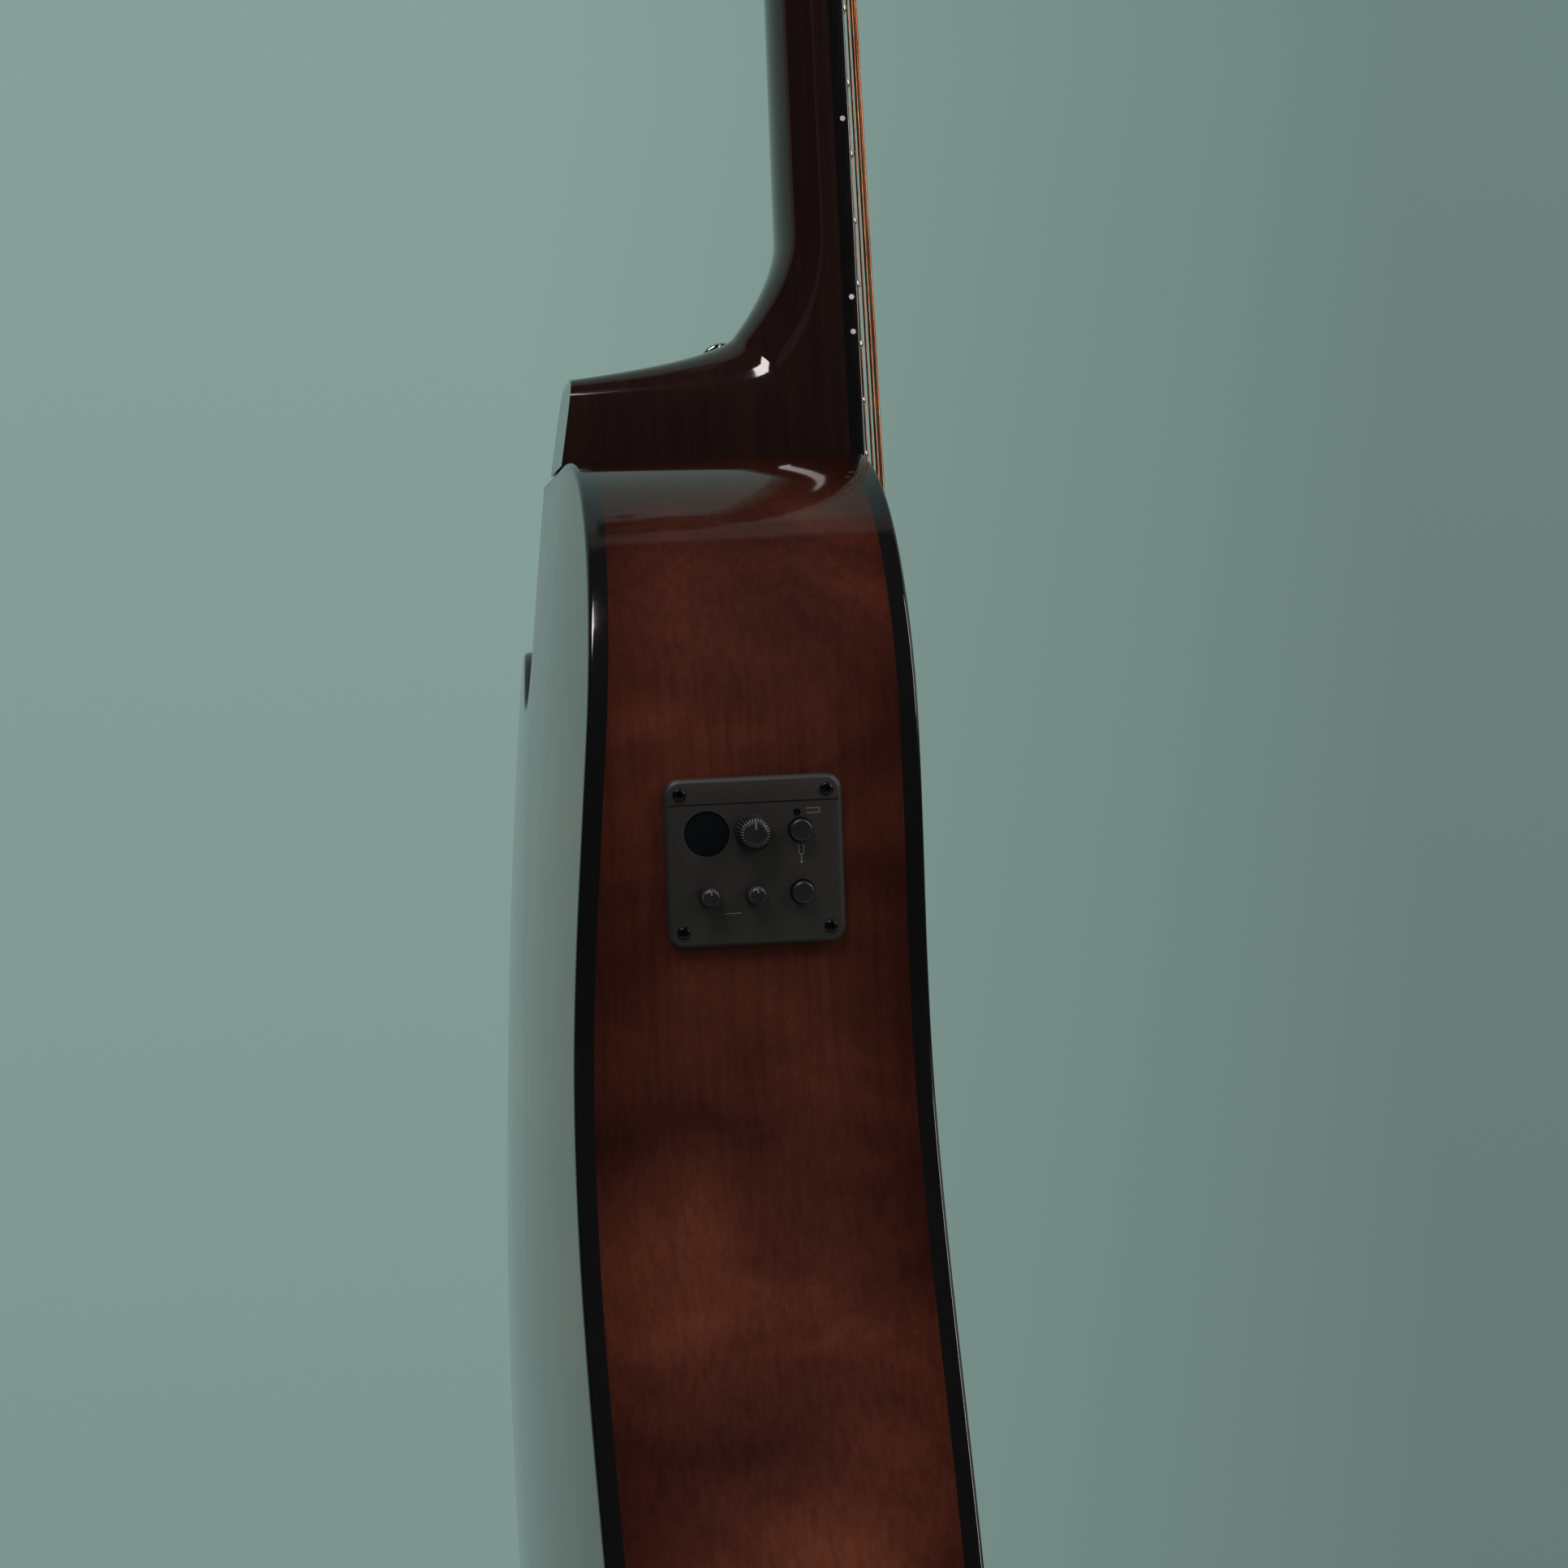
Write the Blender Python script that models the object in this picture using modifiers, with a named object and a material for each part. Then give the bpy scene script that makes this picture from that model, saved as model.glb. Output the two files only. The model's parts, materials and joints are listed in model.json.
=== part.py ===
"""Acoustic-electric guitar with a rounded cutaway, built as its separate pieces.

Metres, +Z up along the neck. The origin is the front edge of the nut, on the centreline, in the
plane of the soundboard. The soundboard faces -Y, the back faces +Y, and +X is the treble side.
"""

import math

import bmesh
import bpy
import numpy as np
from mathutils import Matrix, Vector

MM = 0.001

# Fits
GLUE_GAP = 0.3 * MM
TURN_GAP = 0.35 * MM

# Scale and neck
SCALE_LENGTH = 648 * MM
JOINT_FRET = 14
FRET_COUNT = 20
NUT_WIDTH = 43 * MM
JOINT_WIDTH = 55.5 * MM
NECK_DEPTH_AT_NUT = 15 * MM
NECK_DEPTH_AT_HEEL = 17.4 * MM
FRETBOARD_THICKNESS = 6 * MM
FRETBOARD_RADIUS = 400 * MM
FRETBOARD_OVERHANG = 6 * MM
FRET_WIDTH = 2.2 * MM
FRET_HEIGHT = 1.1 * MM
NUT_THICKNESS = 5 * MM
NUT_HEIGHT_OVER_BOARD = 2.4 * MM
TRUSS_ROD_WIDTH = 6 * MM
TRUSS_ROD_DEPTH = 9 * MM
ROD_POCKET = 26 * MM

# Heel: a block whose cap lies flush with the back
HEEL_START = 286 * MM
HEEL_CURL_DEPTH = 33 * MM
HEEL_CURL_FROM_JOINT = 41 * MM
HEEL_CAP_LENGTH = 28.5 * MM
HEEL_CAP_HALF_WIDTH = 21 * MM
HEEL_ROUNDNESS = 2.55

# Headstock
HEADSTOCK_TILT = math.radians(14)
HEADSTOCK_LENGTH = 190 * MM
HEADSTOCK_WIDTH = 74 * MM
HEADSTOCK_CROWN_WIDTH = 66 * MM
HEADSTOCK_FLARE = 38 * MM
HEADSTOCK_THICKNESS = 14 * MM
HEADSTOCK_CROWN = 6 * MM

# Body outline, half widths and distances below the neck joint
UPPER_HALF_WIDTH = 139.5 * MM
UPPER_DROP = 91.4 * MM
WAIST_HALF_WIDTH = 134.7 * MM
WAIST_DROP = 174.1 * MM
LOWER_HALF_WIDTH = 199 * MM
LOWER_DROP = 415.9 * MM
BODY_LENGTH = 506 * MM
SHOULDER_FLAT = 30 * MM
CUTAWAY_HALF_WIDTH = 52 * MM
SCOOP_X = 72 * MM
SCOOP_DROP = 74 * MM
HORN_X = 118 * MM
HORN_DROP = 53 * MM
HORN_SIDE_DROP = 86 * MM

# Body depth: a domed back over a flat top
BACK_RADIUS = 2630 * MM
BACK_DEPTH = 114.9 * MM
BACK_CREST_DROP = 342.4 * MM
PLATE_THICKNESS = 2.8 * MM
SIDE_THICKNESS = 2.4 * MM
BINDING_WIDTH = 2.2 * MM
BINDING_HEIGHT = 5.5 * MM
LINING_WIDTH = 5.5 * MM
LINING_HEIGHT = 14 * MM
SOUNDHOLE_DIAMETER = 100 * MM
SOUNDHOLE_GAP_TO_BOARD = 3 * MM
BRACE_WIDTH = 8 * MM
BRACE_HEIGHT = 13 * MM
BRACE_END_HEIGHT = 3 * MM
BRACE_TAPER = 30 * MM
CROSS_ABOVE_SADDLE = 72.65 * MM
CROSS_ANGLE = math.radians(47)
TONE_BARS_BELOW_SADDLE = (51.35 * MM, 96.35 * MM)
TONE_BAR_TILTS = (26 * MM, 30 * MM)
TRANSVERSE_DROP = 74 * MM
BACK_BRACE_DROPS = (55 * MM, 165 * MM, 290 * MM, 400 * MM)
NECK_BLOCK_WIDTH = 78 * MM
NECK_BLOCK_LENGTH = 46 * MM
TAIL_BLOCK_WIDTH = 90 * MM
TAIL_BLOCK_LENGTH = 18 * MM
BRIDGE_PLATE_SIZE = (118 * MM, 2.6 * MM, 34 * MM)

# Bridge, saddle and strings
BRIDGE_LENGTH = 156 * MM
BRIDGE_WIDTH = 32 * MM
BRIDGE_HEIGHT = 9 * MM
BRIDGE_WING_HEIGHT = 3.5 * MM
BRIDGE_WING_LENGTH = 34 * MM
SADDLE_LENGTH = 72 * MM
SADDLE_THICKNESS = 3 * MM
SADDLE_SLOT_DEPTH = 5 * MM
SADDLE_SLANT = math.radians(2.2)
SADDLE_SHIFT = 2.5 * MM
PIN_BEHIND_SADDLE = 13 * MM
PIN_HEAD_DIAMETER = 7.6 * MM
PIN_HEAD_HEIGHT = 3.2 * MM
PIN_SHANK_DIAMETER = 5 * MM
STRING_HOLE_BACK = 7.5 * MM
LEAD_X = -31 * MM
PICKUP_THICKNESS = 1.4 * MM
STRING_DIAMETERS = (1.35 * MM, 1.07 * MM, 0.81 * MM, 0.61 * MM, 0.41 * MM, 0.30 * MM)
STRING_SPREAD_AT_NUT = 36 * MM
STRING_SPREAD_AT_SADDLE = 53 * MM
STRING_OVER_NUT_BOARD = 1.6 * MM
ACTION_BASS = 3.2 * MM
ACTION_TREBLE = 2.5 * MM
WIND_TURNS = 2.5
WIND_POINTS_PER_TURN = 10
WIND_GAP = 0.5 * MM
WIND_TOP = 11.5 * MM

# Tuning machines, three a side
TUNER_ALONG = (52 * MM, 92 * MM, 132 * MM)
TUNER_POST_X = 21.5 * MM
TUNER_POST_DIAMETER = 6 * MM
TUNER_POST_HEIGHT = 20 * MM
TUNER_GEAR_TEETH = 14
TUNER_GEAR_DIAMETER = 11 * MM
TUNER_GEAR_THICKNESS = 3 * MM
TUNER_WORM_DIAMETER = 5 * MM
TUNER_SHAFT_DIAMETER = 3 * MM
TUNER_HOUSING = (17 * MM, 12.5 * MM, 24 * MM)
HOUSING_SHIFT = 4 * MM
TUNER_WALL = 1.4 * MM
TUNER_BUSH_DIAMETER = 9 * MM
TUNER_COLLAR_DIAMETER = 12.5 * MM
TUNER_COLLAR_HEIGHT = 2.2 * MM
TUNER_BUTTON = (17 * MM, 9 * MM, 19 * MM)
TUNER_BUTTON_GAP = 7 * MM

# Preamp panel on the bass side
PANEL_DROP = 127.6 * MM
PANEL_CENTRE_Y = 51 * MM
PANEL_WIDTH = 53 * MM
PANEL_LENGTH = 50 * MM
PANEL_THICKNESS = 2.2 * MM
PANEL_CORNER = 5 * MM
PANEL_LIP = 3.5 * MM
PANEL_SEAT = 0.8 * MM
HEADER_Y = 17.2 * MM
PREAMP_DEPTH = 30 * MM
PREAMP_WALL = 1.6 * MM
BOARD_DEPTH = 16 * MM
BOARD_THICKNESS = 1.6 * MM
POT_SIZE = 9 * MM
POT_FACE = -4 * MM
STEM_END = -5.5 * MM
VOLUME_KNOB_DIAMETER = 11.6 * MM
VOLUME_KNOB_HEIGHT = 6.5 * MM
TONE_KNOB_DIAMETER = 6.6 * MM
TONE_KNOB_HEIGHT = 6 * MM
KNOB_SHAFT_DIAMETER = 3 * MM
BUTTON_DIAMETER = 6.8 * MM
BUTTON_HEIGHT = 3 * MM
BUTTON_TRAVEL = 1.2 * MM
DISPLAY_DIAMETER = 13 * MM
CONTROL_ROW_UPPER = 8.6 * MM
CONTROL_ROW_LOWER = -9.8 * MM
CONTROL_COLUMNS = (-14.1 * MM, -0.3 * MM, 13.7 * MM)

# Fittings
STRAP_BUTTON_DIAMETER = 14 * MM
STRAP_BUTTON_LENGTH = 12 * MM
STRAP_BUTTON_SHARE = 0.13
STRAP_BUTTON_OUT_SHARE = 0.795
JACK_BARREL_DIAMETER = 12 * MM
JACK_FLANGE_DIAMETER = 18 * MM
JACK_LENGTH = 16 * MM
JACK_BORE_DIAMETER = 6.8 * MM
JACK_Y = 52 * MM
BATTERY_SIZE = (26.5 * MM, 17.5 * MM, 48.5 * MM)
HOLDER_WALL = 1.5 * MM
LEAD_DIAMETER = 2.4 * MM
PICKGUARD_THICKNESS = 1.2 * MM


def fret_distance(fret):
    """Distance from the nut to a fret on the equal-tempered scale."""
    return SCALE_LENGTH * (1 - 2 ** (-fret / 12))


JOINT = fret_distance(JOINT_FRET)
TAIL = JOINT + BODY_LENGTH
BOARD_END = fret_distance(FRET_COUNT) + FRETBOARD_OVERHANG
HOLE_CENTRE = BOARD_END + SOUNDHOLE_GAP_TO_BOARD + SOUNDHOLE_DIAMETER / 2
PLATE_INSET = BINDING_WIDTH + GLUE_GAP
LINING_INSET = SIDE_THICKNESS + GLUE_GAP
INNER_INSET = LINING_INSET + LINING_WIDTH + GLUE_GAP
LINING_FRONT = PLATE_THICKNESS + GLUE_GAP


def neck_half_width(distance):
    """Half the width of neck and fretboard at a distance below the nut."""
    return (NUT_WIDTH + (JOINT_WIDTH - NUT_WIDTH) * distance / JOINT) / 2


def string_x(number, distance):
    """Lateral place of a string, 0 for the low E on the bass side."""
    share = distance / SCALE_LENGTH
    spread = STRING_SPREAD_AT_NUT + (STRING_SPREAD_AT_SADDLE - STRING_SPREAD_AT_NUT) * share
    return (number / 5 - 0.5) * spread


def board_top(x):
    """Height of the fretboard's round top over the soundboard plane."""
    return FRETBOARD_THICKNESS - x * x / (2 * FRETBOARD_RADIUS)


def string_height(number, distance):
    """Height of a string's centre over the soundboard plane."""
    at_nut = board_top(string_x(number, 0)) + STRING_OVER_NUT_BOARD
    half = SCALE_LENGTH / 2
    action = ACTION_BASS + (ACTION_TREBLE - ACTION_BASS) * number / 5
    at_half = board_top(string_x(number, half)) + FRET_HEIGHT + action
    return at_nut + (at_half - at_nut) * distance / half + STRING_DIAMETERS[number] / 2


def bezier(start, handle_a, handle_b, end, count):
    """Points of a cubic curve, without the first one."""
    points = []
    for step in range(1, count + 1):
        t = step / count
        s = 1 - t
        weights = (s**3, 3 * s * s * t, 3 * s * t * t, t**3)
        corners = (start, handle_a, handle_b, end)
        points.append(tuple(sum(w * c[k] for w, c in zip(weights, corners)) for k in (0, 1)))
    return points


SHOULDER_STEPS = 8
WAIST_STEPS = 4
LOWER_STEPS = 8
TAIL_STEPS = 8


def body_outline():
    """The body's outline as (x, distance below the nut), from the neck joint round the bass side."""
    top = JOINT
    upper = (-UPPER_HALF_WIDTH, top + UPPER_DROP)
    waist = (-WAIST_HALF_WIDTH, top + WAIST_DROP)
    lower = (-LOWER_HALF_WIDTH, top + LOWER_DROP)
    tail = (0, TAIL)
    shoulder = (-SHOULDER_FLAT, top)
    reach = 75.4 * MM
    points = [shoulder]
    points += bezier(
        shoulder, (shoulder[0] - reach, top), (upper[0], upper[1] - 39.3 * MM), upper, SHOULDER_STEPS
    )
    points += bezier(
        upper, (upper[0], upper[1] + 39.9 * MM), (waist[0], waist[1] - 36.5 * MM), waist, WAIST_STEPS
    )
    points += bezier(
        waist, (waist[0], waist[1] + 74.1 * MM), (lower[0], lower[1] - 90.2 * MM), lower, LOWER_STEPS
    )
    points += bezier(lower, (lower[0], lower[1] + 52 * MM), (-112 * MM, TAIL), tail, TAIL_STEPS)
    mirrored = [(-x, distance) for x, distance in reversed(points[SHOULDER_STEPS + WAIST_STEPS : -1])]
    corner = (CUTAWAY_HALF_WIDTH, top)
    scoop = (SCOOP_X, top + SCOOP_DROP)
    horn = (HORN_X, top + HORN_DROP)
    horn_side = (UPPER_HALF_WIDTH - 1 * MM, top + HORN_SIDE_DROP)
    cut = bezier(
        corner, (47 * MM, top + 40 * MM), (46 * MM, top + SCOOP_DROP), scoop, 6
    )
    cut += bezier(
        scoop, (90 * MM, scoop[1]), (97 * MM, horn[1]), horn, 4
    )
    cut += bezier(
        horn, (132 * MM, horn[1]), (UPPER_HALF_WIDTH, top + 66 * MM), horn_side, 5
    )
    cut += bezier(
        horn_side,
        (UPPER_HALF_WIDTH - 2 * MM, top + 106 * MM),
        (WAIST_HALF_WIDTH, waist[1] - 36.5 * MM),
        (WAIST_HALF_WIDTH, waist[1]),
        WAIST_STEPS,
    )
    return points + mirrored + list(reversed(cut[:-1])) + [corner]


OUTLINE = body_outline()


def inset(points, distance):
    """The closed outline moved inwards, with mitred corners."""
    moved = []
    for here, point in enumerate(points):
        before = Vector(points[here - 1])
        after = Vector(points[(here + 1) % len(points)])
        middle = Vector(point)
        first = (middle - before).normalized()
        second = (after - middle).normalized()
        normal_a = Vector((first.y, -first.x))
        normal_b = Vector((second.y, -second.x))
        bisector = (normal_a + normal_b).normalized()
        reach = distance / max(bisector.dot(normal_b), 0.3)
        moved.append(tuple(middle + bisector * reach))
    return moved


def back_y(x, distance):
    """The domed back's outer surface."""
    along = distance - JOINT - BACK_CREST_DROP
    return BACK_DEPTH - BACK_RADIUS + math.sqrt(BACK_RADIUS**2 - x * x - along * along)


def side_frame(drop):
    """The bass side's surface point and outward direction at a distance below the neck joint."""
    target = JOINT + drop
    bass = OUTLINE[: SHOULDER_STEPS + WAIST_STEPS + LOWER_STEPS]
    for first, second in zip(bass, bass[1:]):
        if first[1] <= target <= second[1]:
            share = (target - first[1]) / (second[1] - first[1])
            x = first[0] + (second[0] - first[0]) * share
            run = Vector((second[0] - first[0], 0, first[1] - second[1])).normalized()
            return Vector((x, 0, -target)), run
    raise ValueError("the drop is not on the bass side")


def reset_scene():
    for item in list(bpy.data.objects):
        bpy.data.objects.remove(item, do_unlink=True)


def make_collection(name):
    collection = bpy.data.collections.new(name)
    bpy.context.scene.collection.children.link(collection)
    return collection


reset_scene()
PARTS = make_collection("acoustic_electric_guitar")
CUTTERS = make_collection("cutters")

FINISHES = {
    "dark_lacquer": ((0.020, 0.010, 0.009), 0.12, 0.0),
    "side_lacquer": ((0.120, 0.030, 0.014), 0.14, 0.0),
    "top_lacquer": ((0.180, 0.052, 0.018), 0.14, 0.0),
    "black_binding": ((0.006, 0.006, 0.007), 0.15, 0.0),
    "rosewood": ((0.030, 0.014, 0.010), 0.45, 0.0),
    "spruce": ((0.560, 0.390, 0.210), 0.60, 0.0),
    "mahogany": ((0.260, 0.100, 0.050), 0.60, 0.0),
    "steel": ((0.560, 0.560, 0.570), 0.30, 1.0),
    "chrome": ((0.700, 0.700, 0.710), 0.12, 1.0),
    "bronze": ((0.560, 0.300, 0.120), 0.35, 1.0),
    "bone": ((0.780, 0.740, 0.640), 0.40, 0.0),
    "panel_plastic": ((0.030, 0.028, 0.029), 0.55, 0.0),
    "knob_rubber": ((0.012, 0.012, 0.012), 0.60, 0.0),
    "dark_lens": ((0.008, 0.014, 0.014), 0.10, 0.0),
    "cable_black": ((0.010, 0.010, 0.010), 0.50, 0.0),
}


def dress(obj, finish):
    """Give the object its own Principled material."""
    colour, roughness, metallic = FINISHES[finish]
    material = bpy.data.materials.new(obj.name + "_" + finish)
    material.use_nodes = True
    shader = material.node_tree.nodes["Principled BSDF"]
    shader.inputs["Base Color"].default_value = (*colour, 1)
    shader.inputs["Roughness"].default_value = roughness
    shader.inputs["Metallic"].default_value = metallic
    material.diffuse_color = (*colour, 1)
    obj.data.materials.clear()
    obj.data.materials.append(material)
    return obj


def link_mesh(name, bm, collection=None):
    """An object made from a bmesh, its faces pointing out."""
    bmesh.ops.recalc_face_normals(bm, faces=bm.faces)
    if bm.calc_volume(signed=True) < 0:
        bmesh.ops.reverse_faces(bm, faces=bm.faces)
    mesh = bpy.data.meshes.new(name)
    bm.to_mesh(mesh)
    bm.free()
    obj = bpy.data.objects.new(name, mesh)
    (collection or PARTS).objects.link(obj)
    if collection is CUTTERS:
        obj.hide_render = True
        obj.display_type = "WIRE"
    return obj


def smooth(obj, angle=35):
    obj.data.shade_smooth()
    obj.data.set_sharp_from_angle(angle=math.radians(angle))
    return obj


def block(name, size, centre, collection=None, turn=None):
    """A box by its size and centre, turned by a matrix if one is given."""
    bm = bmesh.new()
    bmesh.ops.create_cube(bm, size=1)
    bmesh.ops.scale(bm, vec=size, verts=bm.verts)
    place = Matrix.Translation(centre) @ (turn or Matrix.Identity(4))
    bmesh.ops.transform(bm, matrix=place, verts=bm.verts)
    return link_mesh(name, bm, collection)


def toward(direction):
    """The rotation that turns +Z to a direction."""
    return Vector(direction).to_track_quat("Z", "Y").to_matrix().to_4x4()


def rod(name, start, end, diameter, sides=16, collection=None, end_diameter=None):
    """A cylinder or a cone from one point to another."""
    start = Vector(start)
    end = Vector(end)
    bm = bmesh.new()
    bmesh.ops.create_cone(
        bm,
        cap_ends=True,
        segments=sides,
        radius1=diameter / 2,
        radius2=(end_diameter or diameter) / 2,
        depth=(end - start).length,
    )
    place = Matrix.Translation((start + end) / 2) @ toward(end - start)
    bmesh.ops.transform(bm, matrix=place, verts=bm.verts)
    return link_mesh(name, bm, collection)


def prism(name, points, front, back, collection=None):
    """A flat outline of (x, distance) points made thick between two depths."""
    bm = bmesh.new()
    low = [bm.verts.new((x, front, -distance)) for x, distance in points]
    face = bm.faces.new(low)
    made = bmesh.ops.extrude_face_region(bm, geom=[face])
    moved = [item for item in made["geom"] if isinstance(item, bmesh.types.BMVert)]
    bmesh.ops.translate(bm, vec=(0, back - front, 0), verts=moved)
    return link_mesh(name, bm, collection)


def loft(name, rings, collection=None):
    """A closed skin through rings of equal count, with both ends filled."""
    bm = bmesh.new()
    loops = [[bm.verts.new(point) for point in ring] for ring in rings]
    for first, second in zip(loops, loops[1:]):
        for here in range(len(first)):
            after = (here + 1) % len(first)
            bm.faces.new((first[here], first[after], second[after], second[here]))
    bm.faces.new(loops[0])
    bm.faces.new(loops[-1])
    return link_mesh(name, bm, collection)


def boolean(obj, other, operation="DIFFERENCE"):
    modifier = obj.modifiers.new(operation.lower() + "_" + other.name, "BOOLEAN")
    modifier.operation = operation
    modifier.solver = "EXACT"
    modifier.object = other
    return obj


def settle(obj):
    """Replace the object's mesh by its evaluated one, so that its modifiers are used up."""
    bpy.context.view_layer.update()
    graph = bpy.context.evaluated_depsgraph_get()
    mesh = bpy.data.meshes.new_from_object(obj.evaluated_get(graph))
    obj.modifiers.clear()
    obj.data = mesh
    return obj


def unite(obj, others):
    for other in others:
        boolean(obj, other, "UNION")
    settle(obj)
    for other in others:
        bpy.data.objects.remove(other, do_unlink=True)
    return obj


def cut(obj, others):
    for other in others:
        boolean(obj, other)
    settle(obj)
    for other in others:
        bpy.data.objects.remove(other, do_unlink=True)
    return obj


def cut_holes(obj, holes):
    """Cut cutters that stand clear of each other, all at once."""
    bm = bmesh.new()
    for hole in holes:
        bm.from_mesh(hole.data)
        bpy.data.objects.remove(hole, do_unlink=True)
    return cut(obj, [link_mesh("holes", bm, CUTTERS)])


def tube(name, points, diameter, resolution=1, radii=None):
    """A wire through the points as a filled curve, made a closed mesh."""
    curve = bpy.data.curves.new(name + "_curve", "CURVE")
    curve.dimensions = "3D"
    curve.bevel_depth = diameter / 2
    curve.bevel_resolution = resolution
    curve.use_fill_caps = True
    spline = curve.splines.new("POLY")
    spline.points.add(len(points) - 1)
    for here, point in enumerate(points):
        spline.points[here].co = (*point, 1)
        spline.points[here].radius = 1 if radii is None else radii[here]
    holder = bpy.data.objects.new(name + "_curve", curve)
    PARTS.objects.link(holder)
    bpy.context.view_layer.update()
    graph = bpy.context.evaluated_depsgraph_get()
    mesh = bpy.data.meshes.new_from_object(holder.evaluated_get(graph))
    bpy.data.objects.remove(holder, do_unlink=True)
    bm = bmesh.new()
    bm.from_mesh(mesh)
    bmesh.ops.remove_doubles(bm, verts=bm.verts, dist=0.00001)
    return smooth(link_mesh(name, bm))


def smooth_route(points, step):
    """Evenly spread points along a smooth curve through the given ones."""
    given = [Vector(point) for point in points]
    padded = [given[0] * 2 - given[1]] + given + [given[-1] * 2 - given[-2]]
    fine = []
    for a, b, c, d in zip(padded, padded[1:], padded[2:], padded[3:]):
        for part in range(20):
            t = part / 20
            fine.append(
                0.5
                * (
                    2 * b
                    + (c - a) * t
                    + (2 * a - 5 * b + 4 * c - d) * t * t
                    + (3 * b - a - 3 * c + d) * t**3
                )
            )
    fine.append(given[-1])
    lengths = np.cumsum([0] + [(q - p).length for p, q in zip(fine, fine[1:])])
    count = max(2, int(round(lengths[-1] / step)))
    chosen = []
    for part in range(count + 1):
        at = lengths[-1] * part / count
        here = min(int(np.searchsorted(lengths, at)), len(fine) - 1)
        chosen.append(fine[here])
    return chosen


def side_strip(name, inset_by, front, back_inset, thickness):
    """A band round the body: an open strip made thick inwards."""
    points = inset(OUTLINE, inset_by) if inset_by else OUTLINE
    bm = bmesh.new()
    low = [bm.verts.new((x, front(x, z), -z)) for x, z in points]
    high = [bm.verts.new((x, back_inset(x, z), -z)) for x, z in points]
    for here in range(len(points)):
        after = (here + 1) % len(points)
        bm.faces.new((low[here], high[here], high[after], low[after]))
    mesh = bpy.data.meshes.new(name)
    bm.to_mesh(mesh)
    bm.free()
    obj = bpy.data.objects.new(name, mesh)
    PARTS.objects.link(obj)
    shell = obj.modifiers.new("thickness", "SOLIDIFY")
    shell.thickness = thickness
    shell.offset = -1
    shell.use_even_offset = True
    settle(obj)
    return smooth(obj, 40)


def flat(depth):
    return lambda x, distance: depth


def under_back(gap):
    return lambda x, distance: back_y(x, distance) - gap


def make_sides():
    edge = BINDING_HEIGHT + GLUE_GAP
    obj = side_strip("sides", 0, flat(edge), under_back(edge), SIDE_THICKNESS)
    opening = block(
        "preamp_opening",
        (PANEL_WIDTH - 2 * PANEL_LIP, PANEL_LENGTH - 2 * PANEL_LIP, 20 * MM),
        (0, 0, 0),
        CUTTERS,
        PREAMP.copy(),
    )
    jack_hole = rod(
        "jack_hole",
        (0, JACK_Y, -TAIL + 10 * MM),
        (0, JACK_Y, -TAIL - 10 * MM),
        JACK_BARREL_DIAMETER + 2 * GLUE_GAP,
        20,
        CUTTERS,
    )
    return dress(cut(obj, [opening, jack_hole]), "side_lacquer")


def make_bindings():
    front = side_strip("binding_top", 0, flat(0), flat(BINDING_HEIGHT), BINDING_WIDTH)
    back = side_strip(
        "binding_back", 0, under_back(BINDING_HEIGHT), under_back(0), BINDING_WIDTH
    )
    dress(front, "black_binding")
    dress(back, "black_binding")


def lining_band(which, name, extra):
    """The lining under one plate, or with extra the room that it needs in a block."""
    under = PLATE_THICKNESS + 2.5 * GLUE_GAP
    if which == "top":
        front = flat(LINING_FRONT - extra)
        back = flat(LINING_FRONT + LINING_HEIGHT + extra)
    else:
        front = under_back(under + LINING_HEIGHT + extra)
        back = under_back(under - extra)
    return side_strip(name, LINING_INSET - extra, front, back, LINING_WIDTH + 2 * extra)


def make_linings():
    for which in ("top", "back"):
        dress(lining_band(which, "lining_" + which, 0), "mahogany")


def make_soundboard():
    obj = prism("soundboard", inset(OUTLINE, PLATE_INSET), 0, PLATE_THICKNESS)
    hole = rod(
        "soundhole",
        (0, -10 * MM, -HOLE_CENTRE),
        (0, 10 * MM, -HOLE_CENTRE),
        SOUNDHOLE_DIAMETER,
        40,
        CUTTERS,
    )
    pins = []
    for number in range(6):
        pins.append(
            rod(
                "pin_hole_%d" % number,
                (string_x(number, SCALE_LENGTH), -10 * MM, pin_z(number)),
                (string_x(number, SCALE_LENGTH), 10 * MM, pin_z(number)),
                PIN_SHANK_DIAMETER + 2 * GLUE_GAP,
                8,
                CUTTERS,
            )
        )
    strings = [string_hole(number, CUTTERS, 0) for number in range(6)]
    holes = [hole, lead_hole("board_lead_hole")] + pins + strings
    dress(cut_holes(obj, holes), "top_lacquer")


def dome_sheet(name, depth_in, thickness, half_width, drop_a, drop_b, columns, rows):
    """A rectangle of the domed back, made thick inwards."""
    bm = bmesh.new()
    grid = []
    for row in range(rows + 1):
        distance = JOINT + drop_a + (drop_b - drop_a) * row / rows
        line = []
        for column in range(columns + 1):
            x = half_width * (2 * column / columns - 1)
            line.append(bm.verts.new((x, back_y(x, distance) - depth_in, -distance)))
        grid.append(line)
    for upper, lower in zip(grid, grid[1:]):
        for here in range(columns):
            bm.faces.new((upper[here], lower[here], lower[here + 1], upper[here + 1]))
    mesh = bpy.data.meshes.new(name)
    bm.to_mesh(mesh)
    bm.free()
    obj = bpy.data.objects.new(name, mesh)
    PARTS.objects.link(obj)
    shell = obj.modifiers.new("thickness", "SOLIDIFY")
    shell.thickness = thickness
    shell.offset = 1
    settle(obj)
    bm = bmesh.new()
    bm.from_mesh(obj.data)
    bmesh.ops.recalc_face_normals(bm, faces=bm.faces)
    bm.to_mesh(obj.data)
    bm.free()
    return obj


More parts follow.
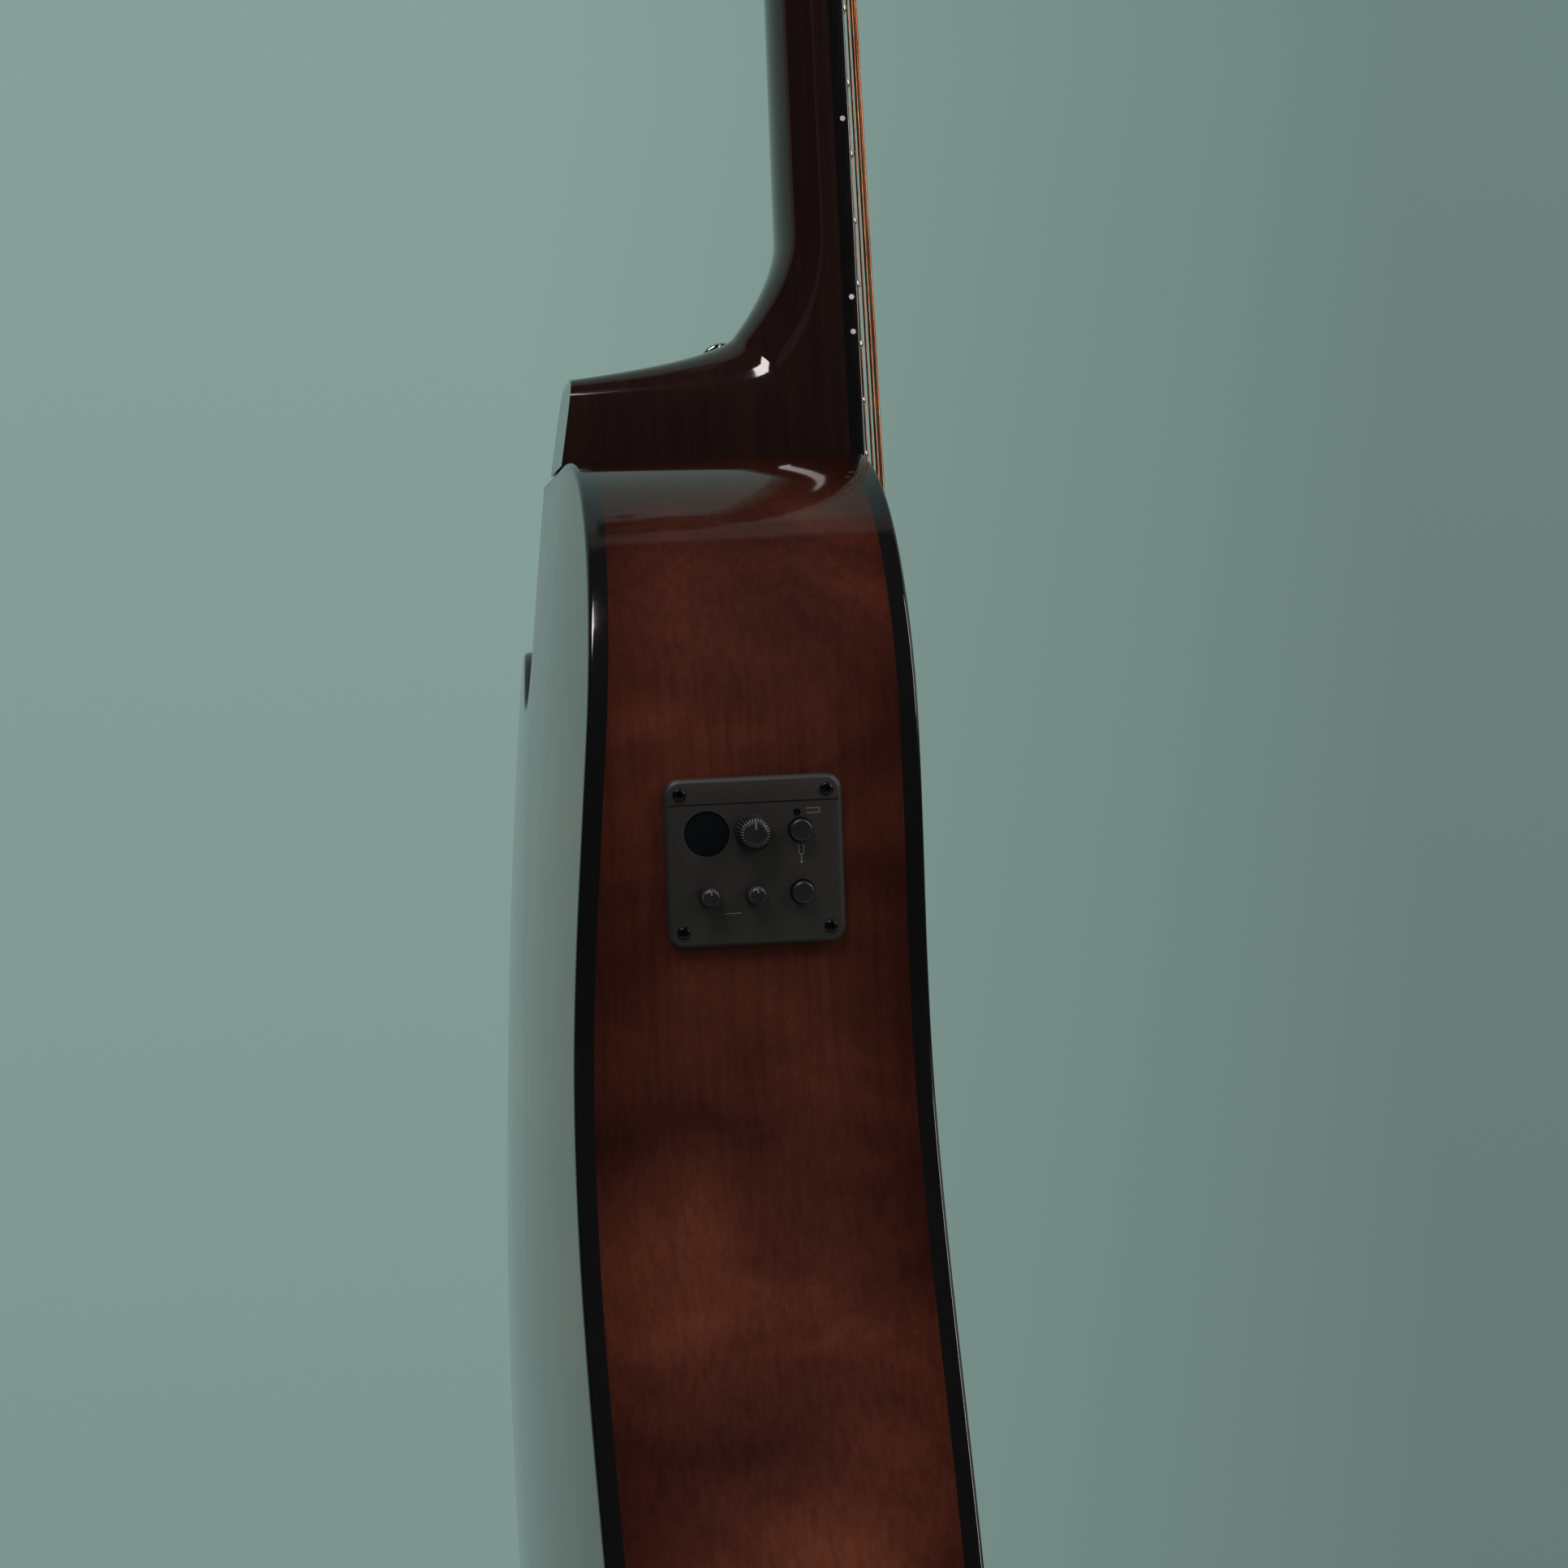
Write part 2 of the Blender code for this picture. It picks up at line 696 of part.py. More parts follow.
def make_back():
    """The domed back plate with its four ladder braces."""
    reach = LOWER_HALF_WIDTH + 12 * MM
    obj = dome_sheet(
        "back", 0, PLATE_THICKNESS, reach, -12 * MM, BODY_LENGTH + 12 * MM, 10, 13
    )
    outline = prism(
        "back_outline", inset(OUTLINE, PLATE_INSET), -20 * MM, 160 * MM, CUTTERS
    )
    boolean(obj, outline, "INTERSECT")
    settle(obj)
    bpy.data.objects.remove(outline, do_unlink=True)
    inner = inset(OUTLINE, INNER_INSET)
    pieces = []
    for drop in BACK_BRACE_DROPS:
        distance = JOINT + drop
        half = clear_span(inner, distance, BRACE_WIDTH)
        outer = back_y(0, distance) - PLATE_THICKNESS / 2
        low = outer - BRACE_HEIGHT
        ends = [back_y(x, distance) - PLATE_THICKNESS - BRACE_END_HEIGHT for x in half]
        profile = [(half[0], ends[0])]
        for step in range(9):
            x = half[0] + (half[1] - half[0]) * step / 8
            profile.append((x, back_y(x, distance) - PLATE_THICKNESS / 2))
        profile += [(half[1], ends[1]), (half[1] - BRACE_TAPER, low), (half[0] + BRACE_TAPER, low)]
        ring_a = [(x, y, -distance - BRACE_WIDTH / 2) for x, y in profile]
        ring_b = [(x, y, -distance + BRACE_WIDTH / 2) for x, y in profile]
        pieces.append(loft("brace", [ring_a, ring_b]))
    unite(obj, pieces)
    dress(smooth(obj, 30), "dark_lacquer")


def width_at(points, distance):
    """The x of a closed outline on either side of the centreline, at a distance below the nut."""
    found = []
    for here, first in enumerate(points):
        second = points[(here + 1) % len(points)]
        if (first[1] - distance) * (second[1] - distance) < 0:
            share = (distance - first[1]) / (second[1] - first[1])
            found.append(first[0] + (second[0] - first[0]) * share)
    return max(x for x in found if x < 0), min(x for x in found if x > 0)


def clear_span(points, distance, width):
    """The span inside an outline that a brace of this width clears on both its edges."""
    edges = [width_at(points, distance + side * width / 2) for side in (-1, 1)]
    return max(edge[0] for edge in edges), min(edge[1] for edge in edges)


def make_end_blocks():
    """The mahogany blocks at neck and tail, fitted to the sides and notched over the linings."""
    start = JOINT + SIDE_THICKNESS
    neck = end_block("neck_block", NECK_BLOCK_WIDTH / 2, start, start + NECK_BLOCK_LENGTH)
    dress(neck, "mahogany")
    tail = end_block("tail_block", TAIL_BLOCK_WIDTH / 2, TAIL - TAIL_BLOCK_LENGTH, TAIL)
    bore = rod(
        "jack_bore",
        (0, JACK_Y, -TAIL - 10 * MM),
        (0, JACK_Y, -TAIL + 60 * MM),
        JACK_BARREL_DIAMETER + 2 * GLUE_GAP,
        20,
        CUTTERS,
    )
    dress(cut(tail, [bore]), "mahogany")


def end_block(name, half, start, end):
    """A block whose ends follow the sides and whose back face follows the back."""
    front = PLATE_THICKNESS + GLUE_GAP
    under = PLATE_THICKNESS + 2.5 * GLUE_GAP
    rings = []
    for distance in (start, end):
        back = back_y(half, distance) - under
        corners = ((-half, front), (half, front), (half, back), (-half, back))
        rings.append([(x, y, -distance) for x, y in corners])
    obj = loft(name, rings)
    fit = prism("inside_of_sides", inset(OUTLINE, LINING_INSET), -20 * MM, 160 * MM, CUTTERS)
    boolean(obj, fit, "INTERSECT")
    settle(obj)
    bpy.data.objects.remove(fit, do_unlink=True)
    rooms = [lining_band(which, "room_" + which, GLUE_GAP) for which in ("top", "back")]
    return cut(obj, rooms)


def neck_ring(inner, outer, half_width, roundness):
    """A D-shaped section: a chord through the inner point, its crown at the outer one."""
    ring = []
    count = 14
    for step in range(count + 1):
        angle = math.pi * step / count
        across = math.cos(angle)
        out = math.sin(angle)
        x = math.copysign(abs(across) ** (2 / roundness), across) * half_width
        rise = max(out, 0) ** (2 / roundness)
        y = inner[0] + (outer[0] - inner[0]) * rise
        distance = inner[1] + (outer[1] - inner[1]) * rise
        ring.append((x, y, -distance))
    return ring


def heel_profile():
    """Crown points of the heel as (y, distance), from the shaft to the tip of the cap."""
    start = (NECK_DEPTH_AT_HEEL, HEEL_START)
    curl = (HEEL_CURL_DEPTH, JOINT - HEEL_CURL_FROM_JOINT)
    cap_end = HEEL_CAP_Y
    tip = (cap_end - 5 * MM, JOINT - GLUE_GAP - HEEL_CAP_LENGTH)
    curve = bezier(start, (start[0], start[1] + 12 * MM), (curl[0] - 5 * MM, curl[1] - 6 * MM), curl, 5)
    face = bezier(curl, (curl[0] + 6 * MM, curl[1] + 5 * MM), (tip[0] - 28 * MM, tip[1] - 3 * MM), tip, 6)
    return curve, face


HEEL_CAP_Y = back_y(HEEL_CAP_HALF_WIDTH, JOINT) - 0.2 * MM


def neck_loft():
    """The shaft and the heel as one skin, whose sections turn from across the neck to along it."""
    dive = NUT_THICKNESS + 12 * MM
    rings = [neck_ring((5.2 * MM, -dive), (15 * MM, -dive), 19 * MM, 2.1)]
    for distance in (-NUT_THICKNESS, 0, 60 * MM, 130 * MM, 200 * MM, 250 * MM, HEEL_START):
        share = max(distance, 0) / HEEL_START
        depth = NECK_DEPTH_AT_NUT + (NECK_DEPTH_AT_HEEL - NECK_DEPTH_AT_NUT) * share
        half = neck_half_width(max(distance, 0))
        rings.append(neck_ring((0, distance), (depth, distance), half, 2.15))
    joint = JOINT - GLUE_GAP
    curve, face = heel_profile()
    for step, crown in enumerate(curve, 1):
        share = step / len(curve)
        distance = HEEL_START + (joint - HEEL_START) * share
        half = neck_half_width(distance)
        rings.append(neck_ring((0, distance), crown, half, 2.15 + (HEEL_ROUNDNESS - 2.15) * share))
    half_top = neck_half_width(joint)
    for step, crown in enumerate(face, 1):
        share = step / len(face)
        half = half_top + (HEEL_CAP_HALF_WIDTH - half_top) * share
        rings.append(neck_ring((HEEL_CAP_Y * share, joint), crown, half, HEEL_ROUNDNESS))
    return loft("neck", rings)


def heel_point(share, rise):
    """A point of the heel's treble side, by its shares of the way to the cap and out to the crown."""
    curve, face = heel_profile()
    crowns = [curve[-1], *face]
    first = min(int(share * len(face)), len(face) - 1)
    part = share * len(face) - first
    crown_y, crown_distance = (a + (b - a) * part for a, b in zip(crowns[first], crowns[first + 1]))
    half = neck_half_width(JOINT) * (1 - share) + HEEL_CAP_HALF_WIDTH * share
    x = half * (1 - rise**HEEL_ROUNDNESS) ** (1 / HEEL_ROUNDNESS)
    y = HEEL_CAP_Y * share * (1 - rise) + crown_y * rise
    joint = JOINT - GLUE_GAP
    return Vector((x, y, -(joint + (crown_distance - joint) * rise)))


def heel_side(share, rise):
    """A point of the heel's treble side and its outward direction."""
    step = 0.02
    down = heel_point(share + step, rise) - heel_point(share - step, rise)
    out = heel_point(share, rise + step) - heel_point(share, rise - step)
    normal = out.cross(down).normalized()
    return heel_point(share, rise), normal if normal.x > 0 else -normal


def headstock_outline():
    """A plain flared outline with a low crown, as (x, along) in the headstock's own plane."""
    neck = NUT_WIDTH / 2
    half = HEADSTOCK_WIDTH / 2
    crown = HEADSTOCK_CROWN_WIDTH / 2
    side_top = HEADSTOCK_LENGTH - HEADSTOCK_CROWN
    right = [(neck, 0)]
    right += bezier(
        (neck, 0), (neck, 12 * MM), (half, HEADSTOCK_FLARE - 16 * MM), (half, HEADSTOCK_FLARE), 6
    )
    right += bezier(
        (half, HEADSTOCK_FLARE), (half - 2 * MM, 90 * MM), (crown + 1 * MM, 140 * MM), (crown, side_top), 3
    )
    right += bezier(
        (crown, side_top),
        (crown - 14 * MM, side_top + 5 * MM),
        (10 * MM, HEADSTOCK_LENGTH),
        (0, HEADSTOCK_LENGTH),
        4,
    )
    return right + [(-x, along) for x, along in reversed(right[:-1])]


HEADSTOCK = Matrix.Translation((0, 0, NUT_THICKNESS)) @ Matrix.Rotation(-HEADSTOCK_TILT, 4, "X")


def at_headstock(x, y, along):
    """A world point from the headstock's own lateral, backward and upward places."""
    return HEADSTOCK @ Vector((x, y, along))


def make_neck():
    obj = neck_loft()
    slab = prism("headstock_slab", [(x, -s) for x, s in headstock_outline()], 0, HEADSTOCK_THICKNESS)
    slab.data.transform(HEADSTOCK)
    bevel_mesh(slab, 1.5 * MM, 60)
    unite(obj, [slab])
    cutters = []
    for index, side, along in tuner_places():
        cutters.append(
            rod(
                "bush_hole_%d" % index,
                at_headstock(side * TUNER_POST_X, -10 * MM, along),
                at_headstock(side * TUNER_POST_X, HEADSTOCK_THICKNESS + 10 * MM, along),
                TUNER_BUSH_DIAMETER + 2 * GLUE_GAP,
                14,
                CUTTERS,
            )
        )
    length = JOINT - 8 * MM + ROD_POCKET
    cutters.append(
        block(
            "rod_channel",
            (TRUSS_ROD_WIDTH + 2 * GLUE_GAP, 2 * (TRUSS_ROD_DEPTH + 2 * GLUE_GAP), length),
            (0, 0, ROD_POCKET - length / 2),
            CUTTERS,
        )
    )
    cut(obj, cutters)
    dress(smooth(obj, 38), "dark_lacquer")


def bevel_mesh(obj, width, angle):
    modifier = obj.modifiers.new("bevel", "BEVEL")
    modifier.width = width
    modifier.segments = 1
    modifier.limit_method = "ANGLE"
    modifier.angle_limit = math.radians(angle)
    settle(obj)
    return obj


def make_truss_rod():
    """The steel rod in its channel, with the round adjusting nut in the headstock pocket."""
    end = JOINT - 12 * MM
    bar = block(
        "truss_rod",
        (TRUSS_ROD_WIDTH - GLUE_GAP, TRUSS_ROD_DEPTH - GLUE_GAP, end),
        (0, (TRUSS_ROD_DEPTH + 1.5 * MM) / 2, -end / 2),
    )
    nut = rod("rod_nut", (0, 6 * MM, -2 * MM), (0, 6 * MM, 14 * MM), 5.6 * MM, 12)
    dress(unite(bar, [nut]), "steel")
    points = [(-11 * MM, 0.5 * MM), (11 * MM, 0.5 * MM)]
    points += bezier((11 * MM, 0.5 * MM), (12 * MM, 20 * MM), (5 * MM, 30 * MM), (0, 36 * MM), 4)
    points += [(-x, s) for x, s in reversed(points[2:-1])]
    cover = prism("truss_rod_cover", [(x, -s) for x, s in points], -2.2 * MM, -GLUE_GAP)
    cover.data.transform(HEADSTOCK)
    dress(cover, "panel_plastic")


def board_ring(distance, raised):
    half = neck_half_width(distance) - 0.1 * MM
    lift = FRET_HEIGHT if raised else 0
    reach = half - (0.8 * MM if raised else 0)
    ring = [(-half, -GLUE_GAP, -distance), (half, -GLUE_GAP, -distance)]
    for step in range(4):
        x = reach * (1 - 2 * step / 3)
        ring.append((x, -board_top(x) - lift, -distance))
    return ring


def make_fretboard():
    """The fingerboard, its round top and its frets in one skin."""
    rings = [board_ring(0, False)]
    for fret in range(1, FRET_COUNT + 1):
        place = fret_distance(fret)
        rings.append(board_ring(place - FRET_WIDTH / 2, False))
        rings.append(board_ring(place - FRET_WIDTH / 4, True))
        rings.append(board_ring(place + FRET_WIDTH / 4, True))
        rings.append(board_ring(place + FRET_WIDTH / 2, False))
    rings.append(board_ring(BOARD_END, False))
    dress(loft("fretboard", rings), "rosewood")


def make_nut():
    front = -FRETBOARD_THICKNESS - NUT_HEIGHT_OVER_BOARD
    size = (NUT_WIDTH - 0.2 * MM, -front - GLUE_GAP, NUT_THICKNESS - 2 * GLUE_GAP)
    obj = block("nut", size, (0, (front - GLUE_GAP) / 2, NUT_THICKNESS / 2))
    slots = []
    for number in range(6):
        x = string_x(number, 0)
        floor = string_height(number, 0) - STRING_DIAMETERS[number] / 2 - GLUE_GAP
        width = STRING_DIAMETERS[number] + 2 * GLUE_GAP
        slots.append(
            block(
                "nut_slot_%d" % number,
                (width, 10 * MM, 20 * MM),
                (x, -floor - 5 * MM, 0),
                CUTTERS,
            )
        )
    dress(cut(obj, slots), "bone")


def saddle_distance(x):
    """Distance from the nut to the slanted saddle's middle, with its compensation."""
    return SCALE_LENGTH + SADDLE_SHIFT - x * math.tan(SADDLE_SLANT)


def pin_z(number):
    return -saddle_distance(string_x(number, SCALE_LENGTH)) - PIN_BEHIND_SADDLE


def string_hole(number, collection, extra):
    """The hole that a string comes up through, in front of its pin."""
    x = string_x(number, SCALE_LENGTH)
    z = -saddle_distance(x) - STRING_HOLE_BACK
    width = STRING_DIAMETERS[number] + 2 * GLUE_GAP + extra
    return rod("string_hole_%d" % number, (x, -20 * MM, z), (x, 20 * MM, z), width, 6, collection)


def bridge_outline():
    """Half the belly shape below the saddle line, mirrored to both sides."""
    half = BRIDGE_LENGTH / 2
    middle = SCALE_LENGTH + SADDLE_SHIFT + BRIDGE_WIDTH / 2 - 9 * MM
    upper = middle - BRIDGE_WIDTH / 2
    lower = middle + BRIDGE_WIDTH / 2
    right = [(0, upper), (half - 6 * MM, upper), (half, upper + 6 * MM)]
    right += [(half, lower - 12 * MM), (half - 6 * MM, lower - 6 * MM)]
    right += bezier(
        (half - 6 * MM, lower - 6 * MM), (40 * MM, lower - 6 * MM), (34 * MM, lower), (0, lower), 5
    )
    return right + [(-x, distance) for x, distance in reversed(right[1:-1])]


def make_bridge():
    """A belly bridge with sloped wings, its six pins and the holes for saddle and strings."""
    half = BRIDGE_LENGTH / 2
    inner = half - BRIDGE_WING_LENGTH
    profile = [(-half, -GLUE_GAP), (half, -GLUE_GAP), (half, -BRIDGE_WING_HEIGHT)]
    profile += [(inner + 14 * MM, -BRIDGE_WING_HEIGHT - 1.5 * MM), (inner, -BRIDGE_HEIGHT)]
    profile += [(-x, y) for x, y in reversed(profile[2:])]
    near = -(SCALE_LENGTH - 40 * MM)
    far = -(SCALE_LENGTH + 60 * MM)
    obj = loft(
        "bridge", [[(x, y, near) for x, y in profile], [(x, y, far) for x, y in profile]]
    )
    outline = prism("bridge_shape", bridge_outline(), -20 * MM, 20 * MM, CUTTERS)
    boolean(obj, outline, "INTERSECT")
    settle(obj)
    bpy.data.objects.remove(outline, do_unlink=True)
    pins = []
    for number in range(6):
        x = string_x(number, SCALE_LENGTH)
        z = pin_z(number)
        top = -BRIDGE_HEIGHT - PIN_HEAD_HEIGHT
        shank_end = PLATE_THICKNESS + BRIDGE_PLATE_SIZE[1] + 4 * MM
        pins.append(
            rod("shank", (x, -BRIDGE_HEIGHT, z), (x, shank_end, z), PIN_SHANK_DIAMETER, 8)
        )
        pins.append(
            rod(
                "head",
                (x, -BRIDGE_HEIGHT + 1 * MM, z),
                (x, top, z),
                PIN_HEAD_DIAMETER,
                10,
                None,
                PIN_HEAD_DIAMETER * 0.6,
            )
        )
    unite(obj, pins)
    slot = block(
        "saddle_slot",
        (SADDLE_LENGTH + 2 * GLUE_GAP, 2 * SADDLE_SLOT_DEPTH, SADDLE_THICKNESS + 2 * GLUE_GAP),
        (0, -BRIDGE_HEIGHT, -saddle_distance(0)),
        CUTTERS,
        Matrix.Rotation(-SADDLE_SLANT, 4, "Y"),
    )
    lead = lead_hole("bridge_lead_hole")
    holes = [string_hole(number, CUTTERS, 0) for number in range(6)]
    dress(cut(obj, [slot, lead] + holes), "rosewood")


def lead_hole(name):
    z = -saddle_distance(LEAD_X)
    return rod(name, (LEAD_X, -8 * MM, z), (LEAD_X, 20 * MM, z), LEAD_DIAMETER + 2 * GLUE_GAP, 10, CUTTERS)


def make_saddle():
    """The compensated saddle over its pickup strip, in the slanted slot."""
    floor = -BRIDGE_HEIGHT + SADDLE_SLOT_DEPTH
    half = SADDLE_LENGTH / 2
    bottom = floor - PICKUP_THICKNESS - 2 * GLUE_GAP
    tops = []
    for number in range(6):
        x = string_x(number, SCALE_LENGTH)
        lowest = string_height(number, saddle_distance(x)) - STRING_DIAMETERS[number] / 2
        tops.append((x, -(lowest - GLUE_GAP)))
    profile = [(-half, bottom), (half, bottom), (half, tops[5][1] + 1.2 * MM)]
    profile += list(reversed(tops)) + [(-half, tops[0][1] + 1.2 * MM)]
    slant = Matrix.Rotation(-SADDLE_SLANT, 4, "Y")
    place = Matrix.Translation((0, 0, -saddle_distance(0))) @ slant
    reach = SADDLE_THICKNESS / 2
    rings = []
    for z, fall in ((reach, 0.5 * MM), (reach * 0.2, 0), (-reach, 1.1 * MM)):
        rings.append([(x, y if y == bottom else y + fall, z) for x, y in profile])
    obj = loft("saddle", rings)
    obj.data.transform(place)
    dress(obj, "bone")
    strip = block(
        "saddle_pickup",
        (SADDLE_LENGTH - 1 * MM, PICKUP_THICKNESS, SADDLE_THICKNESS - 0.4 * MM),
        (0, floor - GLUE_GAP - PICKUP_THICKNESS / 2, 0),
        None,
    )
    strip.data.transform(place)
    dress(strip, "steel")


def make_bridge_plate():
    length, thickness, width = BRIDGE_PLATE_SIZE
    front = PLATE_THICKNESS + GLUE_GAP
    centre = -saddle_distance(0) - width / 4
    obj = block("bridge_plate", (length, thickness, width), (0, front + thickness / 2, centre))
    cutters = [string_hole(number, CUTTERS, 0) for number in range(6)]
    cutters.append(lead_hole("plate_lead_hole"))
    for number in range(6):
        x = string_x(number, SCALE_LENGTH)
        cutters.append(
            rod(
                "plate_pin_hole_%d" % number,
                (x, -10 * MM, pin_z(number)),
                (x, 20 * MM, pin_z(number)),
                PIN_SHANK_DIAMETER + 2 * GLUE_GAP,
                8,
                CUTTERS,
            )
        )
    dress(cut_holes(obj, cutters), "mahogany")


def strut(name, start, end, width, height):
    """A straight brace on the soundboard between two (x, distance) points."""
    a = Vector((start[0], 0, -start[1]))
    b = Vector((end[0], 0, -end[1]))
    run = (b - a).normalized()
    across = run.cross(Vector((0, 1, 0)))
    front = PLATE_THICKNESS + GLUE_GAP
    rings = []
    for point, tall in ((a, 0.3), (a + run * BRACE_TAPER, 1), (b - run * BRACE_TAPER, 1), (b, 0.3)):
        ring = []
        for side, depth in ((-1, 0), (1, 0), (0.55, height * tall), (-0.55, height * tall)):
            ring.append(point + across * side * width / 2 + Vector((0, front + depth, 0)))
        rings.append(ring)
    return loft(name, rings)


def make_top_bracing():
    """The crossed braces with two tone bars, trimmed inside the lining."""
    distance = SCALE_LENGTH - CROSS_ABOVE_SADDLE
    up = 128 * MM / math.tan(CROSS_ANGLE)
    arms = []
    for side in (-1, 1):
        foot = (side * 172 * MM, distance + 172 * MM / math.tan(CROSS_ANGLE))
        head = (-side * 128 * MM, distance - up)
        arms.append(strut("top_bracing", head, foot, BRACE_WIDTH, BRACE_HEIGHT))
    bars = []
    for below, tilt in zip(TONE_BARS_BELOW_SADDLE, TONE_BAR_TILTS):
        shift = below - TONE_BARS_BELOW_SADDLE[0]
        left = (-150 * MM + shift, SCALE_LENGTH + below + 2 * tilt)
        right = (114 * MM + shift, SCALE_LENGTH + below - tilt)
        bars.append(strut("tone_bar", left, right, BRACE_WIDTH * 0.8, BRACE_HEIGHT * 0.8))
    obj = unite(arms[0], [arms[1]] + bars)
    obj.name = "top_bracing"
    outline = prism("bracing_outline", inset(OUTLINE, INNER_INSET + 1 * MM), -20 * MM, 60 * MM, CUTTERS)
    boolean(obj, outline, "INTERSECT")
    settle(obj)
    bpy.data.objects.remove(outline, do_unlink=True)
    dress(obj, "spruce")
    inner = inset(OUTLINE, INNER_INSET + 1 * MM)
    width = BRACE_WIDTH * 1.6
    distance = JOINT + TRANSVERSE_DROP
    left, right = clear_span(inner, distance, width)
    start = (left, distance)
    end = (right, distance)
    dress(strut("transverse_brace", start, end, width, BRACE_HEIGHT), "spruce")


def tuner_places():
    """Number, side and place along the headstock, in the order of the strings from the low E."""
    places = []
    for index in range(6):
        side = -1 if index < 3 else 1
        along = TUNER_ALONG[index] if index < 3 else TUNER_ALONG[5 - index]
        places.append((index + 1, side, along))
    return places


def winding(number):
    """The string from the nut to its post and round it, in world points."""
    thick = STRING_DIAMETERS[number]
    _, side, along = tuner_places()[number]
    centre = Vector((side * TUNER_POST_X, along))
    radius = TUNER_POST_DIAMETER / 2 + TURN_GAP + thick / 2
    leave = Vector((string_x(number, -NUT_THICKNESS), -string_height(number, -NUT_THICKNESS)))
    start = HEADSTOCK.inverted() @ Vector((leave.x, leave.y, NUT_THICKNESS))
    away = Vector((start.x, start.z)) - centre
    spread = math.acos(radius / away.length)
    facing = math.atan2(away.y, away.x)
    first = facing + spread if side < 0 else facing - spread
    turn = 1 if side < 0 else -1
    points = []
    total = int(WIND_TURNS * WIND_POINTS_PER_TURN)
    pitch = thick + WIND_GAP
    for step in range(total + 1):
        angle = first + turn * 2 * math.pi * step / WIND_POINTS_PER_TURN
        height = WIND_TOP - pitch * step / WIND_POINTS_PER_TURN
        x = centre.x + radius * math.cos(angle)
        s = centre.y + radius * math.sin(angle)
        points.append(at_headstock(x, -height, s))
    return points


def self_gap(points, thick, skip):
    """Least free distance between stretches of a wound string that are not neighbours."""
    spots = np.array([list(point) for point in points])
    least = 1.0
    for here in range(len(spots) - skip):
        apart = np.linalg.norm(spots[here + skip :] - spots[here], axis=1)
        least = min(least, float(apart.min()))
    return least - thick


def make_strings():
    """Each string from its ball end through bridge, saddle and nut to the turns on its post."""
    for number, thick in enumerate(STRING_DIAMETERS):
        at_saddle = string_x(number, SCALE_LENGTH)
        distance = saddle_distance(at_saddle)
        hole_z = -distance - STRING_HOLE_BACK
        under = PLATE_THICKNESS + BRIDGE_PLATE_SIZE[1] + 2.6 * MM
        points = [
            Vector((at_saddle, under + 1.5 * MM, hole_z)),
            Vector((at_saddle, under, hole_z)),
            Vector((at_saddle, under - 1 * MM, hole_z)),
            Vector((at_saddle, -BRIDGE_HEIGHT - thick / 2 - 0.5 * MM, hole_z)),
        ]
        radii = [1.9 * MM / (thick / 2), 1.9 * MM / (thick / 2), 1, 1]
        for place in (distance, -NUT_THICKNESS * 0.1, -NUT_THICKNESS * 0.9):
            x = string_x(number, place)
            points.append(Vector((x, -string_height(number, place), -place)))
            radii.append(1)
        turns = winding(number)
        gap = self_gap(turns, thick, WIND_POINTS_PER_TURN // 2)
        print("string", number + 1, "least gap to itself in mm", round(gap / MM, 3))
        points += turns
        radii += [1] * len(turns)
        obj = tube("string_%d" % (number + 1), points, thick, 1, radii)
        dress(obj, "bronze" if number < 4 else "steel")


WORM_OFFSET = TUNER_GEAR_DIAMETER / 2 + TUNER_WORM_DIAMETER / 2 + TURN_GAP


def tuner_frame(side, along):
    """The post axis frame: X out to the button, Y backwards, Z along the headstock."""
    frame = HEADSTOCK @ Matrix.Translation((side * TUNER_POST_X, 0, along))
    if side < 0:
        frame = frame @ Matrix.Rotation(math.pi, 4, "Y")
    return frame


def axle_empty(name, matrix):
    empty = bpy.data.objects.new(name, None)
    PARTS.objects.link(empty)
    empty.matrix_world = matrix
    return empty


def hang(obj, empty):
    """Parent an object, modelled round the origin, to its axle empty."""
    obj.parent = empty
    return obj


